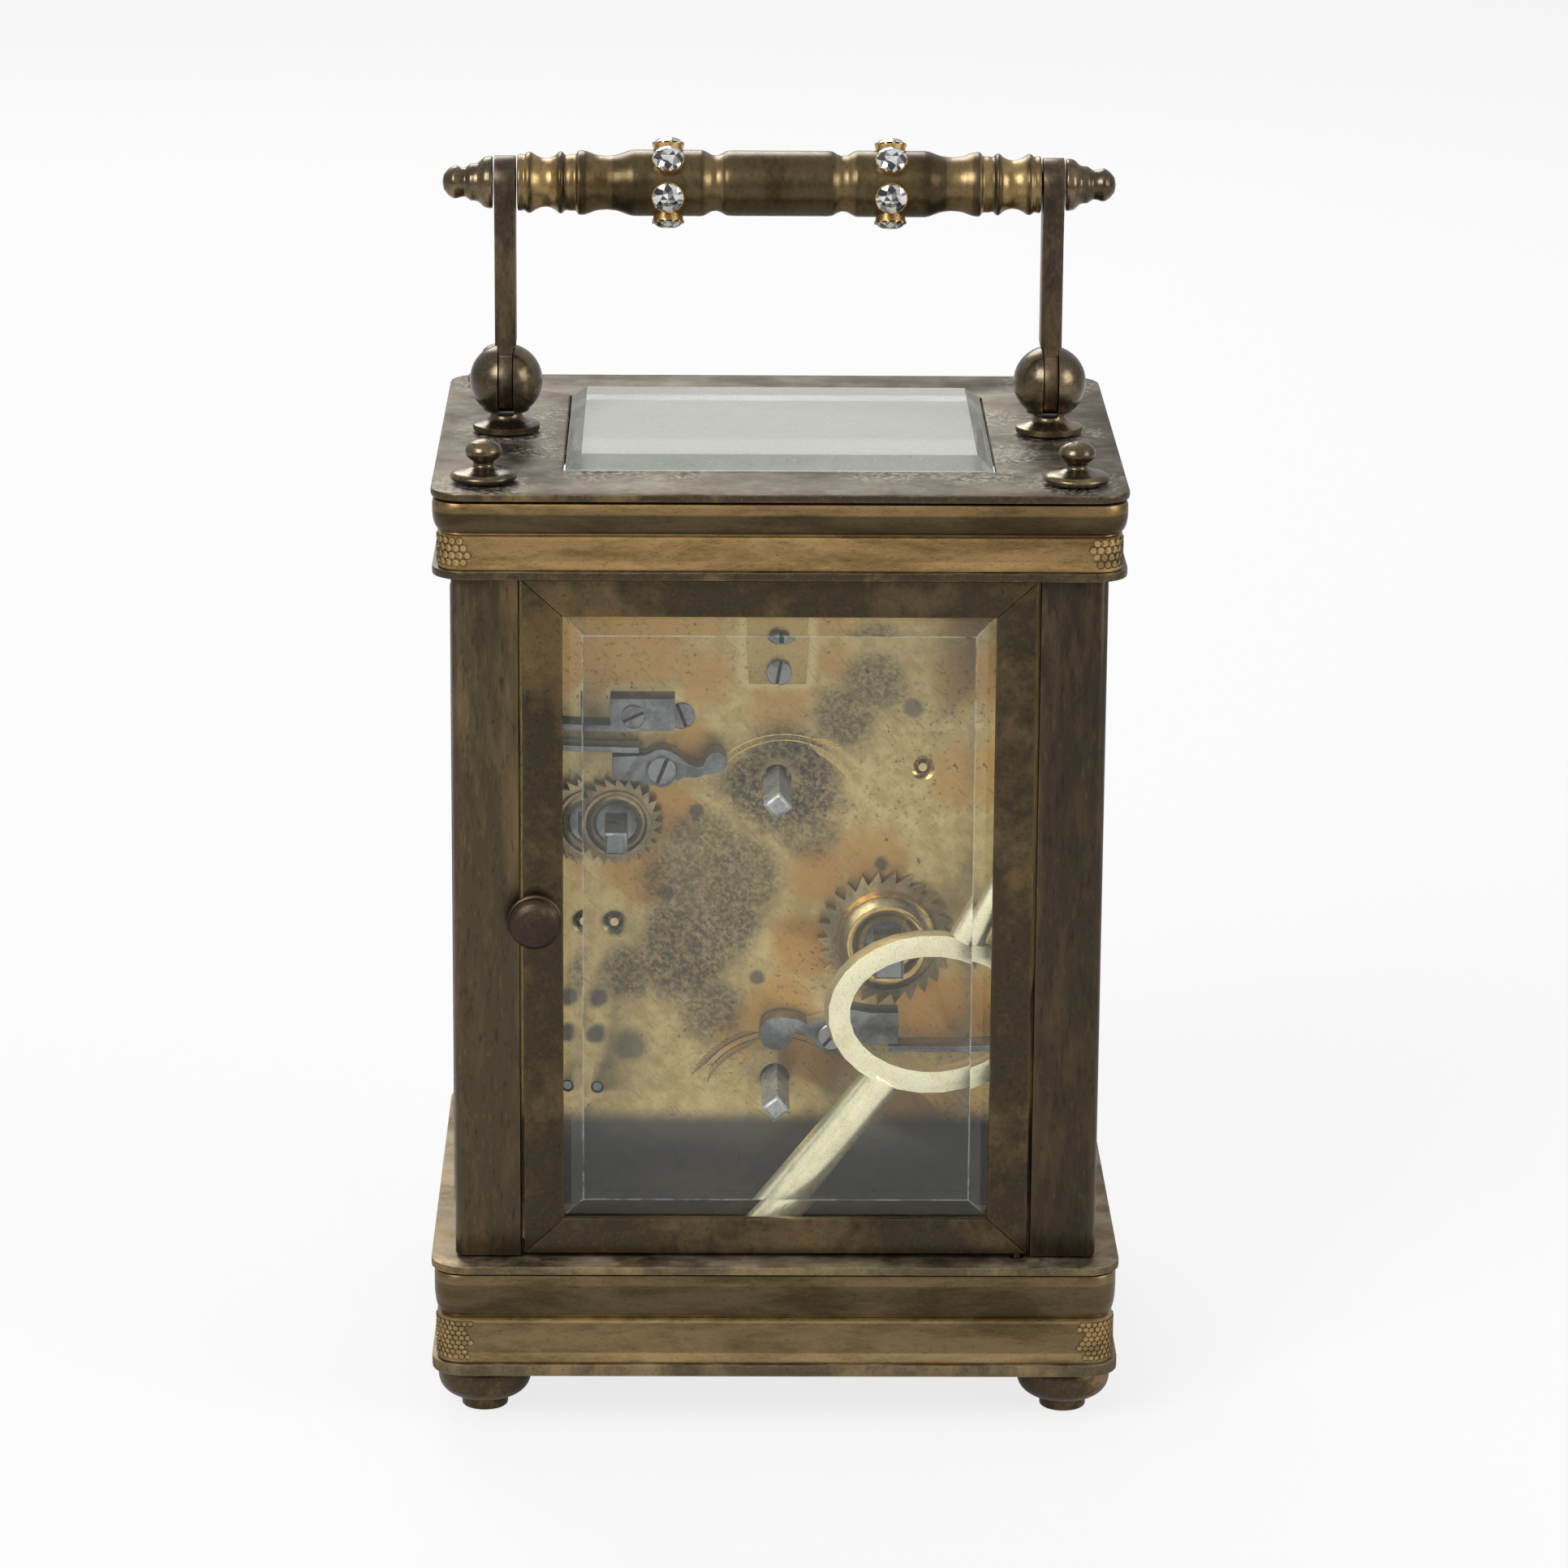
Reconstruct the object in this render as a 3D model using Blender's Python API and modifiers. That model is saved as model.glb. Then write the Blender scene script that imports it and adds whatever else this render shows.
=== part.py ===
"""Brass carriage clock with alarm, as an assembly of separate pieces.

Metres, Z up. The dial faces -Y and the glazed door with the winding squares faces +Y.
The origin is on the surface under the feet, below the middle of the case.
"""

import math

import bmesh
import bpy
from mathutils import Matrix, Vector

mm = 0.001

# Clearances between pieces that seat, turn or mesh
SEAT_GAP = 0.3 * mm
TURN_GAP = 0.3 * mm
WELD_DISTANCE = 0.002 * mm

# Case: plan sizes and heights
TOP_WIDTH = 90.0 * mm
TOP_DEPTH = 75.0 * mm
BASE_SPREAD = 1.4 * mm
BASE_WIDTH = TOP_WIDTH + BASE_SPREAD
BASE_DEPTH = TOP_DEPTH + BASE_SPREAD
PLATE_CORNER = 4.5 * mm
TOP_PLATE_THICKNESS = 1.1 * mm
FLANGE_THICKNESS = 1.1 * mm
BASE_FLANGE_THICKNESS = 1.6 * mm
FOOT_HEIGHT = 7.3 * mm
FOOT_RADIUS = 6.25 * mm
FOOT_PAD_RADIUS = 3.1 * mm
FOOT_INSET_X = 6.8 * mm
FOOT_INSET_Y = 10.2 * mm
BASE_MOULDING_HEIGHT = 12.1 * mm
BASE_BAND_HEIGHT = 5.9 * mm
CORNICE_MOULDING_HEIGHT = 8.6 * mm
CORNICE_BAND_HEIGHT = 4.4 * mm
BAND_INSET = 0.85 * mm
BASE_BAND_INSET = 0.7 * mm
OVOLO_INSET = 0.2 * mm
BASE_OVOLO_INSET = 0.4 * mm
MOULDING_WALL = 5.0 * mm
PILLAR_HEIGHT = 92.6 * mm
PILLAR_WIDTH = 8.7 * mm
PILLAR_INSET_X = 2.5 * mm
PILLAR_INSET_Y = 3.0 * mm
PILLAR_ROUNDING = 1.4 * mm

# Panes
PANE_GROOVE = 2.2 * mm
PANE_GROOVE_DEPTH = 1.8 * mm
PANE_EDGE = 1.6 * mm
PANE_RISE = 1.4 * mm
PANE_BEVEL = 2.3 * mm
TOP_PANE_BEVEL = 2.9 * mm
PANE_PROUD = 0.5 * mm
TOP_WINDOW_INSET_X = 16.8 * mm
TOP_WINDOW_INSET_Y = 14.0 * mm
TOP_PANE_EDGE = 3.0 * mm
TOP_PANE_RISE = 1.7 * mm
TOP_LEDGE = 1.8 * mm

# Door in the back
DOOR_SIDE_GAP = 0.5 * mm
DOOR_END_GAP = 0.4 * mm
DOOR_THICKNESS = 3.7 * mm
DOOR_STILE = 5.2 * mm
DOOR_RAIL = 4.8 * mm
DOOR_LIP = 1.2 * mm
DOOR_REBATE = 1.8 * mm
DOOR_PANE_EDGE = 1.5 * mm
DOOR_PANE_RISE = 1.2 * mm
HINGE_INSET_X = 1.2 * mm
HINGE_INSET_Y = 0.9 * mm
HINGE_PIN_RADIUS = 0.6 * mm
KNOB_RADIUS = 3.65 * mm
KNOB_LENGTH = 3.9 * mm
KNOB_HEIGHT = 70.1 * mm
KNOB_INSET = 1.6 * mm

# Handle and turned ornaments on the top
POST_INSET = 8.75 * mm
POST_X = TOP_WIDTH / 2 - POST_INSET
POST_DISC_RADIUS = 4.46 * mm
POST_DISC_HEIGHT = 0.9 * mm
BALL_RADIUS = 4.85 * mm
BALL_HEIGHT = 6.75 * mm
BALL_SLOT = 2.5 * mm
HANDLE_PIN_RADIUS = 0.8 * mm
ARM_THICKNESS = 2.8 * mm
ARM_TONGUE = 1.9 * mm
ARM_KNUCKLE_RADIUS = 4.3 * mm
ARM_LENGTH = 26.6 * mm
ARM_WIDTH = 4.6 * mm
ARM_EYE_RADIUS = 3.6 * mm
GRIP_RADIUS = 4.35 * mm
SPINDLE_RADIUS = 1.5 * mm
STONE_RING_X = 14.7 * mm
STONE_SETTING_RADIUS = 2.3 * mm
STONE_SETTING_REACH = 5.55 * mm
STONES_PER_RING = 6
STONE_RING_PHASE = math.radians(16)
FINIAL_INSET_X = 6.75 * mm
FINIAL_INSET_Y = 7.0 * mm
FINIAL_RADIUS = 4.35 * mm
FINIAL_HEIGHT = 5.4 * mm

# Movement plates
PLATE_SIDE_INSET = 6.5 * mm
PLATE_TOP = 110.6 * mm
PLATE_THICKNESS = 2.0 * mm
BACK_PLATE_SETBACK = 21.5 * mm
FRONT_PLATE_SETBACK = 14.5 * mm
MOVEMENT_PILLAR_RADIUS = 2.2 * mm
MOVEMENT_PILLAR_INSET = 3.4 * mm
MOVEMENT_PILLAR_LOW = 29.0 * mm
MOVEMENT_PILLAR_HIGH = 107.0 * mm
PIVOT_RADIUS = 0.6 * mm
ARBOR_RADIUS = 0.8 * mm

# Arbor places on the plates, as (x, z)
CENTRE_ARBOR = (0.0, 83.36 * mm)
GOING_ARBOR = (-14.87 * mm, 61.57 * mm)
INTERMEDIATE_ARBOR = (4.35 * mm, 65.75 * mm)
THIRD_ARBOR = (-19.51 * mm, 84.97 * mm)
CONTRATE_ARBOR = (-8.67 * mm, 99.9 * mm)
MINUTE_WHEEL_ARBOR = (10.0 * mm, 83.36 * mm)
ALARM_ARBOR = (21.34 * mm, 77.71 * mm)
ALARM_WHEEL_ARBOR = (21.68 * mm, 63.28 * mm)
ALARM_SET_ARBOR = (0.0, 41.49 * mm)
HAMMER_ARBOR = (24.0 * mm, 40.0 * mm)

# Teeth: width as a share of the pitch, height above and below the pitch circle in modules
TOOTH_SHARE = 0.40
TOOTH_TIP_SHARE = 0.62
TOOTH_ABOVE = 0.7
TOOTH_BELOW = 1.0
BARREL_TEETH, INTERMEDIATE_LEAVES = 50, 10
INTERMEDIATE_TEETH, CENTRE_LEAVES = 40, 10
CENTRE_TEETH, THIRD_LEAVES = 50, 10
THIRD_TEETH, CONTRATE_LEAVES = 60, 8
CONTRATE_TEETH, ESCAPE_LEAVES = 32, 8
CANNON_TEETH, MINUTE_TEETH = 10, 30
MINUTE_LEAVES, HOUR_TEETH = 8, 32
ALARM_BARREL_TEETH, ALARM_LEAVES = 32, 12
ESCAPE_TEETH = 15
ALARM_ESCAPE_TEETH = 14
GOING_RATCHET_TEETH = 26
ALARM_RATCHET_TEETH = 24

# Winding work on the back plate
WINDING_SQUARE = 3.9 * mm
ALARM_SQUARE = 3.0 * mm
SET_SQUARE = 2.7 * mm
WINDING_SQUARE_REACH = 13.4 * mm
ALARM_SQUARE_REACH = 12.0 * mm
GOING_RATCHET_RADIUS = 9.3 * mm
ALARM_RATCHET_RADIUS = 6.2 * mm
RATCHET_THICKNESS = 1.3 * mm
RATCHET_TOOTH_DEPTH = 1.3 * mm
BOSS_RADIUS = 6.7 * mm
BOSS_HEIGHT = 3.0 * mm
STEELWORK_DEPTH = 3.7 * mm
CLICK_STUD_RADIUS = 1.2 * mm
CLICK_SPRING_WIDTH = 0.8 * mm
SET_HOLE_RADIUS = 2.0 * mm

# Wheels, drums and the platform
BARREL_SETBACK = 9.0 * mm
BARREL_FRONT_GAP = 3.0 * mm
BARREL_RIM = 2.4 * mm
ALARM_BARREL_SETBACK = 8.5 * mm
ALARM_BARREL_FRONT_GAP = 10.0 * mm
ALARM_BARREL_RIM = 2.0 * mm
WHEEL_THICKNESS = 1.0 * mm
INTERMEDIATE_SETBACK = 4.2 * mm
CENTRE_SETBACK = 1.9 * mm
THIRD_SETBACK = 1.9 * mm
CONTRATE_RADIUS = 7.0 * mm
CONTRATE_FACE = 2.0 * mm
SPOKE_WIDTH = 1.6 * mm
PLATFORM_THICKNESS = 1.6 * mm
PLATFORM_LOW_X = -21.0 * mm
PLATFORM_HIGH_X = 12.0 * mm
ESCAPE_RADIUS = 3.9 * mm
BALANCE_RADIUS = 7.6 * mm
BALANCE_RIM = 1.1 * mm
STAFF_RADIUS = 0.55 * mm

# Dial, hands and alarm
DIAL_SIDE_GAP = 1.0 * mm
DIAL_SETBACK = 9.1 * mm
DIAL_THICKNESS = 1.0 * mm
DIAL_FOOT_RADIUS = 1.2 * mm
HOUR_HAND_LENGTH = 13.5 * mm
MINUTE_HAND_LENGTH = 19.5 * mm
ALARM_HAND_LENGTH = 7.0 * mm
HAND_THICKNESS = 0.5 * mm
HOUR_HAND_LIFT = 1.8 * mm
MINUTE_HAND_LIFT = 1.4 * mm
BELL_RADIUS = 20.0 * mm
BELL_HEIGHT = 8.0 * mm
BELL_WALL = 0.9 * mm
HAMMER_HEAD_RADIUS = 2.0 * mm
HAMMER_ROD_RADIUS = 0.7 * mm
HAMMER_SLOT_IN = 1.9 * mm
HAMMER_SLOT_OUT = 3.7 * mm
HAMMER_SLOT_HALF_Y = 1.6 * mm
HAMMER_REST_GAP = 1.2 * mm
ALARM_WHEEL_RADIUS = 8.0 * mm
ALARM_WHEEL_SETBACK = 3.0 * mm
TAIL_GAP = 0.5 * mm

# Loose winding key
KEY_SETBACK = 7.5 * mm
KEY_BOW_PLACE = (-20.25 * mm, 55.3 * mm)
KEY_BOW_HALF_WIDTH = 14.1 * mm
KEY_BOW_HALF_HEIGHT = 10.9 * mm
KEY_BOW_BAND = 2.9 * mm
KEY_BOW_THICKNESS = 2.6 * mm
KEY_BOW_YAW = math.radians(12)
KEY_BOW_TILT = math.radians(8)
KEY_BARREL_RADIUS = 3.0 * mm
KEY_BARREL_TILT = math.radians(37.5)
KEY_BARREL_FORWARD = 0.5 * mm
KEY_BARREL_PLACE = (-14.4 * mm, 46.6 * mm)
KEY_BARREL_LENGTH = 26.9 * mm
KEY_BARREL_LEAN = 0.04
KEY_SMALL_RADIUS = 2.0 * mm
KEY_SMALL_TILT = math.radians(29.5)
KEY_SMALL_BACKWARD = 0.4 * mm
KEY_SMALL_PLACE = (-24.6 * mm, 65.3 * mm)
KEY_SMALL_LENGTH = 13.5 * mm

# Heights that follow from the sizes above
BASE_FLANGE_LOW = FOOT_HEIGHT + SEAT_GAP
BASE_MOULDING_LOW = BASE_FLANGE_LOW + BASE_FLANGE_THICKNESS + SEAT_GAP
BASE_TOP_LOW = BASE_MOULDING_LOW + BASE_MOULDING_HEIGHT + SEAT_GAP
BASE_TOP = BASE_TOP_LOW + TOP_PLATE_THICKNESS
PILLAR_LOW = BASE_TOP + SEAT_GAP
PILLAR_TOP = PILLAR_LOW + PILLAR_HEIGHT
CORNICE_FLANGE_LOW = PILLAR_TOP + SEAT_GAP
CORNICE_LOW = CORNICE_FLANGE_LOW + FLANGE_THICKNESS + SEAT_GAP
TOP_PLATE_LOW = CORNICE_LOW + CORNICE_MOULDING_HEIGHT + SEAT_GAP
TOP_PLATE_TOP = TOP_PLATE_LOW + TOP_PLATE_THICKNESS
ORNAMENT_LOW = TOP_PLATE_TOP + SEAT_GAP
HANDLE_AXIS_Z = ORNAMENT_LOW + BALL_HEIGHT
GRIP_Z = HANDLE_AXIS_Z + ARM_LENGTH

# Plan places that follow from the sizes above
PILLAR_OUT_X = TOP_WIDTH / 2 - PILLAR_INSET_X
PILLAR_OUT_Y = TOP_DEPTH / 2 - PILLAR_INSET_Y
PILLAR_IN_X = PILLAR_OUT_X - PILLAR_WIDTH
PILLAR_IN_Y = PILLAR_OUT_Y - PILLAR_WIDTH
SIDE_GROOVE_OUT = PILLAR_OUT_X + PANE_PROUD - PANE_RISE + SEAT_GAP
FRONT_GROOVE_OUT = PILLAR_OUT_Y + PANE_PROUD - PANE_RISE + SEAT_GAP
DOOR_HALF_X = PILLAR_IN_X - DOOR_SIDE_GAP
DOOR_LOW = PILLAR_LOW + DOOR_END_GAP
DOOR_HIGH = PILLAR_TOP - DOOR_END_GAP
DOOR_FACE_Y = PILLAR_OUT_Y
HINGE_X = -(DOOR_HALF_X - HINGE_INSET_X)
HINGE_Y = DOOR_FACE_Y - HINGE_INSET_Y
TOP_WINDOW_HALF_X = TOP_WIDTH / 2 - TOP_WINDOW_INSET_X
TOP_WINDOW_HALF_Y = TOP_DEPTH / 2 - TOP_WINDOW_INSET_Y
PLATE_LOW = BASE_TOP + SEAT_GAP
PLATE_HALF_X = PILLAR_OUT_X - PLATE_SIDE_INSET
MOVEMENT_PILLAR_X = PLATE_HALF_X - MOVEMENT_PILLAR_INSET
BACK_PLATE_Y = PILLAR_OUT_Y - BACK_PLATE_SETBACK
FRONT_PLATE_Y = -(PILLAR_OUT_Y - FRONT_PLATE_SETBACK)
BACK_PLATE_INNER = BACK_PLATE_Y - PLATE_THICKNESS
FRONT_PLATE_INNER = FRONT_PLATE_Y + PLATE_THICKNESS
STEEL_Y = BACK_PLATE_Y + SEAT_GAP
WINDING_SQUARE_TIP = BACK_PLATE_Y + WINDING_SQUARE_REACH
ALARM_SQUARE_TIP = BACK_PLATE_Y + ALARM_SQUARE_REACH
DIAL_HALF_X = PILLAR_IN_X - DIAL_SIDE_GAP
DIAL_Y = -(PILLAR_OUT_Y - DIAL_SETBACK)
HOUR_HAND_Y = DIAL_Y - HOUR_HAND_LIFT
MINUTE_HAND_Y = HOUR_HAND_Y - MINUTE_HAND_LIFT
BARREL_REAR = BACK_PLATE_INNER - BARREL_SETBACK
BARREL_LENGTH = BARREL_REAR - FRONT_PLATE_INNER - BARREL_FRONT_GAP
ALARM_BARREL_REAR = BACK_PLATE_INNER - ALARM_BARREL_SETBACK
ALARM_BARREL_LENGTH = ALARM_BARREL_REAR - FRONT_PLATE_INNER - ALARM_BARREL_FRONT_GAP
INTERMEDIATE_WHEEL_Y = BACK_PLATE_INNER - INTERMEDIATE_SETBACK
CENTRE_WHEEL_Y = BACK_PLATE_INNER - CENTRE_SETBACK
THIRD_WHEEL_Y = FRONT_PLATE_INNER + THIRD_SETBACK
KEY_Y = DOOR_FACE_Y - KEY_SETBACK
ALARM_WHEEL_Y = ALARM_BARREL_REAR - ALARM_BARREL_LENGTH - ALARM_WHEEL_SETBACK
HAMMER_Y = ALARM_WHEEL_Y
PLATFORM_LOW = PLATE_TOP + SEAT_GAP
PLATFORM_TOP = PLATFORM_LOW + PLATFORM_THICKNESS

for old in list(bpy.data.objects):
    bpy.data.objects.remove(old, do_unlink=True)

clock = bpy.data.collections.new("carriage_clock")
cutters = bpy.data.collections.new("cutters")
bpy.context.scene.collection.children.link(clock)
bpy.context.scene.collection.children.link(cutters)


def metal(name, colour, roughness, metallic=1.0):
    """A Principled material for a metal, or for enamel and glass with metallic 0."""
    made = bpy.data.materials.new(name)
    made.use_nodes = True
    shader = made.node_tree.nodes["Principled BSDF"]
    shader.inputs["Base Color"].default_value = (*colour, 1.0)
    shader.inputs["Roughness"].default_value = roughness
    shader.inputs["Metallic"].default_value = metallic
    return made


aged_brass = metal("aged_brass", (0.10, 0.075, 0.04), 0.38)
rubbed_brass = metal("rubbed_brass", (0.30, 0.19, 0.08), 0.35)
gilt_brass = metal("gilt_brass", (0.46, 0.34, 0.15), 0.35)
grey_steel = metal("grey_steel", (0.30, 0.32, 0.33), 0.35)
blued_steel = metal("blued_steel", (0.02, 0.03, 0.07), 0.25)
white_enamel = metal("white_enamel", (0.85, 0.84, 0.78), 0.25, 0.0)
bell_metal = metal("bell_metal", (0.42, 0.36, 0.22), 0.25)
clear_glass = metal("clear_glass", (0.80, 0.88, 0.84), 0.03, 0.0)
clear_glass.node_tree.nodes["Principled BSDF"].inputs["Transmission Weight"].default_value = 1.0

# Rotations that lay a piece drawn in its own XY plane against a world axis
FACING = {"z": (0.0, 0.0, 0.0), "y": (math.pi / 2, 0.0, 0.0), "x": (math.pi / 2, 0.0, math.pi / 2)}


def add(name, data, material, at=(0.0, 0.0, 0.0), facing="z"):
    """Put mesh or curve data into the clock's collection as a named object."""
    made = bpy.data.objects.new(name, data)
    made.location = at
    made.rotation_euler = FACING[facing]
    if material:
        data.materials.append(material)
    clock.objects.link(made)
    return made


def turning_axis(name, at, *pieces):
    """An empty on a joint's axis that carries the pieces turning about it."""
    empty = bpy.data.objects.new(name, None)
    empty.location = at
    clock.objects.link(empty)
    bpy.context.view_layer.update()
    for piece in pieces:
        piece.parent = empty
        piece.matrix_parent_inverse = empty.matrix_world.inverted()


def as_tool(piece):
    """Keep an object only as the other half of a Boolean."""
    for owner in list(piece.users_collection):
        owner.objects.unlink(piece)
    cutters.objects.link(piece)
    piece.hide_render = True
    piece.display_type = "WIRE"
    return piece


def boolean(target, tool, operation):
    """Cut or join a tool into a target, which keeps its name and origin."""
    step = target.modifiers.new(operation.lower(), "BOOLEAN")
    step.operation = operation
    step.solver = "EXACT"
    step.object = as_tool(tool)
    return target


def flat(name, outlines, thickness, material, at, facing="y"):
    """A flat outline, with holes, extruded evenly to both sides of its plane."""
    curve = bpy.data.curves.new(name, "CURVE")
    curve.dimensions = "2D"
    curve.fill_mode = "BOTH"
    curve.extrude = thickness / 2
    for points in outlines:
        spline = curve.splines.new("POLY")
        spline.points.add(len(points) - 1)
        for spot, (u, v) in zip(spline.points, points):
            spot.co = (u, v, 0.0, 1.0)
        spline.use_cyclic_u = True
    return add(name, curve, material, at, facing)


def solid(piece):
    """Turn a flat curve piece into a welded mesh that can be cut or joined."""
    bpy.context.view_layer.update()
    graph = bpy.context.evaluated_depsgraph_get()
    mesh = bpy.data.meshes.new_from_object(piece.evaluated_get(graph))
    work = bmesh.new()
    work.from_mesh(mesh)
    bmesh.ops.remove_doubles(work, verts=work.verts, dist=WELD_DISTANCE)
    work.to_mesh(mesh)
    work.free()
    made = bpy.data.objects.new(piece.name, mesh)
    made.matrix_world = piece.matrix_world
    clock.objects.link(made)
    name = piece.name
    bpy.data.objects.remove(piece, do_unlink=True)
    made.name = name
    return made


def turned(name, profile, material, at, facing="z", steps=20, closed=False):
    """A turned piece: (radius, height) points run down the outer side, spun about local Z."""
    work = bmesh.new()
    corners = [work.verts.new((radius, 0.0, height)) for radius, height in profile]
    pairs = list(zip(corners, corners[1:]))
    if closed:
        pairs.append((corners[-1], corners[0]))
    for pair in pairs:
        work.edges.new(pair)
    mesh = bpy.data.meshes.new(name)
    work.to_mesh(mesh)
    work.free()
    piece = add(name, mesh, material, at, facing)
    screw = piece.modifiers.new("turn", "SCREW")
    screw.steps = steps
    screw.render_steps = steps
    screw.use_merge_vertices = True
    screw.merge_threshold = WELD_DISTANCE
    screw.use_smooth_shade = True
    return piece


def arbor(name, stations, material, place, steps=12):
    """A turned piece lying along Y: (y, radius) stations from the front to the back."""
    profile = [(0.0, -stations[0][0])] + [(r, -y) for y, r in stations] + [(0.0, -stations[-1][0])]
    return turned(name, profile, material, (place[0], 0.0, place[1]), "y", steps)


def block(name, corner, opposite, material):
    """A box between any two opposite corners."""
    low = Vector([min(pair) for pair in zip(corner, opposite)])
    high = Vector([max(pair) for pair in zip(corner, opposite)])
    work = bmesh.new()
    size = Matrix.Diagonal((high - low).to_4d())
    bmesh.ops.create_cube(work, size=1.0, matrix=Matrix.Translation((low + high) / 2) @ size)
    mesh = bpy.data.meshes.new(name)
    work.to_mesh(mesh)
    work.free()
    return add(name, mesh, material)


def rod(name, start, end, radius, material, sides=12, end_radius=None):
    """A straight round rod, or a cone, between two points."""
    start, end = Vector(start), Vector(end)
    turn = (end - start).to_track_quat("Z", "Y").to_matrix().to_4x4()
    work = bmesh.new()
    bmesh.ops.create_cone(
        work,
        cap_ends=True,
        segments=sides,
        radius1=radius,
        radius2=radius if end_radius is None else end_radius,
        depth=(end - start).length,
        matrix=Matrix.Translation((start + end) / 2) @ turn,
    )
    mesh = bpy.data.meshes.new(name)
    work.to_mesh(mesh)
    work.free()
    return add(name, mesh, material)


def circle(radius, centre=(0.0, 0.0), points=16):
    """Points on a circle."""
    turn = 2 * math.pi / points
    return [
        (centre[0] + radius * math.cos(i * turn), centre[1] + radius * math.sin(i * turn))
        for i in range(points)
    ]


def rounded_rectangle(half_x, half_y, radius, corner_steps=4):
    """Points round a rectangle with arcs for corners."""
    points = []
    for quarter, (side_x, side_y) in enumerate(((1, 1), (-1, 1), (-1, -1), (1, -1))):
        for step in range(corner_steps + 1):
            angle = math.pi / 2 * (quarter + step / corner_steps)
            x = side_x * (half_x - radius) + radius * math.cos(angle)
            y = side_y * (half_y - radius) + radius * math.sin(angle)
            points.append((x, y))
    return points


def rectangle(half_x, low, high):
    """Corners of an upright rectangle about the middle."""
    return [(-half_x, low), (half_x, low), (half_x, high), (-half_x, high)]


def toothed(teeth, pitch_radius, phase):
    """Outline with a tooth centred on the phase angle: pointed on a wheel, blunt on a pinion."""
    module = 2 * pitch_radius / teeth
    tip, root = pitch_radius + TOOTH_ABOVE * module, pitch_radius - TOOTH_BELOW * module
    half = TOOTH_SHARE * math.pi / teeth
    crest = [(0.0, tip)] if teeth > 12 else [(-TOOTH_TIP_SHARE, tip), (TOOTH_TIP_SHARE, tip)]
    points = []
    for tooth in range(teeth):
        middle = phase + 2 * math.pi * tooth / teeth
        for offset, radius in [(-1.15, root)] + crest + [(1.15, root)]:
            angle = middle + offset * half
            points.append((radius * math.cos(angle), radius * math.sin(angle)))
    return points


def saw_toothed(teeth, radius, depth, slope):
    """Outline of a ratchet: each tooth climbs one way and drops straight back."""
    points = []
    for tooth in range(teeth):
        angle = 2 * math.pi * tooth / teeth
        drop = angle + slope * 0.12 * 2 * math.pi / teeth
        pair = [(radius, angle), (radius - depth, drop)]
        for reach, at in pair if slope > 0 else reversed(pair):
            points.append((reach * math.cos(at), reach * math.sin(at)))
    return points


def spoke_windows(count, inner, outer, phase=0.0, arc_steps=4):
    """Openings between the spokes of a wheel."""
    windows = []
    for spoke in range(count):
        low = phase + 2 * math.pi * spoke / count
        high = low + 2 * math.pi / count
        points = []
        for radius, order in ((outer, 1), (inner, -1)):
            trim = math.asin(SPOKE_WIDTH / 2 / radius)
            steps = arc_steps if radius == outer else 2
            arc = [low + trim + (high - low - 2 * trim) * i / steps for i in range(steps + 1)]
            points += [(radius * math.cos(a), radius * math.sin(a)) for a in arc[::order]]
        windows.append(points)
    return windows


def mesh_pair(first, second, first_teeth, second_teeth):
    """Pitch radii of two meshing wheels, with the phases that put tooth against gap."""
    reach = math.hypot(second[0] - first[0], second[1] - first[1])
    heading = math.atan2(second[1] - first[1], second[0] - first[0])
    share = first_teeth / (first_teeth + second_teeth)
    return (
        (reach * share, heading),
        (reach * (1 - share), heading + math.pi + math.pi / second_teeth),
    )


def moulding(name, rings, material):
    """A solid lofted upwards through rounded rectangles."""
    work = bmesh.new()
    loops = []
    for half_x, half_y, radius, z in rings:
        spots = [work.verts.new((x, y, z)) for x, y in rounded_rectangle(half_x, half_y, radius, 5)]
        loops.append([work.edges.new(pair) for pair in zip(spots, spots[1:] + spots[:1])])
    for lower, upper in zip(loops, loops[1:]):
        bmesh.ops.bridge_loops(work, edges=lower + upper)
    for end in (loops[0], loops[-1]):
        bmesh.ops.edgeloop_fill(work, edges=end)
    bmesh.ops.recalc_face_normals(work, faces=work.faces)
    mesh = bpy.data.meshes.new(name)
    work.to_mesh(mesh)
    work.free()
    return add(name, mesh, material)


def hollow(target, name, half_x, half_y, low, high):
    """Cut an upright rectangular well through a piece."""
    well = block(name, (-half_x, -half_y, low), (half_x, half_y, high), None)
    return boolean(target, well, "DIFFERENCE")


def bevelled_pane(name, size, edge, rise, lip, bevel, at, turn):
    """A plate of glass whose outer face stands up inside a ground bevel."""
    work = bmesh.new()
    shape = Matrix.Diagonal((size[0], size[1], edge, 1.0))
    bmesh.ops.create_cube(work, size=1.0, matrix=Matrix.Translation((0, 0, edge / 2)) @ shape)
    face = max(work.faces, key=lambda f: f.calc_center_median().z)
    bmesh.ops.inset_individual(work, faces=[face], thickness=lip, depth=0.0)
    bmesh.ops.inset_individual(work, faces=[face], thickness=bevel, depth=rise)
    mesh = bpy.data.meshes.new(name)
    work.to_mesh(mesh)
    work.free()
    pane = add(name, mesh, clear_glass, at)
    pane.rotation_euler = turn
    return pane


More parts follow.
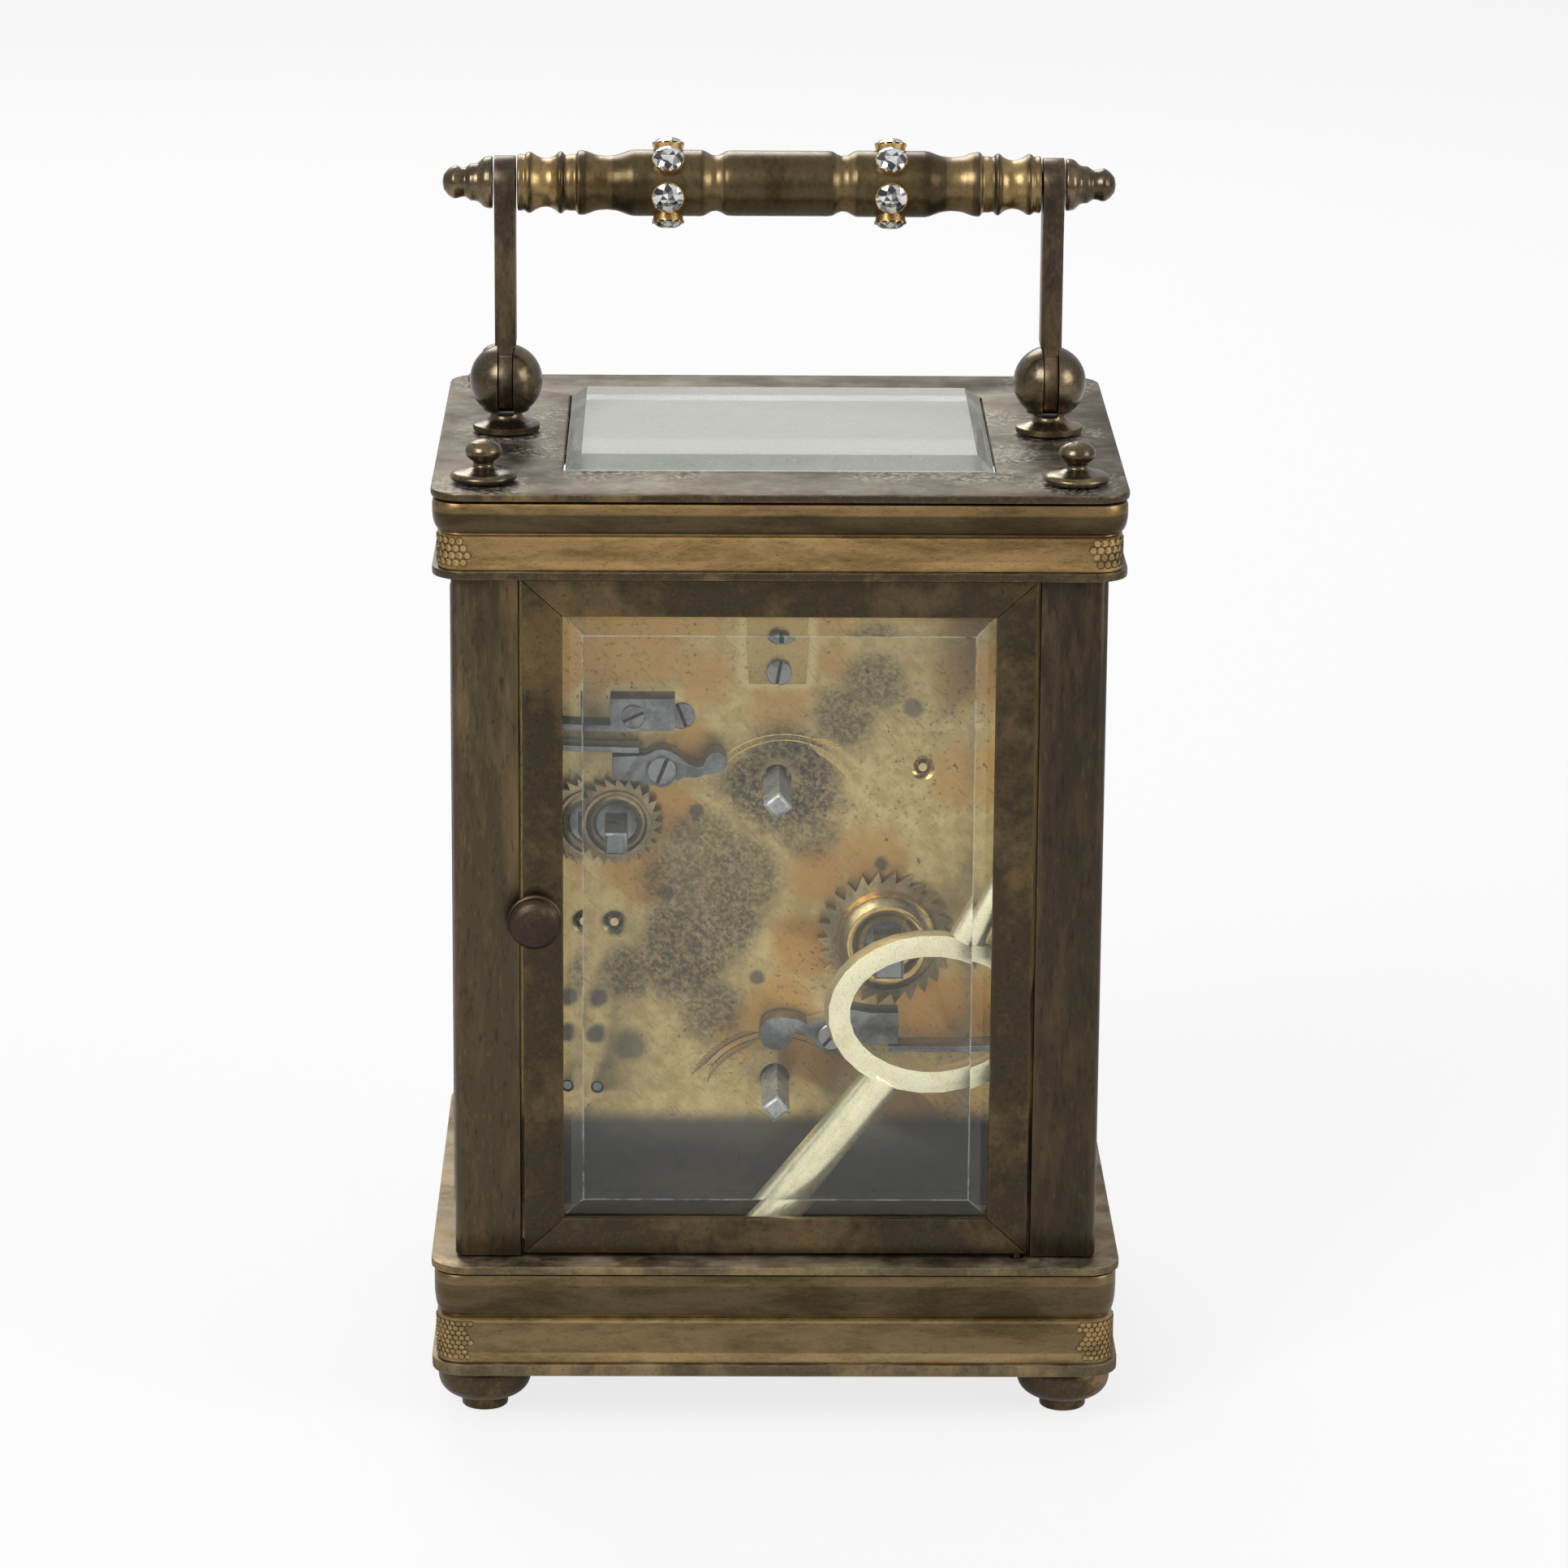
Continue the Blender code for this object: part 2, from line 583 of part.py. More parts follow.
# Feet: turned buns, each on a smaller pad
def foot(name, x, y):
    profile = [
        (0.0, FOOT_HEIGHT),
        (FOOT_RADIUS * 0.55, FOOT_HEIGHT),
        (FOOT_RADIUS * 0.60, FOOT_HEIGHT - 0.9 * mm),
        (FOOT_RADIUS * 0.90, FOOT_HEIGHT - 1.2 * mm),
        (FOOT_RADIUS, FOOT_HEIGHT - 2.4 * mm),
        (FOOT_RADIUS * 0.97, FOOT_HEIGHT - 3.6 * mm),
        (FOOT_RADIUS * 0.84, FOOT_HEIGHT - 4.8 * mm),
        (FOOT_RADIUS * 0.60, FOOT_HEIGHT - 5.7 * mm),
        (FOOT_PAD_RADIUS, FOOT_HEIGHT - 5.9 * mm),
        (FOOT_PAD_RADIUS, 0.0),
        (0.0, 0.0),
    ]
    return turned(name, profile, aged_brass, (x, y, 0.0), steps=16)


FOOT_X = BASE_WIDTH / 2 - FOOT_INSET_X
FOOT_Y = BASE_DEPTH / 2 - FOOT_INSET_Y
for end, side_y in (("front", -1), ("back", 1)):
    for hand, side_x in (("left", -1), ("right", 1)):
        foot(f"foot_{end}_{hand}", side_x * FOOT_X, side_y * FOOT_Y)

# Base: lower flange plate with the bell stud, hollow moulding, upper plate
BASE_HALF_X, BASE_HALF_Y = BASE_WIDTH / 2, BASE_DEPTH / 2
BELL_TOP = BASE_TOP_LOW - 1.6 * mm
BELL_LOW = BELL_TOP - BELL_HEIGHT
STUD_SHOULDER = BELL_TOP - BELL_WALL - SEAT_GAP
STUD_RADIUS = 1.1 * mm


def flange(name, half_x, half_y, low, thickness, holes, material):
    outline = [rounded_rectangle(half_x, half_y, PLATE_CORNER, 6)] + holes
    return flat(name, outline, thickness, material, (0, 0, low + thickness / 2), "z")


base_flange = solid(
    flange(
        "base_bottom_plate", BASE_HALF_X, BASE_HALF_Y, BASE_FLANGE_LOW, BASE_FLANGE_THICKNESS, [], aged_brass
    )
)
bell_stud = turned(
    "bell_stud",
    [
        (0.0, BELL_TOP + 0.6 * mm),
        (STUD_RADIUS, BELL_TOP + 0.6 * mm),
        (STUD_RADIUS, STUD_SHOULDER),
        (STUD_RADIUS * 2, STUD_SHOULDER),
        (STUD_RADIUS * 2, BASE_FLANGE_LOW + BASE_FLANGE_THICKNESS / 2),
        (0.0, BASE_FLANGE_LOW + BASE_FLANGE_THICKNESS / 2),
    ],
    aged_brass,
    (0, 0, 0),
    steps=12,
)
boolean(base_flange, bell_stud, "UNION")


def moulding_rings(half_x, half_y, low, height, band, band_inset, upper_inset):
    """Outer section of a case moulding: flat band below, ovolo above."""
    top, band_top = low + height, low + band
    corner = PLATE_CORNER - 0.4 * mm
    outer = [
        (band_inset, low),
        (band_inset, band_top - 0.2 * mm),
        (band_inset + 0.3 * mm, band_top),
    ]
    swell = 5
    for step in range(swell + 1):
        angle = math.pi * 0.5 * step / swell
        reach = upper_inset + 1.0 * mm * (1 - math.sin(angle))
        outer.append((reach, band_top + 0.15 * mm + (height - band) * 0.62 * (1 - math.cos(angle))))
    outer.append((upper_inset, top - 1.0 * mm))
    outer.append((upper_inset + 0.8 * mm, top - 0.1 * mm))
    outer.append((upper_inset + 1.4 * mm, top))
    return [(half_x - inset, half_y - inset, corner, z) for inset, z in outer]


base_rings = moulding_rings(
    BASE_HALF_X, BASE_HALF_Y, BASE_MOULDING_LOW, BASE_MOULDING_HEIGHT, BASE_BAND_HEIGHT, BASE_BAND_INSET,
    BASE_OVOLO_INSET,
)
base_moulding = moulding("base_moulding", base_rings, rubbed_brass)
hollow(
    base_moulding, "base_hollow", BASE_HALF_X - MOULDING_WALL, BASE_HALF_Y - MOULDING_WALL,
    BASE_FLANGE_LOW, BASE_TOP,
)

# the slot lies round the place where the hammer's rod comes through the plate
HAMMER_HEAD_X = math.sqrt(BELL_RADIUS**2 - HAMMER_Y**2) + HAMMER_REST_GAP + HAMMER_HEAD_RADIUS
HAMMER_HEAD_Z = BELL_LOW + HAMMER_HEAD_RADIUS + 0.8 * mm
rod_share = (BASE_TOP_LOW + TOP_PLATE_THICKNESS / 2 - HAMMER_HEAD_Z) / (HAMMER_ARBOR[1] - HAMMER_HEAD_Z)
rod_x = HAMMER_HEAD_X + (HAMMER_ARBOR[0] - HAMMER_HEAD_X) * rod_share
HAMMER_SLOT = [
    (rod_x - HAMMER_SLOT_IN, HAMMER_Y - HAMMER_SLOT_HALF_Y),
    (rod_x + HAMMER_SLOT_OUT, HAMMER_Y - HAMMER_SLOT_HALF_Y),
    (rod_x + HAMMER_SLOT_OUT, HAMMER_Y + HAMMER_SLOT_HALF_Y),
    (rod_x - HAMMER_SLOT_IN, HAMMER_Y + HAMMER_SLOT_HALF_Y),
]
hinge_hole = circle(HINGE_PIN_RADIUS + TURN_GAP, (HINGE_X, HINGE_Y), 12)
flange(
    "base_top_plate", BASE_HALF_X, BASE_HALF_Y, BASE_TOP_LOW, TOP_PLATE_THICKNESS,
    [HAMMER_SLOT, hinge_hole], aged_brass,
)

# Bell: a shallow spun dish, mouth down, held at its crown on the stud
bell_profile = [
    (STUD_RADIUS + TURN_GAP, BELL_TOP),
    (BELL_RADIUS * 0.45, BELL_TOP - 0.3 * mm),
    (BELL_RADIUS * 0.75, BELL_TOP - 1.4 * mm),
    (BELL_RADIUS * 0.92, BELL_TOP - 3.6 * mm),
    (BELL_RADIUS, BELL_LOW),
    (BELL_RADIUS - BELL_WALL, BELL_LOW),
    (BELL_RADIUS * 0.92 - BELL_WALL, BELL_TOP - 3.6 * mm - BELL_WALL * 0.3),
    (BELL_RADIUS * 0.75 - BELL_WALL * 0.6, BELL_TOP - 1.4 * mm - BELL_WALL * 0.8),
    (BELL_RADIUS * 0.45, BELL_TOP - 0.3 * mm - BELL_WALL),
    (STUD_RADIUS + TURN_GAP, BELL_TOP - BELL_WALL),
]
turned("alarm_bell", bell_profile, bell_metal, (0, 0, 0), steps=28, closed=True)


# Corner pillars, grooved for the panes, with the outer edge rounded
def pillar(name, side_x, side_y):
    groove_in = SIDE_GROOVE_OUT - PANE_GROOVE
    points = [
        (PILLAR_IN_X, PILLAR_IN_Y),
        (groove_in, PILLAR_IN_Y),
        (groove_in, PILLAR_IN_Y + PANE_GROOVE_DEPTH),
        (SIDE_GROOVE_OUT, PILLAR_IN_Y + PANE_GROOVE_DEPTH),
        (SIDE_GROOVE_OUT, PILLAR_IN_Y),
        (PILLAR_OUT_X, PILLAR_IN_Y),
    ]
    for step in range(5):
        angle = math.pi / 2 * step / 4
        points.append(
            (
                PILLAR_OUT_X - PILLAR_ROUNDING * (1 - math.cos(angle)),
                PILLAR_OUT_Y - PILLAR_ROUNDING * (1 - math.sin(angle)),
            )
        )
    points.append((PILLAR_IN_X, PILLAR_OUT_Y))
    if side_y < 0:
        points += [
            (PILLAR_IN_X, FRONT_GROOVE_OUT),
            (PILLAR_IN_X + PANE_GROOVE_DEPTH, FRONT_GROOVE_OUT),
            (PILLAR_IN_X + PANE_GROOVE_DEPTH, FRONT_GROOVE_OUT - PANE_GROOVE),
            (PILLAR_IN_X, FRONT_GROOVE_OUT - PANE_GROOVE),
        ]
    outline = [(side_x * x, side_y * y) for x, y in points]
    flat(name, [outline], PILLAR_HEIGHT, aged_brass, (0, 0, PILLAR_LOW + PILLAR_HEIGHT / 2), "z")


for end, side_y in (("front", -1), ("back", 1)):
    for hand, side_x in (("left", -1), ("right", 1)):
        pillar(f"pillar_{end}_{hand}", side_x, side_y)

# Side and front panes stand in the pillar grooves, their faces just proud of the pillars
pane_lip = PANE_GROOVE_DEPTH
pane_middle = (PILLAR_LOW + PILLAR_TOP) / 2
side_pane_length = 2 * (PILLAR_IN_Y + PANE_GROOVE_DEPTH - SEAT_GAP)
front_pane_length = 2 * (PILLAR_IN_X + PANE_GROOVE_DEPTH - SEAT_GAP)
side_pane_x = SIDE_GROOVE_OUT - SEAT_GAP - PANE_EDGE
front_pane_y = FRONT_GROOVE_OUT - SEAT_GAP - PANE_EDGE
quarter = math.pi / 2
for name, side in (("glass_left", -1), ("glass_right", 1)):
    bevelled_pane(
        name, (PILLAR_HEIGHT, side_pane_length), PANE_EDGE, PANE_RISE, pane_lip, PANE_BEVEL,
        (side * side_pane_x, 0, pane_middle), (0, side * quarter, 0),
    )
bevelled_pane(
    "glass_front", (front_pane_length, PILLAR_HEIGHT), PANE_EDGE, PANE_RISE, pane_lip, PANE_BEVEL,
    (0, -front_pane_y, pane_middle), (quarter, 0, 0),
)

# Cornice: lower flange, hollow moulding with an inner ledge for the top glass, top plate
TOP_HALF_X, TOP_HALF_Y = TOP_WIDTH / 2, TOP_DEPTH / 2
CORNICE_OPEN_X = TOP_HALF_X - BAND_INSET - MOULDING_WALL
CORNICE_OPEN_Y = TOP_HALF_Y - BAND_INSET - MOULDING_WALL
CORNICE_FLANGE_INSET = 0.1 * mm
flange(
    "cornice_bottom_plate", TOP_HALF_X - CORNICE_FLANGE_INSET, TOP_HALF_Y - CORNICE_FLANGE_INSET,
    CORNICE_FLANGE_LOW, FLANGE_THICKNESS,
    [rounded_rectangle(CORNICE_OPEN_X, CORNICE_OPEN_Y, 1.0 * mm, 1), hinge_hole], aged_brass,
)
cornice_rings = moulding_rings(
    TOP_HALF_X, TOP_HALF_Y, CORNICE_LOW, CORNICE_MOULDING_HEIGHT, CORNICE_BAND_HEIGHT, BAND_INSET, OVOLO_INSET
)
cornice_moulding = moulding("cornice_moulding", cornice_rings, rubbed_brass)
# the hollow narrows to a ledge under the window before it opens again below
TOP_PANE_LOW = TOP_PLATE_TOP - TOP_PANE_EDGE
LEDGE_TOP = TOP_PANE_LOW - SEAT_GAP
LEDGE_LOW = LEDGE_TOP - TOP_LEDGE
WELL_MARGIN = 1.5 * mm
well_x, well_y = TOP_WINDOW_HALF_X + WELL_MARGIN, TOP_WINDOW_HALF_Y + WELL_MARGIN
ledge_x, ledge_y = TOP_WINDOW_HALF_X - TOP_LEDGE, TOP_WINDOW_HALF_Y - TOP_LEDGE
for name, half_x, half_y, low, high in (
    ("cornice_well", well_x, well_y, LEDGE_TOP, TOP_PLATE_TOP),
    ("cornice_ledge", ledge_x, ledge_y, LEDGE_LOW - mm, LEDGE_TOP + mm),
    ("cornice_hollow", CORNICE_OPEN_X, CORNICE_OPEN_Y, CORNICE_LOW - mm, LEDGE_LOW),
):
    hollow(cornice_moulding, name, half_x, half_y, low, high)
flange(
    "top_plate", TOP_HALF_X, TOP_HALF_Y, TOP_PLATE_LOW, TOP_PLATE_THICKNESS,
    [rounded_rectangle(TOP_WINDOW_HALF_X, TOP_WINDOW_HALF_Y, 0.4 * mm, 1)], aged_brass,
)
bevelled_pane(
    "glass_top",
    (2 * (TOP_WINDOW_HALF_X - SEAT_GAP), 2 * (TOP_WINDOW_HALF_Y - SEAT_GAP)),
    TOP_PANE_EDGE, TOP_PANE_RISE, 0.05 * mm, TOP_PANE_BEVEL, (0, 0, TOP_PANE_LOW), (0, 0, 0),
)


# Corner finials: a bead on a cushion disc
def finial(name, x, y):
    profile = [
        (0.0, FINIAL_HEIGHT),
        (1.4 * mm, FINIAL_HEIGHT - 0.3 * mm),
        (2.2 * mm, FINIAL_HEIGHT - 0.95 * mm),
        (2.4 * mm, FINIAL_HEIGHT - 1.6 * mm),
        (2.1 * mm, FINIAL_HEIGHT - 2.35 * mm),
        (1.35 * mm, FINIAL_HEIGHT - 2.95 * mm),
        (1.35 * mm, FINIAL_HEIGHT - 3.5 * mm),
        (FINIAL_RADIUS * 0.80, FINIAL_HEIGHT - 4.1 * mm),
        (FINIAL_RADIUS * 0.97, FINIAL_HEIGHT - 4.5 * mm),
        (FINIAL_RADIUS, FINIAL_HEIGHT - 4.9 * mm),
        (FINIAL_RADIUS * 0.92, 0.0),
        (0.0, 0.0),
    ]
    turned(name, profile, aged_brass, (x, y, ORNAMENT_LOW), steps=14)


FINIAL_X, FINIAL_Y = TOP_HALF_X - FINIAL_INSET_X, TOP_HALF_Y - FINIAL_INSET_Y
for end, side_y in (("front", -1), ("back", 1)):
    for hand, side_x in (("left", -1), ("right", 1)):
        finial(f"finial_{end}_{hand}", side_x * FINIAL_X, side_y * FINIAL_Y)


# Handle posts: disc, waist and collar under a slotted ball, with the pivot riveted through
def ball_section():
    """Side of the ball from its crown down to where it sits in the collar."""
    points = []
    for step in range(8):
        angle = math.pi * step / 9
        points.append((BALL_RADIUS * math.sin(angle), BALL_HEIGHT + BALL_RADIUS * math.cos(angle)))
    return points


def handle_post(name, x):
    profile = ball_section() + [
        (3.15 * mm, POST_DISC_HEIGHT + 2.1 * mm),
        (2.9 * mm, POST_DISC_HEIGHT + 1.6 * mm),
        (2.15 * mm, POST_DISC_HEIGHT + 1.3 * mm),
        (2.2 * mm, POST_DISC_HEIGHT + 0.8 * mm),
        (3.1 * mm, POST_DISC_HEIGHT + 0.3 * mm),
        (POST_DISC_RADIUS, POST_DISC_HEIGHT),
        (POST_DISC_RADIUS, 0.0),
        (0.0, 0.0),
    ]
    post = turned(name, profile, aged_brass, (x, 0, ORNAMENT_LOW), steps=16)
    slot_low = HANDLE_AXIS_Z - ARM_KNUCKLE_RADIUS - TURN_GAP
    slot = block(
        name + "_slot",
        (x - BALL_SLOT / 2, -BALL_RADIUS * 1.2, slot_low),
        (x + BALL_SLOT / 2, BALL_RADIUS * 1.2, HANDLE_AXIS_Z + BALL_RADIUS * 1.2),
        None,
    )
    boolean(post, slot, "DIFFERENCE")
    reach = BALL_SLOT / 2 + 1.0 * mm
    pin = rod(
        name + "_pin", (x - reach, 0, HANDLE_AXIS_Z), (x + reach, 0, HANDLE_AXIS_Z), HANDLE_PIN_RADIUS, None
    )
    boolean(post, pin, "UNION")


# Handle arms: straps with an eye at the top and a round knuckle, thinned to a tongue, in the ball
def handle_arm(name, x):
    shoulder = math.acos(ARM_WIDTH / 2 / ARM_KNUCKLE_RADIUS)
    points = []
    for step in range(15):
        angle = math.pi - shoulder + (math.pi + 2 * shoulder) * step / 14
        points.append((ARM_KNUCKLE_RADIUS * math.cos(angle), ARM_KNUCKLE_RADIUS * math.sin(angle)))
    points.append((ARM_WIDTH / 2, ARM_LENGTH * 0.72))
    for step in range(13):
        angle = math.radians(-35 + 250 * step / 12)
        points.append((ARM_EYE_RADIUS * math.cos(angle), ARM_LENGTH + ARM_EYE_RADIUS * math.sin(angle)))
    points.append((-ARM_WIDTH / 2, ARM_LENGTH * 0.72))
    holes = [
        circle(HANDLE_PIN_RADIUS + TURN_GAP, (0, 0), 12),
        circle(SPINDLE_RADIUS + SEAT_GAP, (0, ARM_LENGTH), 12),
    ]
    arm = solid(flat(name, [points] + holes, ARM_THICKNESS, aged_brass, (x, 0, HANDLE_AXIS_Z), "x"))
    clear = math.sqrt(BALL_RADIUS**2 - (BALL_SLOT / 2) ** 2) + TURN_GAP
    for side in (-1, 1):
        cheek = block(
            f"{name}_cheek_{side}",
            (x + side * ARM_TONGUE / 2, -BALL_RADIUS, HANDLE_AXIS_Z - BALL_RADIUS),
            (x + side * ARM_THICKNESS, BALL_RADIUS, HANDLE_AXIS_Z + clear),
            None,
        )
        boolean(arm, cheek, "DIFFERENCE")


for hand, side in (("left", -1), ("right", 1)):
    handle_post(f"handle_post_{hand}", side * POST_X)
    handle_arm(f"handle_arm_{hand}", side * POST_X)

# Grip: one turned bar with a smooth middle, reels and beads, and a spindle at each end
GRIP_END = POST_X - ARM_THICKNESS / 2 - SEAT_GAP
SPINDLE_END = POST_X + ARM_THICKNESS / 2 + 1.5 * mm
# (distance from the middle, radius as a share of the grip's)
GRIP_HALF = [
    (6.6 * mm, 1.0), (7.7 * mm, 0.87), (8.4 * mm, 0.83), (9.2 * mm, 0.88),
    (10.2 * mm, 1.0), (19.2 * mm, 1.0), (21.3 * mm, 0.84),
    (22.9 * mm, 0.80), (24.3 * mm, 0.85), (26.0 * mm, 0.98), (26.8 * mm, 0.85),
    (28.2 * mm, 0.83), (28.9 * mm, 0.95), (29.6 * mm, 0.84), (30.8 * mm, 0.72),
    (32.6 * mm, 0.92), (33.5 * mm, 0.86), (34.2 * mm, 0.86),
]


def along_x(name, stations, material, centre, steps=14):
    """A turned piece lying along X: (x, radius) stations from one end to the other."""
    profile = [(0.0, stations[0][0])] + [(r, x) for x, r in stations] + [(0.0, stations[-1][0])]
    piece = turned(name, profile, material, centre, "z", steps)
    piece.rotation_euler = (0.0, math.pi / 2, 0.0)
    return piece


half = [(x, share * GRIP_RADIUS) for x, share in GRIP_HALF if x < GRIP_END - 0.3 * mm]
half += [(GRIP_END, half[-1][1]), (GRIP_END, SPINDLE_RADIUS), (SPINDLE_END, SPINDLE_RADIUS)]
stations = half[::-1] + [(-x, r) for x, r in half]
grip = along_x("handle_grip", stations, aged_brass, (0, 0, GRIP_Z))
for side in (-1, 1):
    for stone in range(STONES_PER_RING):
        angle = STONE_RING_PHASE + 2 * math.pi * stone / STONES_PER_RING
        outward = Vector((0, math.cos(angle), -math.sin(angle)))
        middle = Vector((side * STONE_RING_X, 0, GRIP_Z))
        setting = rod(
            f"setting_{side}_{stone}",
            middle + outward * GRIP_RADIUS * 0.6,
            middle + outward * STONE_SETTING_REACH,
            STONE_SETTING_RADIUS * 0.8,
            None,
            sides=8,
            end_radius=STONE_SETTING_RADIUS,
        )
        boolean(grip, setting, "UNION")

# Turned ends that screw on over the arms, as (distance past the arm, radius)
HANDLE_END_PROFILE = [
    (0.0, 3.4 * mm), (1.0 * mm, 3.4 * mm), (1.5 * mm, 2.9 * mm), (2.0 * mm, 2.5 * mm),
    (3.0 * mm, 2.45 * mm), (3.8 * mm, 1.9 * mm), (4.4 * mm, 2.0 * mm), (5.0 * mm, 2.2 * mm),
    (5.7 * mm, 2.05 * mm), (6.3 * mm, 1.5 * mm), (6.6 * mm, 0.9 * mm),
]
end_face = POST_X + ARM_THICKNESS / 2 + SEAT_GAP
bore_radius = SPINDLE_RADIUS + SEAT_GAP
bore_end = SPINDLE_END + SEAT_GAP
end_pieces = []
for hand, side in (("left", -1), ("right", 1)):
    outer = [(r, end_face + x) for x, r in HANDLE_END_PROFILE[::-1]]
    profile = [(0.0, outer[0][1] + 0.1 * mm)] + outer
    profile += [(bore_radius, end_face), (bore_radius, bore_end), (0.0, bore_end)]
    piece = turned(f"handle_end_{hand}", profile, aged_brass, (0, 0, GRIP_Z), "z", 16)
    piece.rotation_euler = (0.0, side * math.pi / 2, 0.0)
    end_pieces.append(piece)
turning_axis("handle_axis", (0.0, 0.0, HANDLE_AXIS_Z), grip, *end_pieces)

# Door: mitred frame rebated for its pane, on pins at one edge, with a turned knob
DOOR_OPEN_X = DOOR_HALF_X - DOOR_STILE
DOOR_OPEN_LOW, DOOR_OPEN_HIGH = DOOR_LOW + DOOR_RAIL, DOOR_HIGH - DOOR_RAIL
DOOR_BACK_Y = DOOR_FACE_Y - DOOR_THICKNESS
frame_outline = [
    rectangle(DOOR_HALF_X, DOOR_LOW, DOOR_HIGH),
    rectangle(DOOR_OPEN_X, DOOR_OPEN_LOW, DOOR_OPEN_HIGH),
]
door_frame = solid(
    flat("door_frame", frame_outline, DOOR_THICKNESS, aged_brass, (0, (DOOR_FACE_Y + DOOR_BACK_Y) / 2, 0))
)
rebate = block(
    "door_rebate",
    (-DOOR_OPEN_X - DOOR_REBATE, DOOR_BACK_Y - 1 * mm, DOOR_OPEN_LOW - DOOR_REBATE),
    (DOOR_OPEN_X + DOOR_REBATE, DOOR_FACE_Y - DOOR_LIP, DOOR_OPEN_HIGH + DOOR_REBATE),
    None,
)
boolean(door_frame, rebate, "DIFFERENCE")
pin_reach = DOOR_END_GAP + SEAT_GAP + TOP_PLATE_THICKNESS * 0.8
for name, inner, outer in (
    ("hinge_pin_low", DOOR_LOW + 1.5 * mm, DOOR_LOW - pin_reach),
    ("hinge_pin_high", DOOR_HIGH - 1.5 * mm, DOOR_HIGH + pin_reach),
):
    pin = rod(name, (HINGE_X, HINGE_Y, inner), (HINGE_X, HINGE_Y, outer), HINGE_PIN_RADIUS, None, 10)
    boolean(door_frame, pin, "UNION")

door_pane_y = DOOR_FACE_Y - DOOR_LIP - SEAT_GAP - DOOR_PANE_EDGE
door_pane_margin = DOOR_REBATE - SEAT_GAP
door_pane = bevelled_pane(
    "door_glass",
    (2 * (DOOR_OPEN_X + door_pane_margin), DOOR_OPEN_HIGH - DOOR_OPEN_LOW + 2 * door_pane_margin),
    DOOR_PANE_EDGE, DOOR_PANE_RISE, DOOR_REBATE, PANE_BEVEL,
    (0, door_pane_y, (DOOR_OPEN_LOW + DOOR_OPEN_HIGH) / 2), (-quarter, 0, 0),
)

knob_y = DOOR_FACE_Y + SEAT_GAP
knob_profile = [
    (0.0, KNOB_LENGTH),
    (KNOB_RADIUS * 0.50, KNOB_LENGTH - 0.12 * mm),
    (KNOB_RADIUS * 0.80, KNOB_LENGTH - 0.55 * mm),
    (KNOB_RADIUS * 0.96, KNOB_LENGTH - 1.3 * mm),
    (KNOB_RADIUS * 0.92, KNOB_LENGTH - 2.0 * mm),
    (KNOB_RADIUS * 0.86, KNOB_LENGTH - 2.2 * mm),
    (KNOB_RADIUS, KNOB_LENGTH - 2.45 * mm),
    (KNOB_RADIUS, KNOB_LENGTH - 3.0 * mm),
    (1.3 * mm, KNOB_LENGTH - 3.2 * mm),
    (1.3 * mm, 0.0),
    (0.0, 0.0),
]
knob = turned(
    "door_knob", knob_profile, aged_brass, (DOOR_HALF_X - KNOB_INSET, knob_y, KNOB_HEIGHT), steps=20
)
knob.rotation_euler = (-quarter, 0.0, 0.0)
turning_axis("door_axis", (HINGE_X, HINGE_Y, 0.0), door_frame, door_pane, knob)

# Winding key, left standing in the back: a flat oval bow between a large and a small barrel
def oval(half_width, half_height, points=28):
    turn = 2 * math.pi / points
    return [(half_width * math.cos(i * turn), half_height * math.sin(i * turn)) for i in range(points)]


bow_outlines = [
    oval(KEY_BOW_HALF_WIDTH, KEY_BOW_HALF_HEIGHT),
    oval(KEY_BOW_HALF_WIDTH - KEY_BOW_BAND, KEY_BOW_HALF_HEIGHT - KEY_BOW_BAND),
]
key = solid(flat("winding_key", bow_outlines, KEY_BOW_THICKNESS, gilt_brass, (0, 0, 0)))
upright = Matrix.Rotation(quarter, 4, "X") @ Matrix.Rotation(KEY_BOW_TILT, 4, "Z")
bow_turn = Matrix.Rotation(KEY_BOW_YAW, 4, "Z") @ upright
key.matrix_world = Matrix.Translation((KEY_BOW_PLACE[0], KEY_Y, KEY_BOW_PLACE[1])) @ bow_turn
large_top = Vector((KEY_BARREL_PLACE[0], KEY_Y + KEY_BARREL_FORWARD, KEY_BARREL_PLACE[1]))
large_run = Vector((math.sin(KEY_BARREL_TILT), -KEY_BARREL_LEAN, -math.cos(KEY_BARREL_TILT)))
small_foot = Vector((KEY_SMALL_PLACE[0], KEY_Y - KEY_SMALL_BACKWARD, KEY_SMALL_PLACE[1]))
small_run = Vector((-math.sin(KEY_SMALL_TILT), 0, math.cos(KEY_SMALL_TILT)))
for name, start, run, length, radius, taper, square in (
    ("large", large_top, large_run, KEY_BARREL_LENGTH, KEY_BARREL_RADIUS, 0.87, WINDING_SQUARE),
    ("small", small_foot, small_run, KEY_SMALL_LENGTH, KEY_SMALL_RADIUS, 1.0, SET_SQUARE),
):
    end = start + run * length
    barrel = rod(f"key_{name}_barrel", start, end, radius * taper, None, 16, radius)
    boolean(key, barrel, "UNION")
    # the square bore is drawn by its corners
    bore_reach = (square + SEAT_GAP) / 2 * math.sqrt(2)
    bore = rod(f"key_{name}_bore", end - run * 6 * mm, end + run * mm, bore_reach, None, 4)
    boolean(key, bore, "DIFFERENCE")


# Movement plates: pivot holes, blind holes and oil sinks
def plate_outline(half_x, low, high):
    middle = (low + high) / 2
    return [(x, z + middle) for x, z in rounded_rectangle(half_x, (high - low) / 2, 1.5 * mm, 2)]


def pivot_hole(place):
    return circle(PIVOT_RADIUS + TURN_GAP, place, 10)


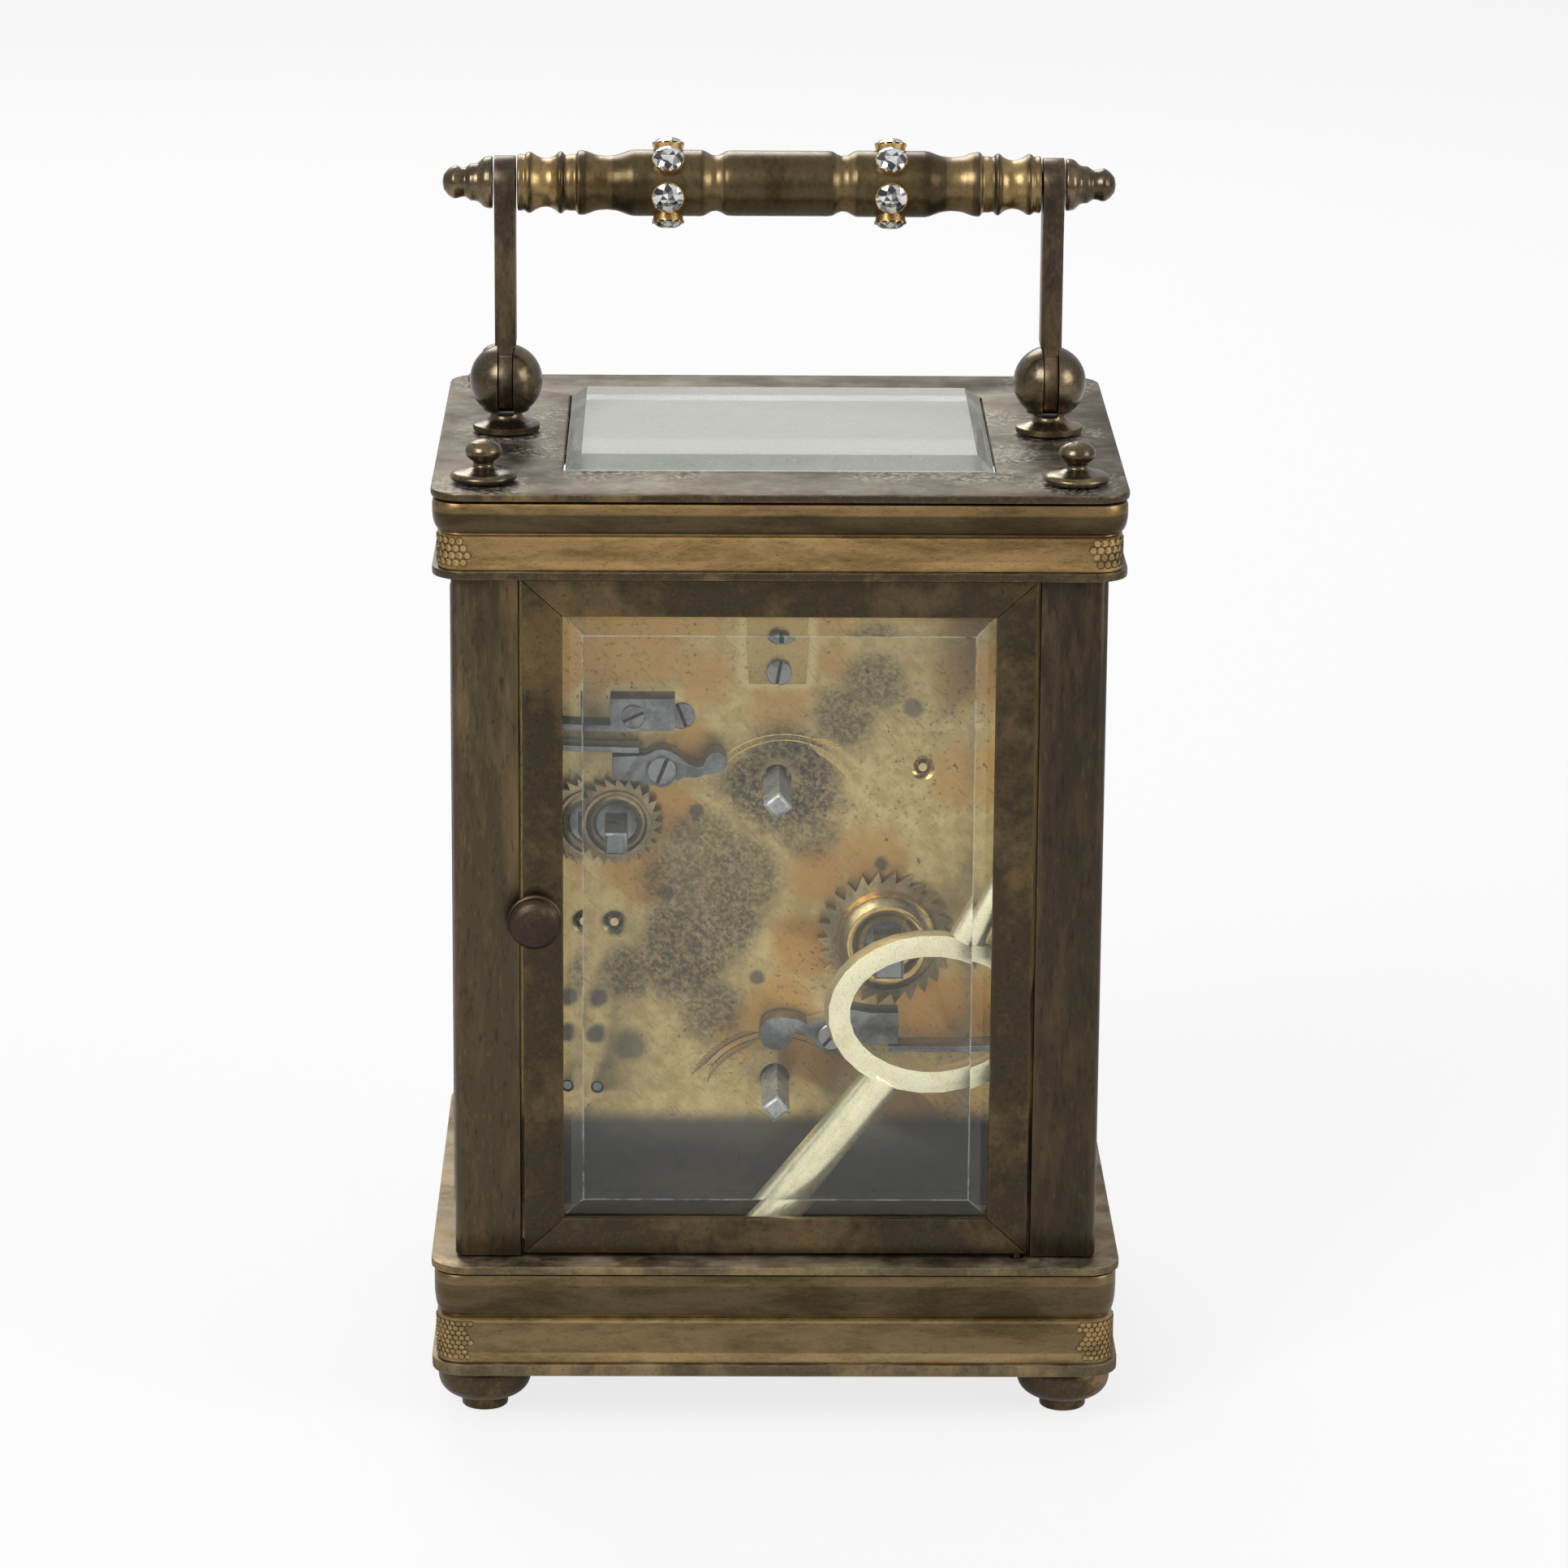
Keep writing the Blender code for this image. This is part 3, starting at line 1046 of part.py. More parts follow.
GOING_BARREL_ARBOR_RADIUS = 2.2 * mm
ALARM_BARREL_ARBOR_RADIUS = 1.8 * mm
SET_ARBOR_RADIUS = 1.1 * mm
BARREL_HOLE = GOING_BARREL_ARBOR_RADIUS + TURN_GAP
ALARM_HOLE = ALARM_BARREL_ARBOR_RADIUS + TURN_GAP
SLOT_LOW, SLOT_HIGH = 103.5 * mm, 104.9 * mm
back_holes = [
    circle(BARREL_HOLE, GOING_ARBOR),
    circle(ALARM_HOLE, ALARM_ARBOR),
    circle(SET_HOLE_RADIUS, CENTRE_ARBOR),
    circle(SET_HOLE_RADIUS, ALARM_SET_ARBOR),
    pivot_hole(THIRD_ARBOR),
    pivot_hole(ALARM_WHEEL_ARBOR),
    pivot_hole(HAMMER_ARBOR),
    [(13.4 * mm, SLOT_LOW), (21.9 * mm, SLOT_LOW), (21.9 * mm, SLOT_HIGH), (13.4 * mm, SLOT_HIGH)],
]
back_plate = solid(
    flat(
        "back_plate", [plate_outline(PLATE_HALF_X, PLATE_LOW, PLATE_TOP)] + back_holes,
        PLATE_THICKNESS, gilt_brass, (0, BACK_PLATE_Y - PLATE_THICKNESS / 2, 0),
    )
)
BLIND_DEPTH = PLATE_THICKNESS * 0.7
SINK_RADIUS, SINK_DEPTH = 1.7 * mm, 0.7 * mm
for number, (x, z) in enumerate((INTERMEDIATE_ARBOR, CONTRATE_ARBOR)):
    blind = rod(
        f"blind_hole_{number}", (x, BACK_PLATE_INNER - mm, z), (x, BACK_PLATE_INNER + BLIND_DEPTH, z),
        PIVOT_RADIUS + TURN_GAP, None, 10,
    )
    boolean(back_plate, blind, "DIFFERENCE")
for number, (x, z) in enumerate((THIRD_ARBOR, ALARM_WHEEL_ARBOR)):
    sink = rod(
        f"oil_sink_{number}", (x, BACK_PLATE_Y - SINK_DEPTH, z), (x, BACK_PLATE_Y + SINK_DEPTH, z),
        SINK_RADIUS * 0.5, None, 16, SINK_RADIUS * 1.5,
    )
    boolean(back_plate, sink, "DIFFERENCE")

# Screwed to the back plate for good: a tapered cock at the top, a steel stop block with its tail
COCK_THICKNESS = 1.0 * mm
cock_points = [(-3.8 * mm, 96.7 * mm), (3.8 * mm, 96.7 * mm), (4.6 * mm, 108.3 * mm), (-4.6 * mm, 108.3 * mm)]
cock = solid(
    flat("top_cock", [cock_points], COCK_THICKNESS * 2, None, (0, BACK_PLATE_Y, 0))
)
boolean(back_plate, cock, "UNION")
STOP_LOW, STOP_HIGH = 91.0 * mm, 95.4 * mm
stop_points = [
    (13.6 * mm, STOP_LOW), (30.5 * mm, STOP_LOW), (30.5 * mm, STOP_LOW + CLICK_SPRING_WIDTH),
    (22.15 * mm, STOP_LOW + CLICK_SPRING_WIDTH), (22.15 * mm, STOP_HIGH), (13.6 * mm, STOP_HIGH),
]
stop_depth = STEELWORK_DEPTH + 1.0 * mm
stop = solid(
    flat("alarm_stop", [stop_points], stop_depth, None, (0, BACK_PLATE_Y - 0.5 * mm + stop_depth / 2, 0))
)
boolean(back_plate, stop, "UNION")

# Clicks: each turns on a stud of the back plate, its beak riding on the ratchet's tips
ALARM_CLICK_STUD = (15.3 * mm, 85.6 * mm)
GOING_CLICK_STUD = (-7.5 * mm, 48.7 * mm)
STUD_LENGTH = STEELWORK_DEPTH + SEAT_GAP + 0.1 * mm
for number, (x, z) in enumerate((ALARM_CLICK_STUD, GOING_CLICK_STUD)):
    stud = rod(
        f"click_stud_{number}", (x, BACK_PLATE_Y - 1 * mm, z), (x, BACK_PLATE_Y + STUD_LENGTH, z),
        CLICK_STUD_RADIUS, None,
    )
    boolean(back_plate, stud, "UNION")


def steel_outline(name, stud, points, hole=True):
    """A piece of the winding steelwork, drawn about its stud."""
    outlines = [[((x * mm) - stud[0], (z * mm) - stud[1]) for x, z in points]]
    if hole:
        outlines.append(circle(CLICK_STUD_RADIUS + TURN_GAP, (0, 0), 12))
    return flat(
        name, outlines, STEELWORK_DEPTH, grey_steel, (stud[0], STEEL_Y + STEELWORK_DEPTH / 2, stud[1])
    )


def arc(centre, radius, start, end, steps=6):
    """Points along an arc, angles in degrees, sizes in millimetres."""
    return [
        (
            centre[0] + radius * math.cos(math.radians(start + (end - start) * i / steps)),
            centre[1] + radius * math.sin(math.radians(start + (end - start) * i / steps)),
        )
        for i in range(steps + 1)
    ]


alarm_click_points = (
    [(21.9, 87.4), (21.9, 84.3), (18.5, 84.1), (17.3, 83.6)]
    + arc((15.3, 85.6), 2.4, 300, 225, 3)
    + [(12.4, 84.6), (10.6, 84.6), (9.6, 85.0)]
    + [(8.4, 85.1), (7.3, 85.3), (6.6, 86.3), (6.8, 87.4), (7.7, 88.1), (8.8, 88.0), (9.5, 87.1), (9.8, 86.2)]
    + [(10.6, 86.0), (11.9, 86.5), (13.2, 87.6)]
    + arc((15.3, 85.7), 2.75, 125, 70, 3)
    + [(17.5, 87.6)]
)
going_click_points = (
    [(-10.1, 52.4), (-12.8, 51.9), (-16.5, 51.9), (-16.5, 47.5), (-10.2, 47.5), (-9.2, 47.1)]
    + arc((-7.5, 48.7), 2.35, 240, 300, 3)
    + [(-4.3, 48.4), (-2.9, 49.4), (-2.2, 48.6), (-2.0, 47.7), (-1.1, 46.8), (0.2, 46.6), (1.5, 47.1)]
    + [(2.2, 48.3), (2.0, 50.0), (0.8, 51.0), (-0.8, 51.3), (-2.9, 51.0), (-4.3, 50.3), (-5.3, 50.7)]
    + arc((-7.5, 48.7), 2.5, 60, 110, 3)
)
steel_outline("alarm_click", ALARM_CLICK_STUD, alarm_click_points)
steel_outline("going_click", GOING_CLICK_STUD, going_click_points)

# Click springs: long blades with a foot screwed near the plate's edge
spring_t = CLICK_SPRING_WIDTH / mm
alarm_spring_points = [
    (18.3, 87.9), (26.3, 88.1), (28.1, 88.1), (28.1, 85.7), (31.6, 85.7), (31.6, 89.7),
    (28.1, 89.7), (26.3, 88.1 + spring_t), (18.3, 87.9 + spring_t),
]
going_spring_points = [
    (-15.2, 47.2), (-25.2, 47.2), (-28.2, 47.4), (-28.2, 49.2), (-32.0, 49.2), (-32.0, 45.0),
    (-28.2, 45.0), (-25.2, 47.2 - spring_t), (-15.2, 47.2 - spring_t),
]
# each blade bends about its foot, so the foot is its origin
steel_outline("alarm_click_spring", (29.8 * mm, 87.7 * mm), alarm_spring_points, False)
steel_outline("going_click_spring", (-30.0 * mm, 47.1 * mm), going_spring_points, False)

# Front plate with the four movement pillars riveted into it
pillar_spots = [
    (side * MOVEMENT_PILLAR_X, z) for side in (-1, 1) for z in (MOVEMENT_PILLAR_LOW, MOVEMENT_PILLAR_HIGH)
]
DIAL_FEET = [(side * 26.0 * mm, z) for side in (-1, 1) for z in (34.0 * mm, 108.0 * mm)]
front_holes = [
    circle(SET_HOLE_RADIUS, CENTRE_ARBOR),
    circle(SET_HOLE_RADIUS, ALARM_SET_ARBOR),
    circle(BARREL_HOLE, GOING_ARBOR),
    circle(ALARM_HOLE, ALARM_ARBOR),
] + [
    pivot_hole(place)
    for place in (
        THIRD_ARBOR, INTERMEDIATE_ARBOR, CONTRATE_ARBOR, ALARM_WHEEL_ARBOR, HAMMER_ARBOR, MINUTE_WHEEL_ARBOR,
    )
]
front_plate = solid(
    flat(
        "front_plate", [plate_outline(PLATE_HALF_X, PLATE_LOW, PLATE_TOP)] + front_holes,
        PLATE_THICKNESS, gilt_brass, (0, FRONT_PLATE_Y + PLATE_THICKNESS / 2, 0),
    )
)
for number, (x, z) in enumerate(pillar_spots):
    start = FRONT_PLATE_Y + PLATE_THICKNESS / 2
    post = arbor(
        f"movement_pillar_{number}",
        [
            (start, MOVEMENT_PILLAR_RADIUS), (0.0, MOVEMENT_PILLAR_RADIUS * 0.8),
            (BACK_PLATE_INNER - SEAT_GAP, MOVEMENT_PILLAR_RADIUS),
        ],
        None, (x, z), 10,
    )
    boolean(front_plate, post, "UNION")

# Dial on four feet, with holes for the hands
PIPE_RADIUS = 1.9 * mm
dial_outline = plate_outline(DIAL_HALF_X, PILLAR_LOW + 0.6 * mm, PILLAR_TOP - 0.6 * mm)
dial = solid(
    flat(
        "dial",
        [
            dial_outline,
            circle(PIPE_RADIUS + TURN_GAP, CENTRE_ARBOR),
            circle(SET_ARBOR_RADIUS + TURN_GAP, ALARM_SET_ARBOR),
        ],
        DIAL_THICKNESS, white_enamel, (0, DIAL_Y, 0),
    )
)
for number, (x, z) in enumerate(DIAL_FEET):
    post = rod(
        f"dial_foot_{number}", (x, DIAL_Y, z), (x, FRONT_PLATE_Y - SEAT_GAP, z), DIAL_FOOT_RADIUS, None, 10
    )
    boolean(dial, post, "UNION")


def squared_tip(name, half_side, start, tip, place):
    """The square end of an arbor, where the key fits."""
    x, z = place
    return block(name, (x - half_side, start, z - half_side), (x + half_side, tip, z + half_side), None)


# Hand-setting arbor: cannon pinion at the front, set square at the back
cannon, minute_drive = mesh_pair(CENTRE_ARBOR, MINUTE_WHEEL_ARBOR, CANNON_TEETH, MINUTE_TEETH)
minute_pinion, hour_gear = mesh_pair(MINUTE_WHEEL_ARBOR, CENTRE_ARBOR, MINUTE_LEAVES, HOUR_TEETH)
CANNON_LENGTH = 1.6 * mm
CANNON_Y = FRONT_PLATE_Y - SEAT_GAP - CANNON_LENGTH / 2
HOUR_WHEEL_Y = CANNON_Y - CANNON_LENGTH - SEAT_GAP
set_arbor = arbor(
    "hand_set_arbor",
    [(MINUTE_HAND_Y - 0.9 * mm, 0.8 * mm), (MINUTE_HAND_Y + 0.5 * mm, 0.8 * mm),
     (MINUTE_HAND_Y + 0.5 * mm, SET_ARBOR_RADIUS), (BACK_PLATE_Y + 0.3 * mm, SET_ARBOR_RADIUS)],
    grey_steel, CENTRE_ARBOR,
)
set_tip = squared_tip("set_square", SET_SQUARE / 2, BACK_PLATE_Y - 0.5 * mm, WINDING_SQUARE_TIP, CENTRE_ARBOR)
boolean(set_arbor, set_tip, "UNION")
pinion = solid(
    flat(
        "cannon_pinion", [toothed(CANNON_TEETH, *cannon)], CANNON_LENGTH, None,
        (CENTRE_ARBOR[0], CANNON_Y, CENTRE_ARBOR[1]),
    )
)
boolean(set_arbor, pinion, "UNION")

# Minute wheel between cannon pinion and hour wheel
minute_wheel = solid(
    flat(
        "minute_wheel", [toothed(MINUTE_TEETH, *minute_drive)], WHEEL_THICKNESS, gilt_brass,
        (MINUTE_WHEEL_ARBOR[0], CANNON_Y, MINUTE_WHEEL_ARBOR[1]),
    )
)
minute_leaves = solid(
    flat(
        "minute_leaves", [toothed(MINUTE_LEAVES, *minute_pinion)], CANNON_Y - HOUR_WHEEL_Y + 0.4 * mm, None,
        (MINUTE_WHEEL_ARBOR[0], (CANNON_Y + HOUR_WHEEL_Y) / 2 - 0.4 * mm, MINUTE_WHEEL_ARBOR[1]),
    )
)
boolean(minute_wheel, minute_leaves, "UNION")
minute_post = arbor(
    "minute_post",
    [(HOUR_WHEEL_Y - 0.2 * mm, PIVOT_RADIUS), (FRONT_PLATE_INNER - 0.4 * mm, PIVOT_RADIUS)],
    None, MINUTE_WHEEL_ARBOR, 8,
)
boolean(minute_wheel, minute_post, "UNION")


def hand_outline(length, hub, width, disc):
    """A hand with a round hub, a slim stem, a moon disc and a point."""
    neck = length * 0.62
    points = [(hub * math.cos(math.radians(a)), hub * math.sin(math.radians(a))) for a in range(110, 431, 32)]
    points.append((width / 2, neck - disc))
    for angle in (-60, -25, 10, 45):
        spot = math.radians(angle)
        points.append((disc * math.cos(spot), neck + disc * math.sin(spot)))
    points += [(width * 0.45, neck + disc * 1.1), (0.1 * mm, length)]
    points += [(-0.1 * mm, length), (-width * 0.45, neck + disc * 1.1)]
    for angle in (135, 170, 205, 240):
        spot = math.radians(angle)
        points.append((disc * math.cos(spot), neck + disc * math.sin(spot)))
    points.append((-width / 2, neck - disc))
    return points


def turned_outline(points, angle):
    """An outline turned about its own centre, clockwise as seen from the dial side."""
    cos_a, sin_a = math.cos(angle), math.sin(angle)
    return [(x * cos_a + y * sin_a, -x * sin_a + y * cos_a) for x, y in points]


HOUR_HAND_ANGLE = math.radians(305)
MINUTE_HAND_ANGLE = math.radians(60)
ALARM_HAND_ANGLE = math.radians(205)
# seen from the front, +X is on the right
hour_hand = solid(
    flat(
        "hour_hand",
        [turned_outline(hand_outline(HOUR_HAND_LENGTH, 2.6 * mm, 1.3 * mm, 1.5 * mm), HOUR_HAND_ANGLE)],
        HAND_THICKNESS, blued_steel, (CENTRE_ARBOR[0], HOUR_HAND_Y, CENTRE_ARBOR[1]),
    )
)
hour_wheel = solid(
    flat(
        "hour_wheel", [toothed(HOUR_TEETH, *hour_gear)], WHEEL_THICKNESS, None,
        (CENTRE_ARBOR[0], HOUR_WHEEL_Y, CENTRE_ARBOR[1]),
    )
)
pipe = arbor(
    "hour_pipe",
    [
        (HOUR_HAND_Y - HAND_THICKNESS / 2 - 0.15 * mm, PIPE_RADIUS),
        (HOUR_WHEEL_Y + WHEEL_THICKNESS / 2 - 0.1 * mm, PIPE_RADIUS),
    ],
    None, CENTRE_ARBOR, 16,
)
boolean(hour_hand, pipe, "UNION")
boolean(hour_hand, hour_wheel, "UNION")
bore = rod(
    "hour_bore",
    (CENTRE_ARBOR[0], MINUTE_HAND_Y, CENTRE_ARBOR[1]), (CENTRE_ARBOR[0], FRONT_PLATE_Y, CENTRE_ARBOR[1]),
    SET_ARBOR_RADIUS + TURN_GAP, None,
)
boolean(hour_hand, bore, "DIFFERENCE")
flat(
    "minute_hand",
    [
        turned_outline(hand_outline(MINUTE_HAND_LENGTH, 2.0 * mm, 1.1 * mm, 1.5 * mm), MINUTE_HAND_ANGLE),
        circle(0.8 * mm + SEAT_GAP, (0, 0), 12),
    ],
    HAND_THICKNESS, blued_steel, (CENTRE_ARBOR[0], MINUTE_HAND_Y, CENTRE_ARBOR[1]),
)
alarm_set = arbor(
    "alarm_set_arbor",
    [(HOUR_HAND_Y - 0.9 * mm, 0.8 * mm), (HOUR_HAND_Y + 0.5 * mm, 0.8 * mm),
     (HOUR_HAND_Y + 0.5 * mm, SET_ARBOR_RADIUS), (BACK_PLATE_Y + 0.3 * mm, SET_ARBOR_RADIUS)],
    grey_steel, ALARM_SET_ARBOR,
)
alarm_tip = squared_tip(
    "alarm_set_square", SET_SQUARE / 2, BACK_PLATE_Y - 0.5 * mm, WINDING_SQUARE_TIP, ALARM_SET_ARBOR
)
boolean(alarm_set, alarm_tip, "UNION")
flat(
    "alarm_hand",
    [
        turned_outline(hand_outline(ALARM_HAND_LENGTH, 1.7 * mm, 0.8 * mm, 0.9 * mm), ALARM_HAND_ANGLE),
        circle(0.8 * mm + SEAT_GAP, (0, 0), 12),
    ],
    HAND_THICKNESS, blued_steel, (ALARM_SET_ARBOR[0], HOUR_HAND_Y, ALARM_SET_ARBOR[1]),
)


# Wheels between the plates
def drum(name, place, gear, teeth, rear, length, rim, arbor_hole):
    """A spring barrel: drum with a toothed rim at its rear, free on its arbor."""
    toothed_rim = solid(
        flat(
            name, [toothed(teeth, *gear), circle(arbor_hole, (0, 0), 16)], rim, gilt_brass,
            (place[0], rear + rim / 2, place[1]),
        )
    )
    radius = gear[0] - 1.3 * mm
    profile = [
        (radius - 0.6 * mm, -(rear - length)),
        (radius, -(rear - length) - 0.6 * mm),
        (radius, -(rear + rim / 2)),
        (arbor_hole, -(rear + rim / 2)),
        (arbor_hole, -(rear - length)),
    ]
    case = turned(name + "_case", profile, None, (place[0], 0, place[1]), "y", 24, True)
    return boolean(toothed_rim, case, "UNION")


barrel_gear, intermediate_pinion = mesh_pair(
    GOING_ARBOR, INTERMEDIATE_ARBOR, BARREL_TEETH, INTERMEDIATE_LEAVES
)
intermediate_gear, centre_pinion = mesh_pair(
    INTERMEDIATE_ARBOR, CENTRE_ARBOR, INTERMEDIATE_TEETH, CENTRE_LEAVES
)
centre_gear, third_pinion = mesh_pair(CENTRE_ARBOR, THIRD_ARBOR, CENTRE_TEETH, THIRD_LEAVES)
third_gear, contrate_pinion = mesh_pair(THIRD_ARBOR, CONTRATE_ARBOR, THIRD_TEETH, CONTRATE_LEAVES)
alarm_gear, alarm_pinion = mesh_pair(ALARM_ARBOR, ALARM_WHEEL_ARBOR, ALARM_BARREL_TEETH, ALARM_LEAVES)
drum(
    "going_barrel", GOING_ARBOR, barrel_gear, BARREL_TEETH, BARREL_REAR, BARREL_LENGTH, BARREL_RIM,
    BARREL_HOLE,
)
drum(
    "alarm_barrel", ALARM_ARBOR, alarm_gear, ALARM_BARREL_TEETH, ALARM_BARREL_REAR, ALARM_BARREL_LENGTH,
    ALARM_BARREL_RIM, ALARM_HOLE,
)


def train_wheel(name, place, teeth, gear, wheel_y, leaves, pinion, pinion_span, stations, spokes):
    """A spoked wheel, its pinion and its arbor as one piece."""
    module = 2 * gear[0] / teeth
    window_outer = gear[0] - TOOTH_BELOW * module - 1.3 * mm
    outlines = [toothed(teeth, *gear)] + spoke_windows(spokes, 3.2 * mm, window_outer, gear[1])
    wheel = solid(flat(name, outlines, WHEEL_THICKNESS, gilt_brass, (place[0], wheel_y, place[1])))
    leaf = solid(
        flat(
            name + "_leaves", [toothed(leaves, *pinion)], pinion_span[1] - pinion_span[0], None,
            (place[0], (pinion_span[0] + pinion_span[1]) / 2, place[1]),
        )
    )
    boolean(wheel, arbor(name + "_arbor", stations, None, place, 10), "UNION")
    return boolean(wheel, leaf, "UNION")


PIVOT_END = FRONT_PLATE_Y + 0.3 * mm
FRONT_SHOULDER = FRONT_PLATE_INNER + SEAT_GAP
BACK_SHOULDER = BACK_PLATE_INNER - SEAT_GAP
BLIND_END = BACK_PLATE_INNER + BLIND_DEPTH - SEAT_GAP
THROUGH_END = BACK_PLATE_Y - 0.3 * mm


def between_plates(back_end):
    """Arbor stations with a pivot in each plate."""
    return [
        (PIVOT_END, PIVOT_RADIUS), (FRONT_SHOULDER, PIVOT_RADIUS), (FRONT_SHOULDER, ARBOR_RADIUS),
        (BACK_SHOULDER, ARBOR_RADIUS), (BACK_SHOULDER, PIVOT_RADIUS), (back_end, PIVOT_RADIUS),
    ]


train_wheel(
    "intermediate_wheel", INTERMEDIATE_ARBOR, INTERMEDIATE_TEETH, intermediate_gear, INTERMEDIATE_WHEEL_Y,
    INTERMEDIATE_LEAVES, intermediate_pinion, (BARREL_REAR - 0.3 * mm, BARREL_REAR + BARREL_RIM + 0.3 * mm),
    between_plates(BLIND_END), 4,
)
train_wheel(
    "third_wheel", THIRD_ARBOR, THIRD_TEETH, third_gear, THIRD_WHEEL_Y,
    THIRD_LEAVES, third_pinion, (CENTRE_WHEEL_Y - 1.0 * mm, CENTRE_WHEEL_Y + 1.0 * mm),
    between_plates(THROUGH_END), 4,
)

# Centre wheel: a sleeve free on the hand-setting arbor
centre_wheel = solid(
    flat(
        "centre_wheel",
        [toothed(CENTRE_TEETH, *centre_gear)]
        + spoke_windows(4, 3.4 * mm, centre_gear[0] - 2.2 * mm, centre_gear[1]),
        WHEEL_THICKNESS, gilt_brass, (CENTRE_ARBOR[0], CENTRE_WHEEL_Y, CENTRE_ARBOR[1]),
    )
)
centre_leaves = solid(
    flat(
        "centre_leaves", [toothed(CENTRE_LEAVES, *centre_pinion)], 2.6 * mm, None,
        (CENTRE_ARBOR[0], INTERMEDIATE_WHEEL_Y + 0.6 * mm, CENTRE_ARBOR[1]),
    )
)
boolean(centre_wheel, centre_leaves, "UNION")
sleeve_bore = rod(
    "sleeve_bore",
    (CENTRE_ARBOR[0], FRONT_PLATE_INNER, CENTRE_ARBOR[1]), (CENTRE_ARBOR[0], BACK_PLATE_Y, CENTRE_ARBOR[1]),
    SET_ARBOR_RADIUS + TURN_GAP, None,
)
boolean(centre_wheel, sleeve_bore, "DIFFERENCE")

# Contrate wheel: teeth stand out from its rim and turn the upright escape pinion
ESCAPE_X, ESCAPE_Y = CONTRATE_ARBOR[0], (FRONT_PLATE_Y + BACK_PLATE_Y) / 2
crown_pitch = 2 * math.pi * CONTRATE_RADIUS / CONTRATE_TEETH
crown_module = crown_pitch / math.pi
escape_pitch_radius = crown_pitch * ESCAPE_LEAVES / (2 * math.pi)
crown_pitch_y = ESCAPE_Y + escape_pitch_radius
crown_root_y = crown_pitch_y + TOOTH_BELOW * crown_module
crown_tip_y = crown_pitch_y - TOOTH_ABOVE * crown_module
CROWN_DISC = 0.9 * mm
crown_rim = CONTRATE_RADIUS + CONTRATE_FACE / 2
contrate = solid(
    flat(
        "contrate_wheel",
        [circle(crown_rim, (0, 0), 32)]
        + spoke_windows(3, 2.4 * mm, CONTRATE_RADIUS - CONTRATE_FACE / 2 - 0.4 * mm),
        CROWN_DISC, gilt_brass,
        (CONTRATE_ARBOR[0], crown_root_y + CROWN_DISC / 2, CONTRATE_ARBOR[1]),
    )
)


def crown_teeth():
    """A ring of wedge teeth standing on the contrate wheel's rim."""
    work = bmesh.new()
    base = TOOTH_SHARE * crown_pitch * 0.58
    tip = TOOTH_SHARE * crown_pitch * TOOTH_TIP_SHARE / 2
    sunk = crown_root_y + 0.3 * mm
    for tooth in range(CONTRATE_TEETH):
        turn = Matrix.Rotation(2 * math.pi * tooth / CONTRATE_TEETH, 4, "Y")
        made = bmesh.ops.create_cube(work, size=1.0)["verts"]
        for corner in made:
            wide = tip if corner.co.y < 0 else base
            y = crown_tip_y if corner.co.y < 0 else sunk
            radial = CONTRATE_RADIUS + math.copysign(CONTRATE_FACE / 2 - 0.15 * mm, corner.co.z)
            corner.co = turn @ Vector((math.copysign(wide, corner.co.x), y, radial))
    bmesh.ops.recalc_face_normals(work, faces=work.faces)
    mesh = bpy.data.meshes.new("crown_teeth")
    work.to_mesh(mesh)
    work.free()
    return add("crown_teeth", mesh, None, (CONTRATE_ARBOR[0], 0, CONTRATE_ARBOR[1]))


boolean(contrate, crown_teeth(), "UNION")
contrate_arbor = arbor("contrate_arbor", between_plates(BLIND_END), None, CONTRATE_ARBOR, 10)
boolean(contrate, contrate_arbor, "UNION")
contrate_leaves = solid(
    flat(
        "contrate_leaves", [toothed(CONTRATE_LEAVES, *contrate_pinion)], 2.4 * mm, None,
        (CONTRATE_ARBOR[0], THIRD_WHEEL_Y, CONTRATE_ARBOR[1]),
    )
)
boolean(contrate, contrate_leaves, "UNION")

# Platform across the plates' tops, with its cocks and the potence under the escape pinion
escape_phase = math.pi / 2 + math.pi / ESCAPE_LEAVES
pinion_middle = CONTRATE_ARBOR[1] + CONTRATE_RADIUS
pinion_low, pinion_high = pinion_middle - 0.9 * mm, pinion_middle + 0.9 * mm
ESCAPE_WHEEL_Z = PLATFORM_TOP + 1.1 * mm
ESCAPE_COCK_LOW = ESCAPE_WHEEL_Z + 0.8 * mm
ESCAPE_COCK_HIGH = ESCAPE_COCK_LOW + 0.7 * mm
BALANCE_Z = ESCAPE_COCK_HIGH + 0.9 * mm
BALANCE_THICKNESS = 0.8 * mm
BALANCE_COCK_LOW = BALANCE_Z + 1.6 * mm
BALANCE_COCK_HIGH = BALANCE_COCK_LOW + 1.0 * mm
BALANCE_X = ESCAPE_X + ESCAPE_RADIUS + STAFF_RADIUS + TURN_GAP
COCK_FOOT_X = BALANCE_X + BALANCE_RADIUS + 2.6 * mm
platform_points = [
    (PLATFORM_LOW_X, FRONT_PLATE_Y), (PLATFORM_HIGH_X, FRONT_PLATE_Y),
    (PLATFORM_HIGH_X, BACK_PLATE_Y), (PLATFORM_LOW_X, BACK_PLATE_Y),
]
platform = solid(
    flat(
        "platform",
        [
            platform_points,
            circle(ARBOR_RADIUS + TURN_GAP, (ESCAPE_X, ESCAPE_Y), 12),
            circle(STAFF_RADIUS + TURN_GAP, (BALANCE_X, ESCAPE_Y), 12),
        ],
        PLATFORM_THICKNESS, gilt_brass, (0, 0, PLATFORM_LOW + PLATFORM_THICKNESS / 2), "z",
    )
)


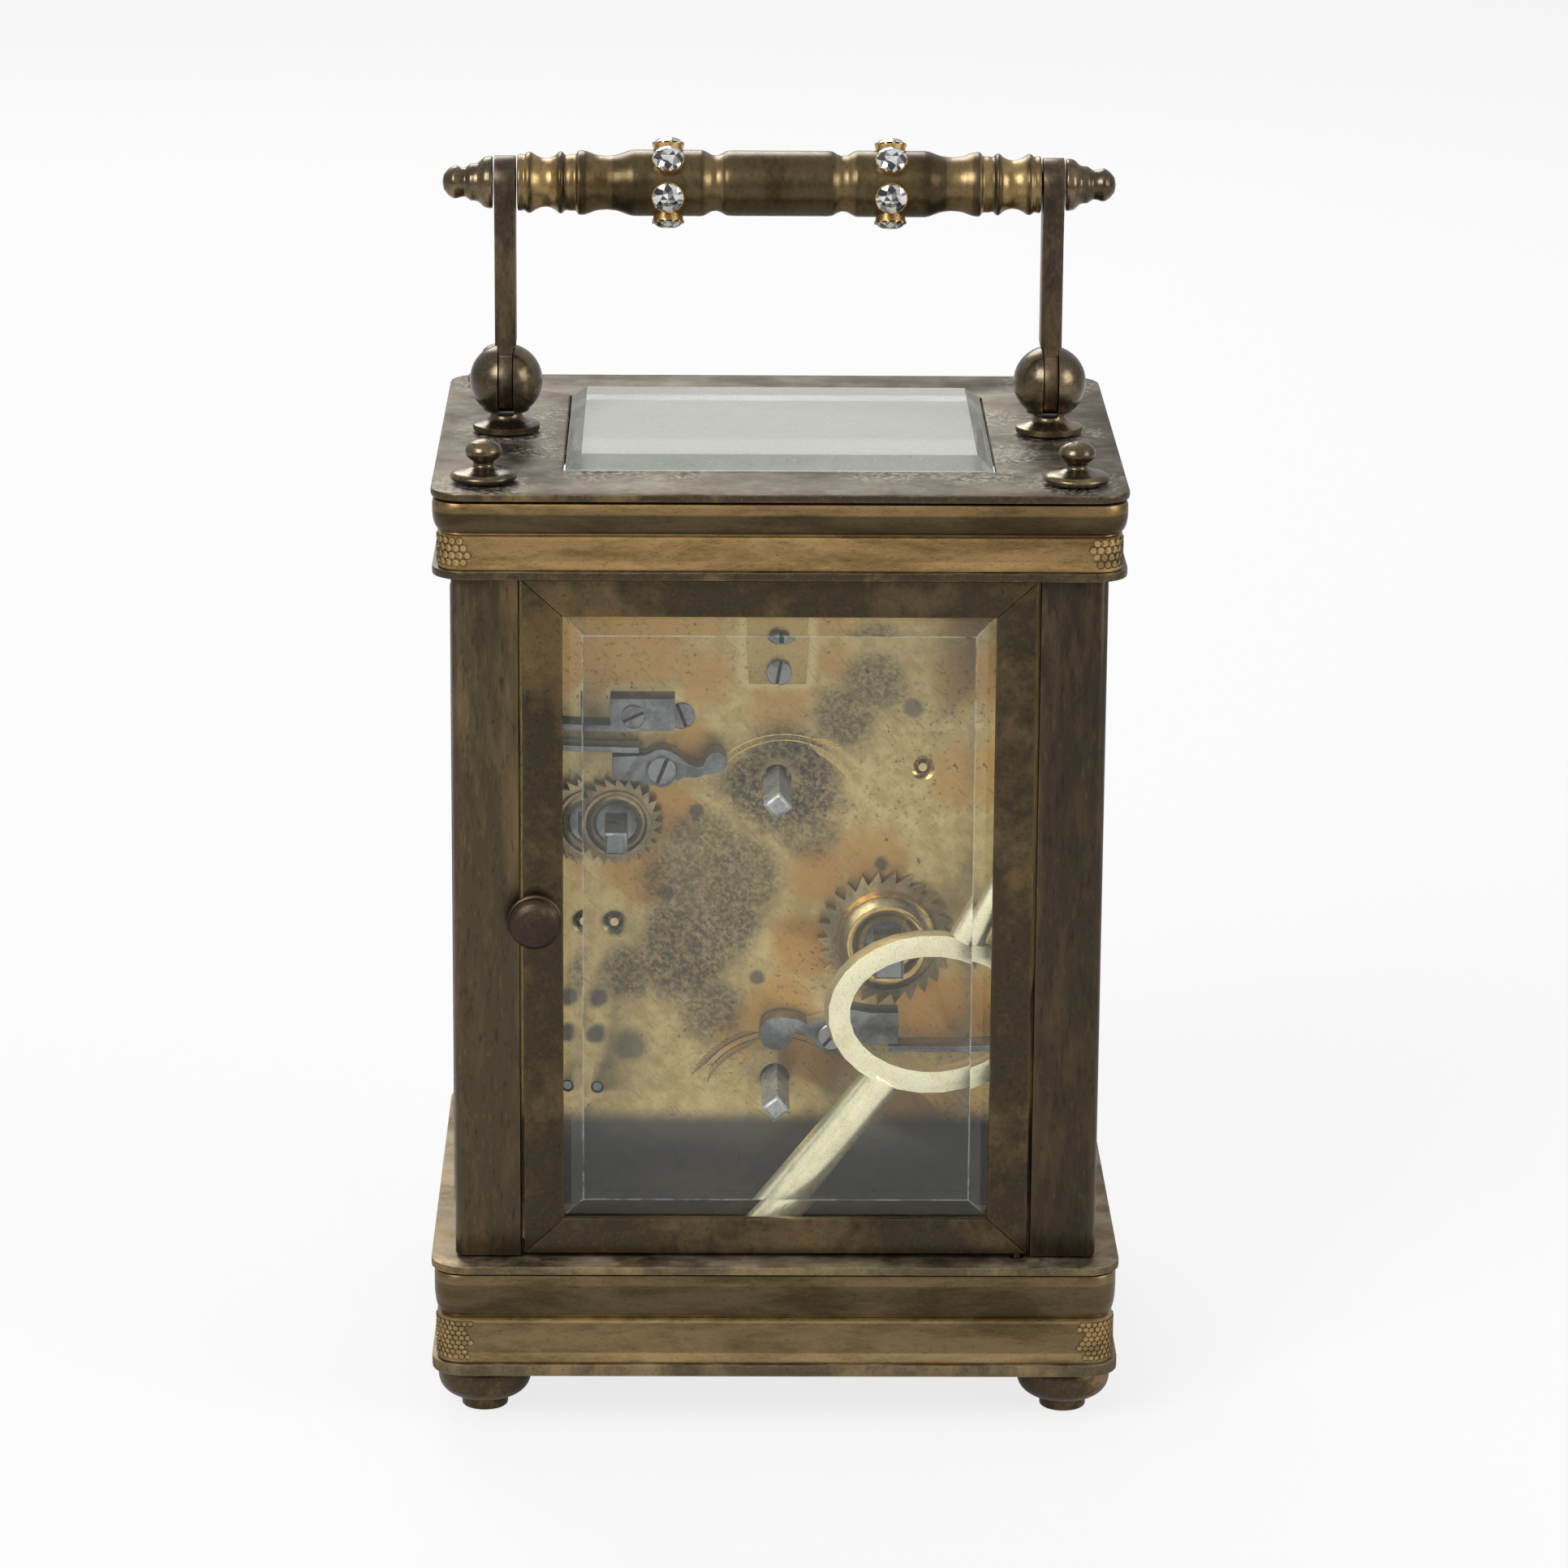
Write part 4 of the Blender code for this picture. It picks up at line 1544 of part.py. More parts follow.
def cock_arm(name, foot_x, hole_x, low, high, width):
    """A cock: a foot on the platform and an arm out over a pivot."""
    reach = 1.3 * mm if hole_x > foot_x else -1.3 * mm
    ends = sorted((foot_x - math.copysign(1.8 * mm, reach), hole_x + reach))
    outline = [(ends[0], -width / 2), (ends[1], -width / 2), (ends[1], width / 2), (ends[0], width / 2)]
    arm_piece = solid(
        flat(
            name, [outline, circle(PIVOT_RADIUS * 0.7 + TURN_GAP, (hole_x, 0), 10)], high - low, None,
            (0, ESCAPE_Y, (low + high) / 2), "z",
        )
    )
    foot_piece = rod(
        name + "_foot", (foot_x, ESCAPE_Y, PLATFORM_TOP - 0.5 * mm), (foot_x, ESCAPE_Y, (low + high) / 2),
        1.5 * mm, None,
    )
    boolean(platform, foot_piece, "UNION")
    boolean(platform, arm_piece, "UNION")


cock_arm(
    "escape_cock", ESCAPE_X - ESCAPE_RADIUS - 2.6 * mm, ESCAPE_X, ESCAPE_COCK_LOW, ESCAPE_COCK_HIGH,
    2.6 * mm,
)
cock_arm("balance_cock", COCK_FOOT_X, BALANCE_X, BALANCE_COCK_LOW, BALANCE_COCK_HIGH, 3.6 * mm)
POTENCE_ARM_HIGH = pinion_low - SEAT_GAP
POTENCE_ARM_LOW = POTENCE_ARM_HIGH - 0.9 * mm
potence_foot_y = ESCAPE_Y - 4.5 * mm
potence_arm = block(
    "potence_arm",
    (ESCAPE_X - 1.2 * mm, potence_foot_y - 1.2 * mm, POTENCE_ARM_LOW),
    (ESCAPE_X + 1.2 * mm, ESCAPE_Y + 0.5 * mm, POTENCE_ARM_HIGH),
    None,
)
potence_post = rod(
    "potence_post", (ESCAPE_X, potence_foot_y, POTENCE_ARM_LOW + 0.4 * mm),
    (ESCAPE_X, potence_foot_y, PLATFORM_LOW + 0.6 * mm), 1.1 * mm, None, 10,
)
boolean(platform, potence_post, "UNION")
boolean(platform, potence_arm, "UNION")

# Escape wheel above the platform, its pinion below it
escape_points = []
for tooth in range(ESCAPE_TEETH):
    angle = 2 * math.pi * tooth / ESCAPE_TEETH
    for radius, shift in ((ESCAPE_RADIUS, 0.0), (ESCAPE_RADIUS * 0.74, 0.05), (ESCAPE_RADIUS * 0.72, 0.30)):
        escape_points.append((radius * math.cos(angle + shift), radius * math.sin(angle + shift)))
escape = solid(
    flat("escape_wheel", [escape_points], 0.5 * mm, gilt_brass, (ESCAPE_X, ESCAPE_Y, ESCAPE_WHEEL_Z), "z")
)
escape_arbor = turned(
    "escape_arbor",
    [
        (0.0, ESCAPE_COCK_HIGH - 0.1 * mm), (PIVOT_RADIUS * 0.7, ESCAPE_COCK_HIGH - 0.1 * mm),
        (PIVOT_RADIUS * 0.7, ESCAPE_WHEEL_Z + 0.4 * mm), (ARBOR_RADIUS, ESCAPE_WHEEL_Z + 0.4 * mm),
        (ARBOR_RADIUS, pinion_low), (0.0, pinion_low),
    ],
    None, (ESCAPE_X, ESCAPE_Y, 0), steps=10,
)
boolean(escape, escape_arbor, "UNION")
escape_leaves = solid(
    flat(
        "escape_leaves", [toothed(ESCAPE_LEAVES, escape_pitch_radius, escape_phase)],
        pinion_high - pinion_low - 0.1 * mm, None,
        (ESCAPE_X, ESCAPE_Y, (pinion_low + pinion_high) / 2 + 0.05 * mm), "z",
    )
)
boolean(escape, escape_leaves, "UNION")

# Balance: rim on three spokes with its staff
balance = solid(
    flat(
        "balance_wheel",
        [circle(BALANCE_RADIUS, (0, 0), 36)]
        + spoke_windows(3, 1.4 * mm, BALANCE_RADIUS - BALANCE_RIM, 0.4, 7),
        BALANCE_THICKNESS, gilt_brass, (BALANCE_X, ESCAPE_Y, BALANCE_Z), "z",
    )
)
staff = turned(
    "balance_staff",
    [
        (0.0, BALANCE_COCK_HIGH - 0.2 * mm), (PIVOT_RADIUS * 0.7, BALANCE_COCK_HIGH - 0.2 * mm),
        (PIVOT_RADIUS * 0.7, BALANCE_COCK_LOW - 0.3 * mm), (STAFF_RADIUS, BALANCE_COCK_LOW - 0.3 * mm),
        (STAFF_RADIUS, PLATFORM_LOW + 0.2 * mm), (0.0, PLATFORM_LOW + 0.2 * mm),
    ],
    None, (BALANCE_X, ESCAPE_Y, 0), steps=10,
)
boolean(balance, staff, "UNION")


# Winding arbors: ratchet wheel and square behind the back plate, barrel arbor in front of it
def winding_arbor(name, place, radius, teeth, tooth_depth, slope, arbor_radius, square, tip, boss):
    ratchet_y = STEEL_Y + RATCHET_THICKNESS / 2
    wheel = solid(
        flat(
            name, [saw_toothed(teeth, radius, tooth_depth, slope)], RATCHET_THICKNESS, gilt_brass,
            (place[0], ratchet_y, place[1]),
        )
    )
    back = STEEL_Y + RATCHET_THICKNESS
    boss_radius, boss_height = boss
    boss_profile = [
        (STEEL_Y + 0.3 * mm, boss_radius),
        (back + boss_height * 0.75, boss_radius * 0.97),
        (back + boss_height, boss_radius * 0.82),
        (back + boss_height * 0.8, boss_radius * 0.70),
        (back + boss_height * 0.45, boss_radius * 0.66),
    ]
    boolean(wheel, arbor(name + "_boss", boss_profile, None, place, 20), "UNION")
    shaft = arbor(
        name + "_shaft",
        [(PIVOT_END, arbor_radius), (STEEL_Y + RATCHET_THICKNESS / 2, arbor_radius)], None, place, 16,
    )
    boolean(wheel, shaft, "UNION")
    return boolean(wheel, squared_tip(name + "_square", square / 2, back, tip, place), "UNION")


winding_arbor(
    "going_winding_arbor", GOING_ARBOR, GOING_RATCHET_RADIUS, GOING_RATCHET_TEETH,
    RATCHET_TOOTH_DEPTH * 1.2, 1,
    GOING_BARREL_ARBOR_RADIUS, WINDING_SQUARE, WINDING_SQUARE_TIP, (BOSS_RADIUS, BOSS_HEIGHT),
)
winding_arbor(
    "alarm_winding_arbor", ALARM_ARBOR, ALARM_RATCHET_RADIUS, ALARM_RATCHET_TEETH,
    RATCHET_TOOTH_DEPTH * 0.9, -1,
    ALARM_BARREL_ARBOR_RADIUS, ALARM_SQUARE, ALARM_SQUARE_TIP, (4.2 * mm, 0.7 * mm),
)

# Alarm wheel: turned by the alarm barrel, its pointed teeth kick the hammer's tail
alarm_wheel = solid(
    flat(
        "alarm_wheel",
        [saw_toothed(ALARM_ESCAPE_TEETH, ALARM_WHEEL_RADIUS, 1.8 * mm, 1)]
        + spoke_windows(3, 2.6 * mm, ALARM_WHEEL_RADIUS - 3.2 * mm),
        WHEEL_THICKNESS, gilt_brass, (ALARM_WHEEL_ARBOR[0], ALARM_WHEEL_Y, ALARM_WHEEL_ARBOR[1]),
    )
)
alarm_shaft = arbor("alarm_wheel_arbor", between_plates(THROUGH_END), None, ALARM_WHEEL_ARBOR, 10)
boolean(alarm_wheel, alarm_shaft, "UNION")
alarm_leaves = solid(
    flat(
        "alarm_leaves", [toothed(ALARM_LEAVES, *alarm_pinion)], ALARM_BARREL_RIM + 0.6 * mm, None,
        (ALARM_WHEEL_ARBOR[0], ALARM_BARREL_REAR + ALARM_BARREL_RIM / 2, ALARM_WHEEL_ARBOR[1]),
    )
)
boolean(alarm_wheel, alarm_leaves, "UNION")

# Alarm hammer: tail up to the alarm wheel, rod down through the base plate to the bell's rim
hammer = arbor(
    "alarm_hammer",
    [(PIVOT_END, PIVOT_RADIUS), (FRONT_SHOULDER, PIVOT_RADIUS), (FRONT_SHOULDER, ARBOR_RADIUS * 1.3),
     (BACK_SHOULDER, ARBOR_RADIUS * 1.3), (BACK_SHOULDER, PIVOT_RADIUS), (THROUGH_END, PIVOT_RADIUS)],
    grey_steel, HAMMER_ARBOR, 10,
)
hub = rod(
    "hammer_hub",
    (HAMMER_ARBOR[0], HAMMER_Y - 1.5 * mm, HAMMER_ARBOR[1]),
    (HAMMER_ARBOR[0], HAMMER_Y + 1.5 * mm, HAMMER_ARBOR[1]),
    2.0 * mm, None, 14,
)
shaft = rod(
    "hammer_rod", (HAMMER_HEAD_X, HAMMER_Y, HAMMER_HEAD_Z),
    (HAMMER_ARBOR[0], HAMMER_Y, HAMMER_ARBOR[1]), HAMMER_ROD_RADIUS, None, 10,
)
head = rod(
    "hammer_head",
    (HAMMER_HEAD_X - HAMMER_HEAD_RADIUS, HAMMER_Y, HAMMER_HEAD_Z),
    (HAMMER_HEAD_X + HAMMER_HEAD_RADIUS, HAMMER_Y, HAMMER_HEAD_Z),
    HAMMER_HEAD_RADIUS * 0.8, None, 14,
)
tail_x = ALARM_WHEEL_ARBOR[0] + 1.2 * mm
tail_z = ALARM_WHEEL_ARBOR[1] - ALARM_WHEEL_RADIUS - TAIL_GAP
tail = rod(
    "hammer_tail", (HAMMER_ARBOR[0], HAMMER_Y, HAMMER_ARBOR[1]), (tail_x, HAMMER_Y, tail_z),
    0.8 * mm, None, 8, 0.5 * mm,
)
for piece in (hub, shaft, head, tail):
    boolean(hammer, piece, "UNION")
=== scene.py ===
import math

import bmesh
import bpy
from mathutils import Matrix, Vector


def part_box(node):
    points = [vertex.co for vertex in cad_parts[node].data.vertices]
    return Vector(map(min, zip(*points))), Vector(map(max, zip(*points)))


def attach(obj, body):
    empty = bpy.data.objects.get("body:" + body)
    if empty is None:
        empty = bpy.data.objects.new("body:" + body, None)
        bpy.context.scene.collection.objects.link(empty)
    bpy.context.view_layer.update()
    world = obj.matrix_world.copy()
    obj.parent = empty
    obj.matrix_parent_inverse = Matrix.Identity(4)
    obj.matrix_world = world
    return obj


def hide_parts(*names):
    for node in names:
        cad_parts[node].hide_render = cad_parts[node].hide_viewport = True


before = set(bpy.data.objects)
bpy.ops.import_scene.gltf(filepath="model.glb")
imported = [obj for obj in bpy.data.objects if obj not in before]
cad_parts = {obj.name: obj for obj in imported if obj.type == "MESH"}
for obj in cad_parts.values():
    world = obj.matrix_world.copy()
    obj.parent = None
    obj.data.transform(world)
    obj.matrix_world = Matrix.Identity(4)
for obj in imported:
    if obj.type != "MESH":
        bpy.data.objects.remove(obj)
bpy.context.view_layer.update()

# Feet: four turned brass buns, each on a smaller pad and screwed up into the base.
# They are lathe work, dark with age, with the brass showing where they are handled.
mm = 0.001
FOOT_PROFILE = [
    (0.0, 7.3), (4.2, 7.3), (4.6, 6.9), (5.5, 6.5), (6.05, 5.8), (6.25, 4.9), (6.2, 4.0), (5.9, 3.1),
    (5.3, 2.4), (4.5, 1.9), (3.8, 1.65), (3.1, 1.5), (3.1, 0.0), (0.0, 0.0),
]


def softened(points, reach, steps=3):
    """The same line of points with each inner corner rounded off."""
    made = [Vector(points[0])]
    for before, corner, after in zip(points, points[1:], points[2:]):
        a, b, c = Vector(before), Vector(corner), Vector(after)
        start = b + (a - b).normalized() * min(reach, (a - b).length * 0.45)
        end = b + (c - b).normalized() * min(reach, (c - b).length * 0.45)
        for step in range(steps + 1):
            t = step / steps
            made.append(start * (1 - t) ** 2 + b * 2 * t * (1 - t) + end * t * t)
    return made + [Vector(points[-1])]


AXIS_TURN = {
    "X": Matrix.Rotation(math.pi / 2, 4, "Y"),
    "Y": Matrix.Rotation(-math.pi / 2, 4, "X"),
    "Z": Matrix.Identity(4),
}


def lathe(profile, at, axis="Z", steps=64, closed=False):
    """A piece turned from (radius, height) points in millimetres, standing along an axis."""
    work = bmesh.new()
    corners = [work.verts.new((r * mm, 0.0, h * mm)) for r, h in profile]
    pairs = list(zip(corners, corners[1:])) + ([(corners[-1], corners[0])] if closed else [])
    edges = [work.edges.new(pair) for pair in pairs]
    bmesh.ops.spin(
        work, geom=corners + edges, cent=(0, 0, 0), axis=(0, 0, 1), angle=2 * math.pi, steps=steps, use_merge=True
    )
    bmesh.ops.remove_doubles(work, verts=work.verts, dist=0.001 * mm)
    outward(work)
    bmesh.ops.transform(work, matrix=Matrix.Translation(at) @ AXIS_TURN[axis], verts=work.verts)
    return work


def meshed(name, work):
    """The bmesh as a mesh for an object."""
    mesh = bpy.data.meshes.new(name)
    work.to_mesh(mesh)
    work.free()
    return mesh


def placed(name, data):
    """A new object in the scene."""
    thing = bpy.data.objects.new(name, data)
    bpy.context.scene.collection.objects.link(thing)
    return thing


def fit(work, name, material, body, stands_for=(), crease=30, others=(), choose=None):
    """Makes the bmesh an object of the clock: smooth but for its creases, riding on its body."""
    for edge in work.edges:
        edge.smooth = len(edge.link_faces) == 2 and edge.calc_face_angle(0.0) < math.radians(crease)
    for face in work.faces:
        face.smooth = True
        if choose:
            face.material_index = choose(face.calc_center_median() / mm)
    mesh = meshed(name, work)
    for finish in (material, *others):
        mesh.materials.append(finish)
    piece = placed(name, mesh)
    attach(piece, body)
    if stands_for:
        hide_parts(*stands_for)
    return piece


def outward(work, towards=None):
    """Turns the faces outward, or each face of a flat sheet towards one side."""
    bmesh.ops.recalc_face_normals(work, faces=work.faces)
    for face in work.faces if towards else ():
        if face.normal.dot(towards) < 0:
            face.normal_flip()


def put(tree, kind, settings=None, **sockets):
    """Adds a shader node with its settings and what goes into its sockets."""
    node = tree.nodes.new("ShaderNode" + kind)
    for key, value in (settings or {}).items():
        setattr(node, key, value)
    for key, value in sockets.items():
        socket = node.inputs[int(key[1:])] if key[1:].isdigit() else node.inputs[key.replace("_", " ")]
        if isinstance(value, bpy.types.NodeSocket):
            tree.links.new(value, socket)
        else:
            socket.default_value = value
    return node


def tree_of(*values):
    """The node tree that the first socket among the values belongs to."""
    return next(value.id_data for value in values if isinstance(value, bpy.types.NodeSocket))


def maths(operation, first, second=0.0, clamp=False):
    settings = {"operation": operation, "use_clamp": clamp}
    return put(tree_of(first, second), "Math", settings, i0=first, i1=second).outputs[0]


def plus(first, second, clamp=False):
    return maths("ADD", first, second, clamp)


def minus(first, second, clamp=False):
    return maths("SUBTRACT", first, second, clamp)


def times(first, second, clamp=False):
    return maths("MULTIPLY", first, second, clamp)


def most(first, second):
    return maths("MAXIMUM", first, second)


def apart(vector):
    """The x, y and z of a vector."""
    return put(tree_of(vector), "SeparateXYZ", Vector=vector).outputs


def distance(first, second):
    return put(tree_of(first), "VectorMath", {"operation": "DISTANCE"}, i0=first, i1=second).outputs["Value"]


def tinted(share, first, second, how="MIX"):
    settings = {"data_type": "RGBA", "blend_type": how, "clamp_factor": True}
    return put(tree_of(share, first, second), "Mix", settings, i0=share, i6=first, i7=second).outputs[2]


def graded(value, low, high, to_low=0.0, to_high=1.0):
    """The value eased from one range into another."""
    return put(
        tree_of(value), "MapRange", {"interpolation_type": "SMOOTHSTEP"},
        Value=value, From_Min=low, From_Max=high, To_Min=to_low, To_Max=to_high,
    ).outputs[0]


def noise(vector, scale, detail=4.0, roughness=0.6, distortion=0.0):
    return put(
        tree_of(vector), "TexNoise", Vector=vector, Scale=scale, Detail=detail, Roughness=roughness,
        Distortion=distortion,
    ).outputs[0]


def shader_group(name, inputs, outputs):
    """A node group with named inputs, given as (name, kind, value), and named outputs."""
    tree = bpy.data.node_groups.new(name, "ShaderNodeTree")
    for title, kind, value in inputs:
        socket = tree.interface.new_socket(name=title, in_out="INPUT", socket_type="NodeSocket" + kind)
        if value is not None:
            socket.default_value = value
    for title, kind in outputs:
        tree.interface.new_socket(name=title, in_out="OUTPUT", socket_type="NodeSocket" + kind)
    return tree, tree.nodes.new("NodeGroupInput").outputs, tree.nodes.new("NodeGroupOutput")


# patina: two metals showing through each other in clouds, grain and specks
patina, given, result = shader_group(
    "patina",
    [
        ("Vector", "Vector", None), ("Dark", "Color", (0.1, 0.08, 0.05, 1)), ("Rubbed", "Color", (0.3, 0.2, 0.1, 1)),
        ("Rub", "Float", 0.3), ("Scale", "Float", 60.0), ("Roughness", "Float", 0.4),
    ],
    [("Colour", "Color"), ("Roughness", "Float"), ("Height", "Float")],
)
cloud = noise(given["Vector"], given["Scale"], 6.0, 0.62, 0.4)
grain = noise(given["Vector"], times(given["Scale"], 9.0), 6.0, 0.7)
speck = noise(given["Vector"], times(given["Scale"], 30.0), 3.0, 0.6)
edge = minus(0.80, times(given["Rub"], 0.6))
shown = graded(cloud, minus(edge, 0.14), plus(edge, 0.14))
shown = plus(shown, times(minus(grain, 0.5), 1.3), True)
mixed = tinted(shown, given["Dark"], given["Rubbed"])
spots = graded(speck, 0.56, 0.68)
mixed = tinted(times(spots, 0.4), mixed, (0.02, 0.016, 0.012, 1))
glints = graded(speck, 0.42, 0.28)
mixed = tinted(times(glints, 0.35), mixed, given["Rubbed"])
rough = plus(given["Roughness"], times(minus(grain, 0.5), 0.35), True)
mixed = tinted(1.0, mixed, (0.88, 0.88, 0.88, 1), "MULTIPLY")
patina.links.new(mixed, result.inputs["Colour"])
patina.links.new(rough, result.inputs["Roughness"])
patina.links.new(plus(grain, times(spots, -0.5)), result.inputs["Height"])

# edge wear and highlight: a mask that is bright where the surface turns sharply, broken up by noise; worn edges on the
# metals, a painted highlight on the glass arrises
edge_wear_and_highlight, given, result = shader_group(
    "edge_wear_and_highlight",
    [("Vector", "Vector", None), ("Amount", "Float", 0.5), ("Width", "Float", 0.0005), ("Full", "Float", 0.80)],
    [("Mask", "Float")],
)
turning = put(edge_wear_and_highlight, "Bevel", {"samples": 4}, Radius=given["Width"]).outputs[0]
straight = edge_wear_and_highlight.nodes.new("ShaderNodeNewGeometry").outputs["Normal"]
flatness = put(edge_wear_and_highlight, "VectorMath", {"operation": "DOT_PRODUCT"}, i0=turning, i1=straight).outputs["Value"]
bend = graded(flatness, 0.997, given["Full"])
broken = graded(noise(given["Vector"], 420.0, 5.0, 0.7), 0.35, 0.62)
worn = times(times(bend, broken), given["Amount"], True)
edge_wear_and_highlight.links.new(worn, result.inputs["Mask"])

# dust: a mask on faces that look up, thicker in drifts
dust, given, result = shader_group(
    "dust", [("Vector", "Vector", None), ("Up", "Vector", None), ("Amount", "Float", 0.3)], [("Mask", "Float")]
)
upward = apart(given["Up"])[2]
drift = graded(noise(given["Vector"], 140.0, 7.0, 0.72), 0.35, 0.75)
lying = times(graded(upward, 0.3, 0.95), drift)
dust.links.new(times(lying, given["Amount"], True), result.inputs["Mask"])


def grouped(tree, group, **sockets):
    return put(tree, "Group", {"node_tree": group}, **sockets).outputs


def fine_bump(height, strength=0.12):
    return put(tree_of(height), "Bump", Strength=strength, Distance=0.0001, Height=height).outputs[0]


def new_material(name):
    """A material with nothing but its output, its tree, and the coordinates of its piece."""
    material = bpy.data.materials.new(name)
    material.use_nodes = True
    tree = material.node_tree
    for node in list(tree.nodes):
        if node.type != "OUTPUT_MATERIAL":
            tree.nodes.remove(node)
    return material, tree, tree.nodes.new("ShaderNodeTexCoord").outputs


def surface_of(tree, shader):
    """Joins a shader to its material's output."""
    tree.links.new(shader.outputs[0], tree.nodes["Material Output"].inputs[0])


def principled(tree, **sockets):
    surface_of(tree, put(tree, "BsdfPrincipled", **sockets))


DUST_COLOUR, DRIFT_COLOUR = (0.32, 0.285, 0.23, 1), (0.46, 0.42, 0.35, 1)


def tarnished(
    name, dark, rubbed, rub, scale=60.0, roughness=0.42, grain=(1, 1, 1), wear=0.5, dusty=0.25, width=0.5,
    metallic=0.92, drifts=(), edge=(1, 1, 1),
):
    """Brass or steel with a patina, bright edges and a little dust, thicker round some places."""
    material, tree, place = new_material(name)
    here = place["Object"]
    drawn = put(tree, "Mapping", Vector=here, Scale=grain).outputs[0]
    old = grouped(
        tree, patina, Vector=drawn, Dark=(*dark, 1), Rubbed=(*rubbed, 1), Rub=rub, Scale=scale, Roughness=roughness
    )
    edges = grouped(tree, edge_wear_and_highlight, Vector=here, Amount=wear, Width=width * mm)["Mask"]
    bright = tuple(min(1.0, c * 1.35) for c in rubbed)
    colour = tinted(edges, old["Colour"], (*bright, 1))
    lying = grouped(tree, dust, Vector=here, Up=place["Normal"], Amount=dusty)["Mask"]
    if drifts:
        specks = graded(noise(here, 1400.0, 5.0, 0.8), 0.48, 0.58)
        swirl = noise(here, 90.0, 4.0)
        near = 0.0
        for spot, reach in drifts:
            share = minus(plus(0.5, swirl), maths("DIVIDE", distance(here, spot), reach * mm))
            near = most(near, graded(share, 0.0, 0.6))
        lying = most(lying, times(times(near, specks), 0.65))
    colour = tinted(lying, colour, DRIFT_COLOUR if drifts else DUST_COLOUR)
    principled(
        tree, Base_Color=colour, Roughness=plus(old["Roughness"], times(lying, 0.35), True),
        Metallic=minus(metallic, times(lying, 0.8), True), Specular_Tint=(*edge, 1),
        Normal=fine_bump(old["Height"]),
    )
    return material


def middle_of(node):
    """The middle of a CAD node's box, with its lowest z."""
    low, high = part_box(node)
    return (low.x + high.x) / 2, (low.y + high.y) / 2, low.z


turned_brass = tarnished("turned_brass", (0.085, 0.064, 0.040), (0.30, 0.19, 0.09), 0.30, 150.0, 0.36)
CASE_CORNERS = [f"{end}_{hand}" for end in ("front", "back") for hand in ("left", "right")]
for corner in CASE_CORNERS:
    node = "foot_" + corner
    spot = (*middle_of(node)[:2], 0.0)
    fit(lathe(softened(FOOT_PROFILE, 0.35), spot), node + "_turned", turned_brass, "case", [node])

# Base and cornice plates: thin rolled sheets with rounded corners that close the mouldings.
# Their lips stand a little proud and have worn round.


def round_rectangle(half_x, half_y, radius, steps=10, middle=(0.0, 0.0)):
    """Points in millimetres round a rectangle with arcs for corners."""
    radius = max(radius, 0.01)
    points = []
    for quarter, (side_x, side_y) in enumerate(((1, 1), (-1, 1), (-1, -1), (1, -1))):
        for step in range(steps + 1):
            angle = math.pi / 2 * (quarter + step / steps)
            x = side_x * (half_x - radius) + radius * math.cos(angle)
            y = side_y * (half_y - radius) + radius * math.sin(angle)
            points.append((middle[0] + x, middle[1] + y))
    return points


def eased(node, ease, segments=2, crease=35.0):
    """A welded copy of a CAD node's mesh with its sharp edges eased."""
    work = bmesh.new()
    work.from_mesh(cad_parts[node].data)
    bmesh.ops.remove_doubles(work, verts=work.verts, dist=0.002 * mm)
    bmesh.ops.dissolve_limit(work, angle_limit=math.radians(1.0), verts=work.verts, edges=work.edges)
    sharp = [e for e in work.edges if len(e.link_faces) == 2 and e.calc_face_angle(0.0) > math.radians(crease)]
    if ease:
        bmesh.ops.bevel(
            work, geom=sharp, offset=ease * mm, offset_type="OFFSET", segments=segments, profile=0.5,
            affect="EDGES", clamp_overlap=True, material=-1,
        )
    return work


plate_brass = tarnished(
    "plate_brass", (0.068, 0.053, 0.032), (0.25, 0.17, 0.08), 0.26, 75.0, 0.38, wear=0.7, dusty=0.35, width=0.4
)
base_brass = tarnished(
    "base_brass", (0.13, 0.102, 0.062), (0.33, 0.24, 0.125), 0.42, 75.0, 0.38, wear=0.7, dusty=0.60, width=0.4,
    edge=(0.62, 0.57, 0.50),
)
drifts = [(middle_of(node), 10.0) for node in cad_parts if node.startswith(("finial_", "handle_post_"))]
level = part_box("handle_post_right")[0].z
for x, y in ((28.0, -10.0), (28.0, 12.0), (14.0, 24.5), (24.0, 24.5)):
    drifts += [((-x * mm, y * mm, level), 9.0), ((x * mm, y * mm, level), 9.0)]
top_brass = tarnished(
    "top_brass", (0.050, 0.042, 0.030), (0.095, 0.078, 0.052), 0.40, 60.0, 0.40, wear=0.8, dusty=0.30, width=0.4,
    drifts=drifts, edge=(0.80, 0.76, 0.71),
)
RIM_DROP = 0.12
for node, finish, rim in (
    ("base_bottom_plate", base_brass, base_brass), ("base_top_plate", base_brass, base_brass),
    ("cornice_bottom_plate", plate_brass, plate_brass), ("top_plate", top_brass, plate_brass),
):
    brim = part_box(node)[1].z / mm - RIM_DROP
    below_brim = lambda spot: int(spot.z < brim)
    fit(eased(node, 0.28), node + "_rolled", finish, "case", [node], others=[rim], choose=below_brim)

# Mouldings of base and cornice: drawn brass strip, mitred and soldered round, a plain band under
# an ovolo. The bands are rubbed golden and their rounded corners are chased in a honeycomb.


def swept_round(half_x, half_y, corner, section, steps=10):
    """A closed section of (inset, height) points swept round a rectangle with rounded corners."""
    work = bmesh.new()
    loops = []
    rings = [round_rectangle(half_x - d, half_y - d, max(corner - d, 0.05), steps) for d, z in section]
    for station in zip(*rings):
        spots = [work.verts.new((x * mm, y * mm, z * mm)) for (x, y), (d, z) in zip(station, section)]
        loops.append([work.edges.new(pair) for pair in zip(spots, spots[1:] + spots[:1])])
    for first, second in zip(loops, loops[1:] + loops[:1]):
        bmesh.ops.bridge_loops(work, edges=first + second)
    bmesh.ops.remove_doubles(work, verts=work.verts, dist=0.001 * mm)
    outward(work)
    return work


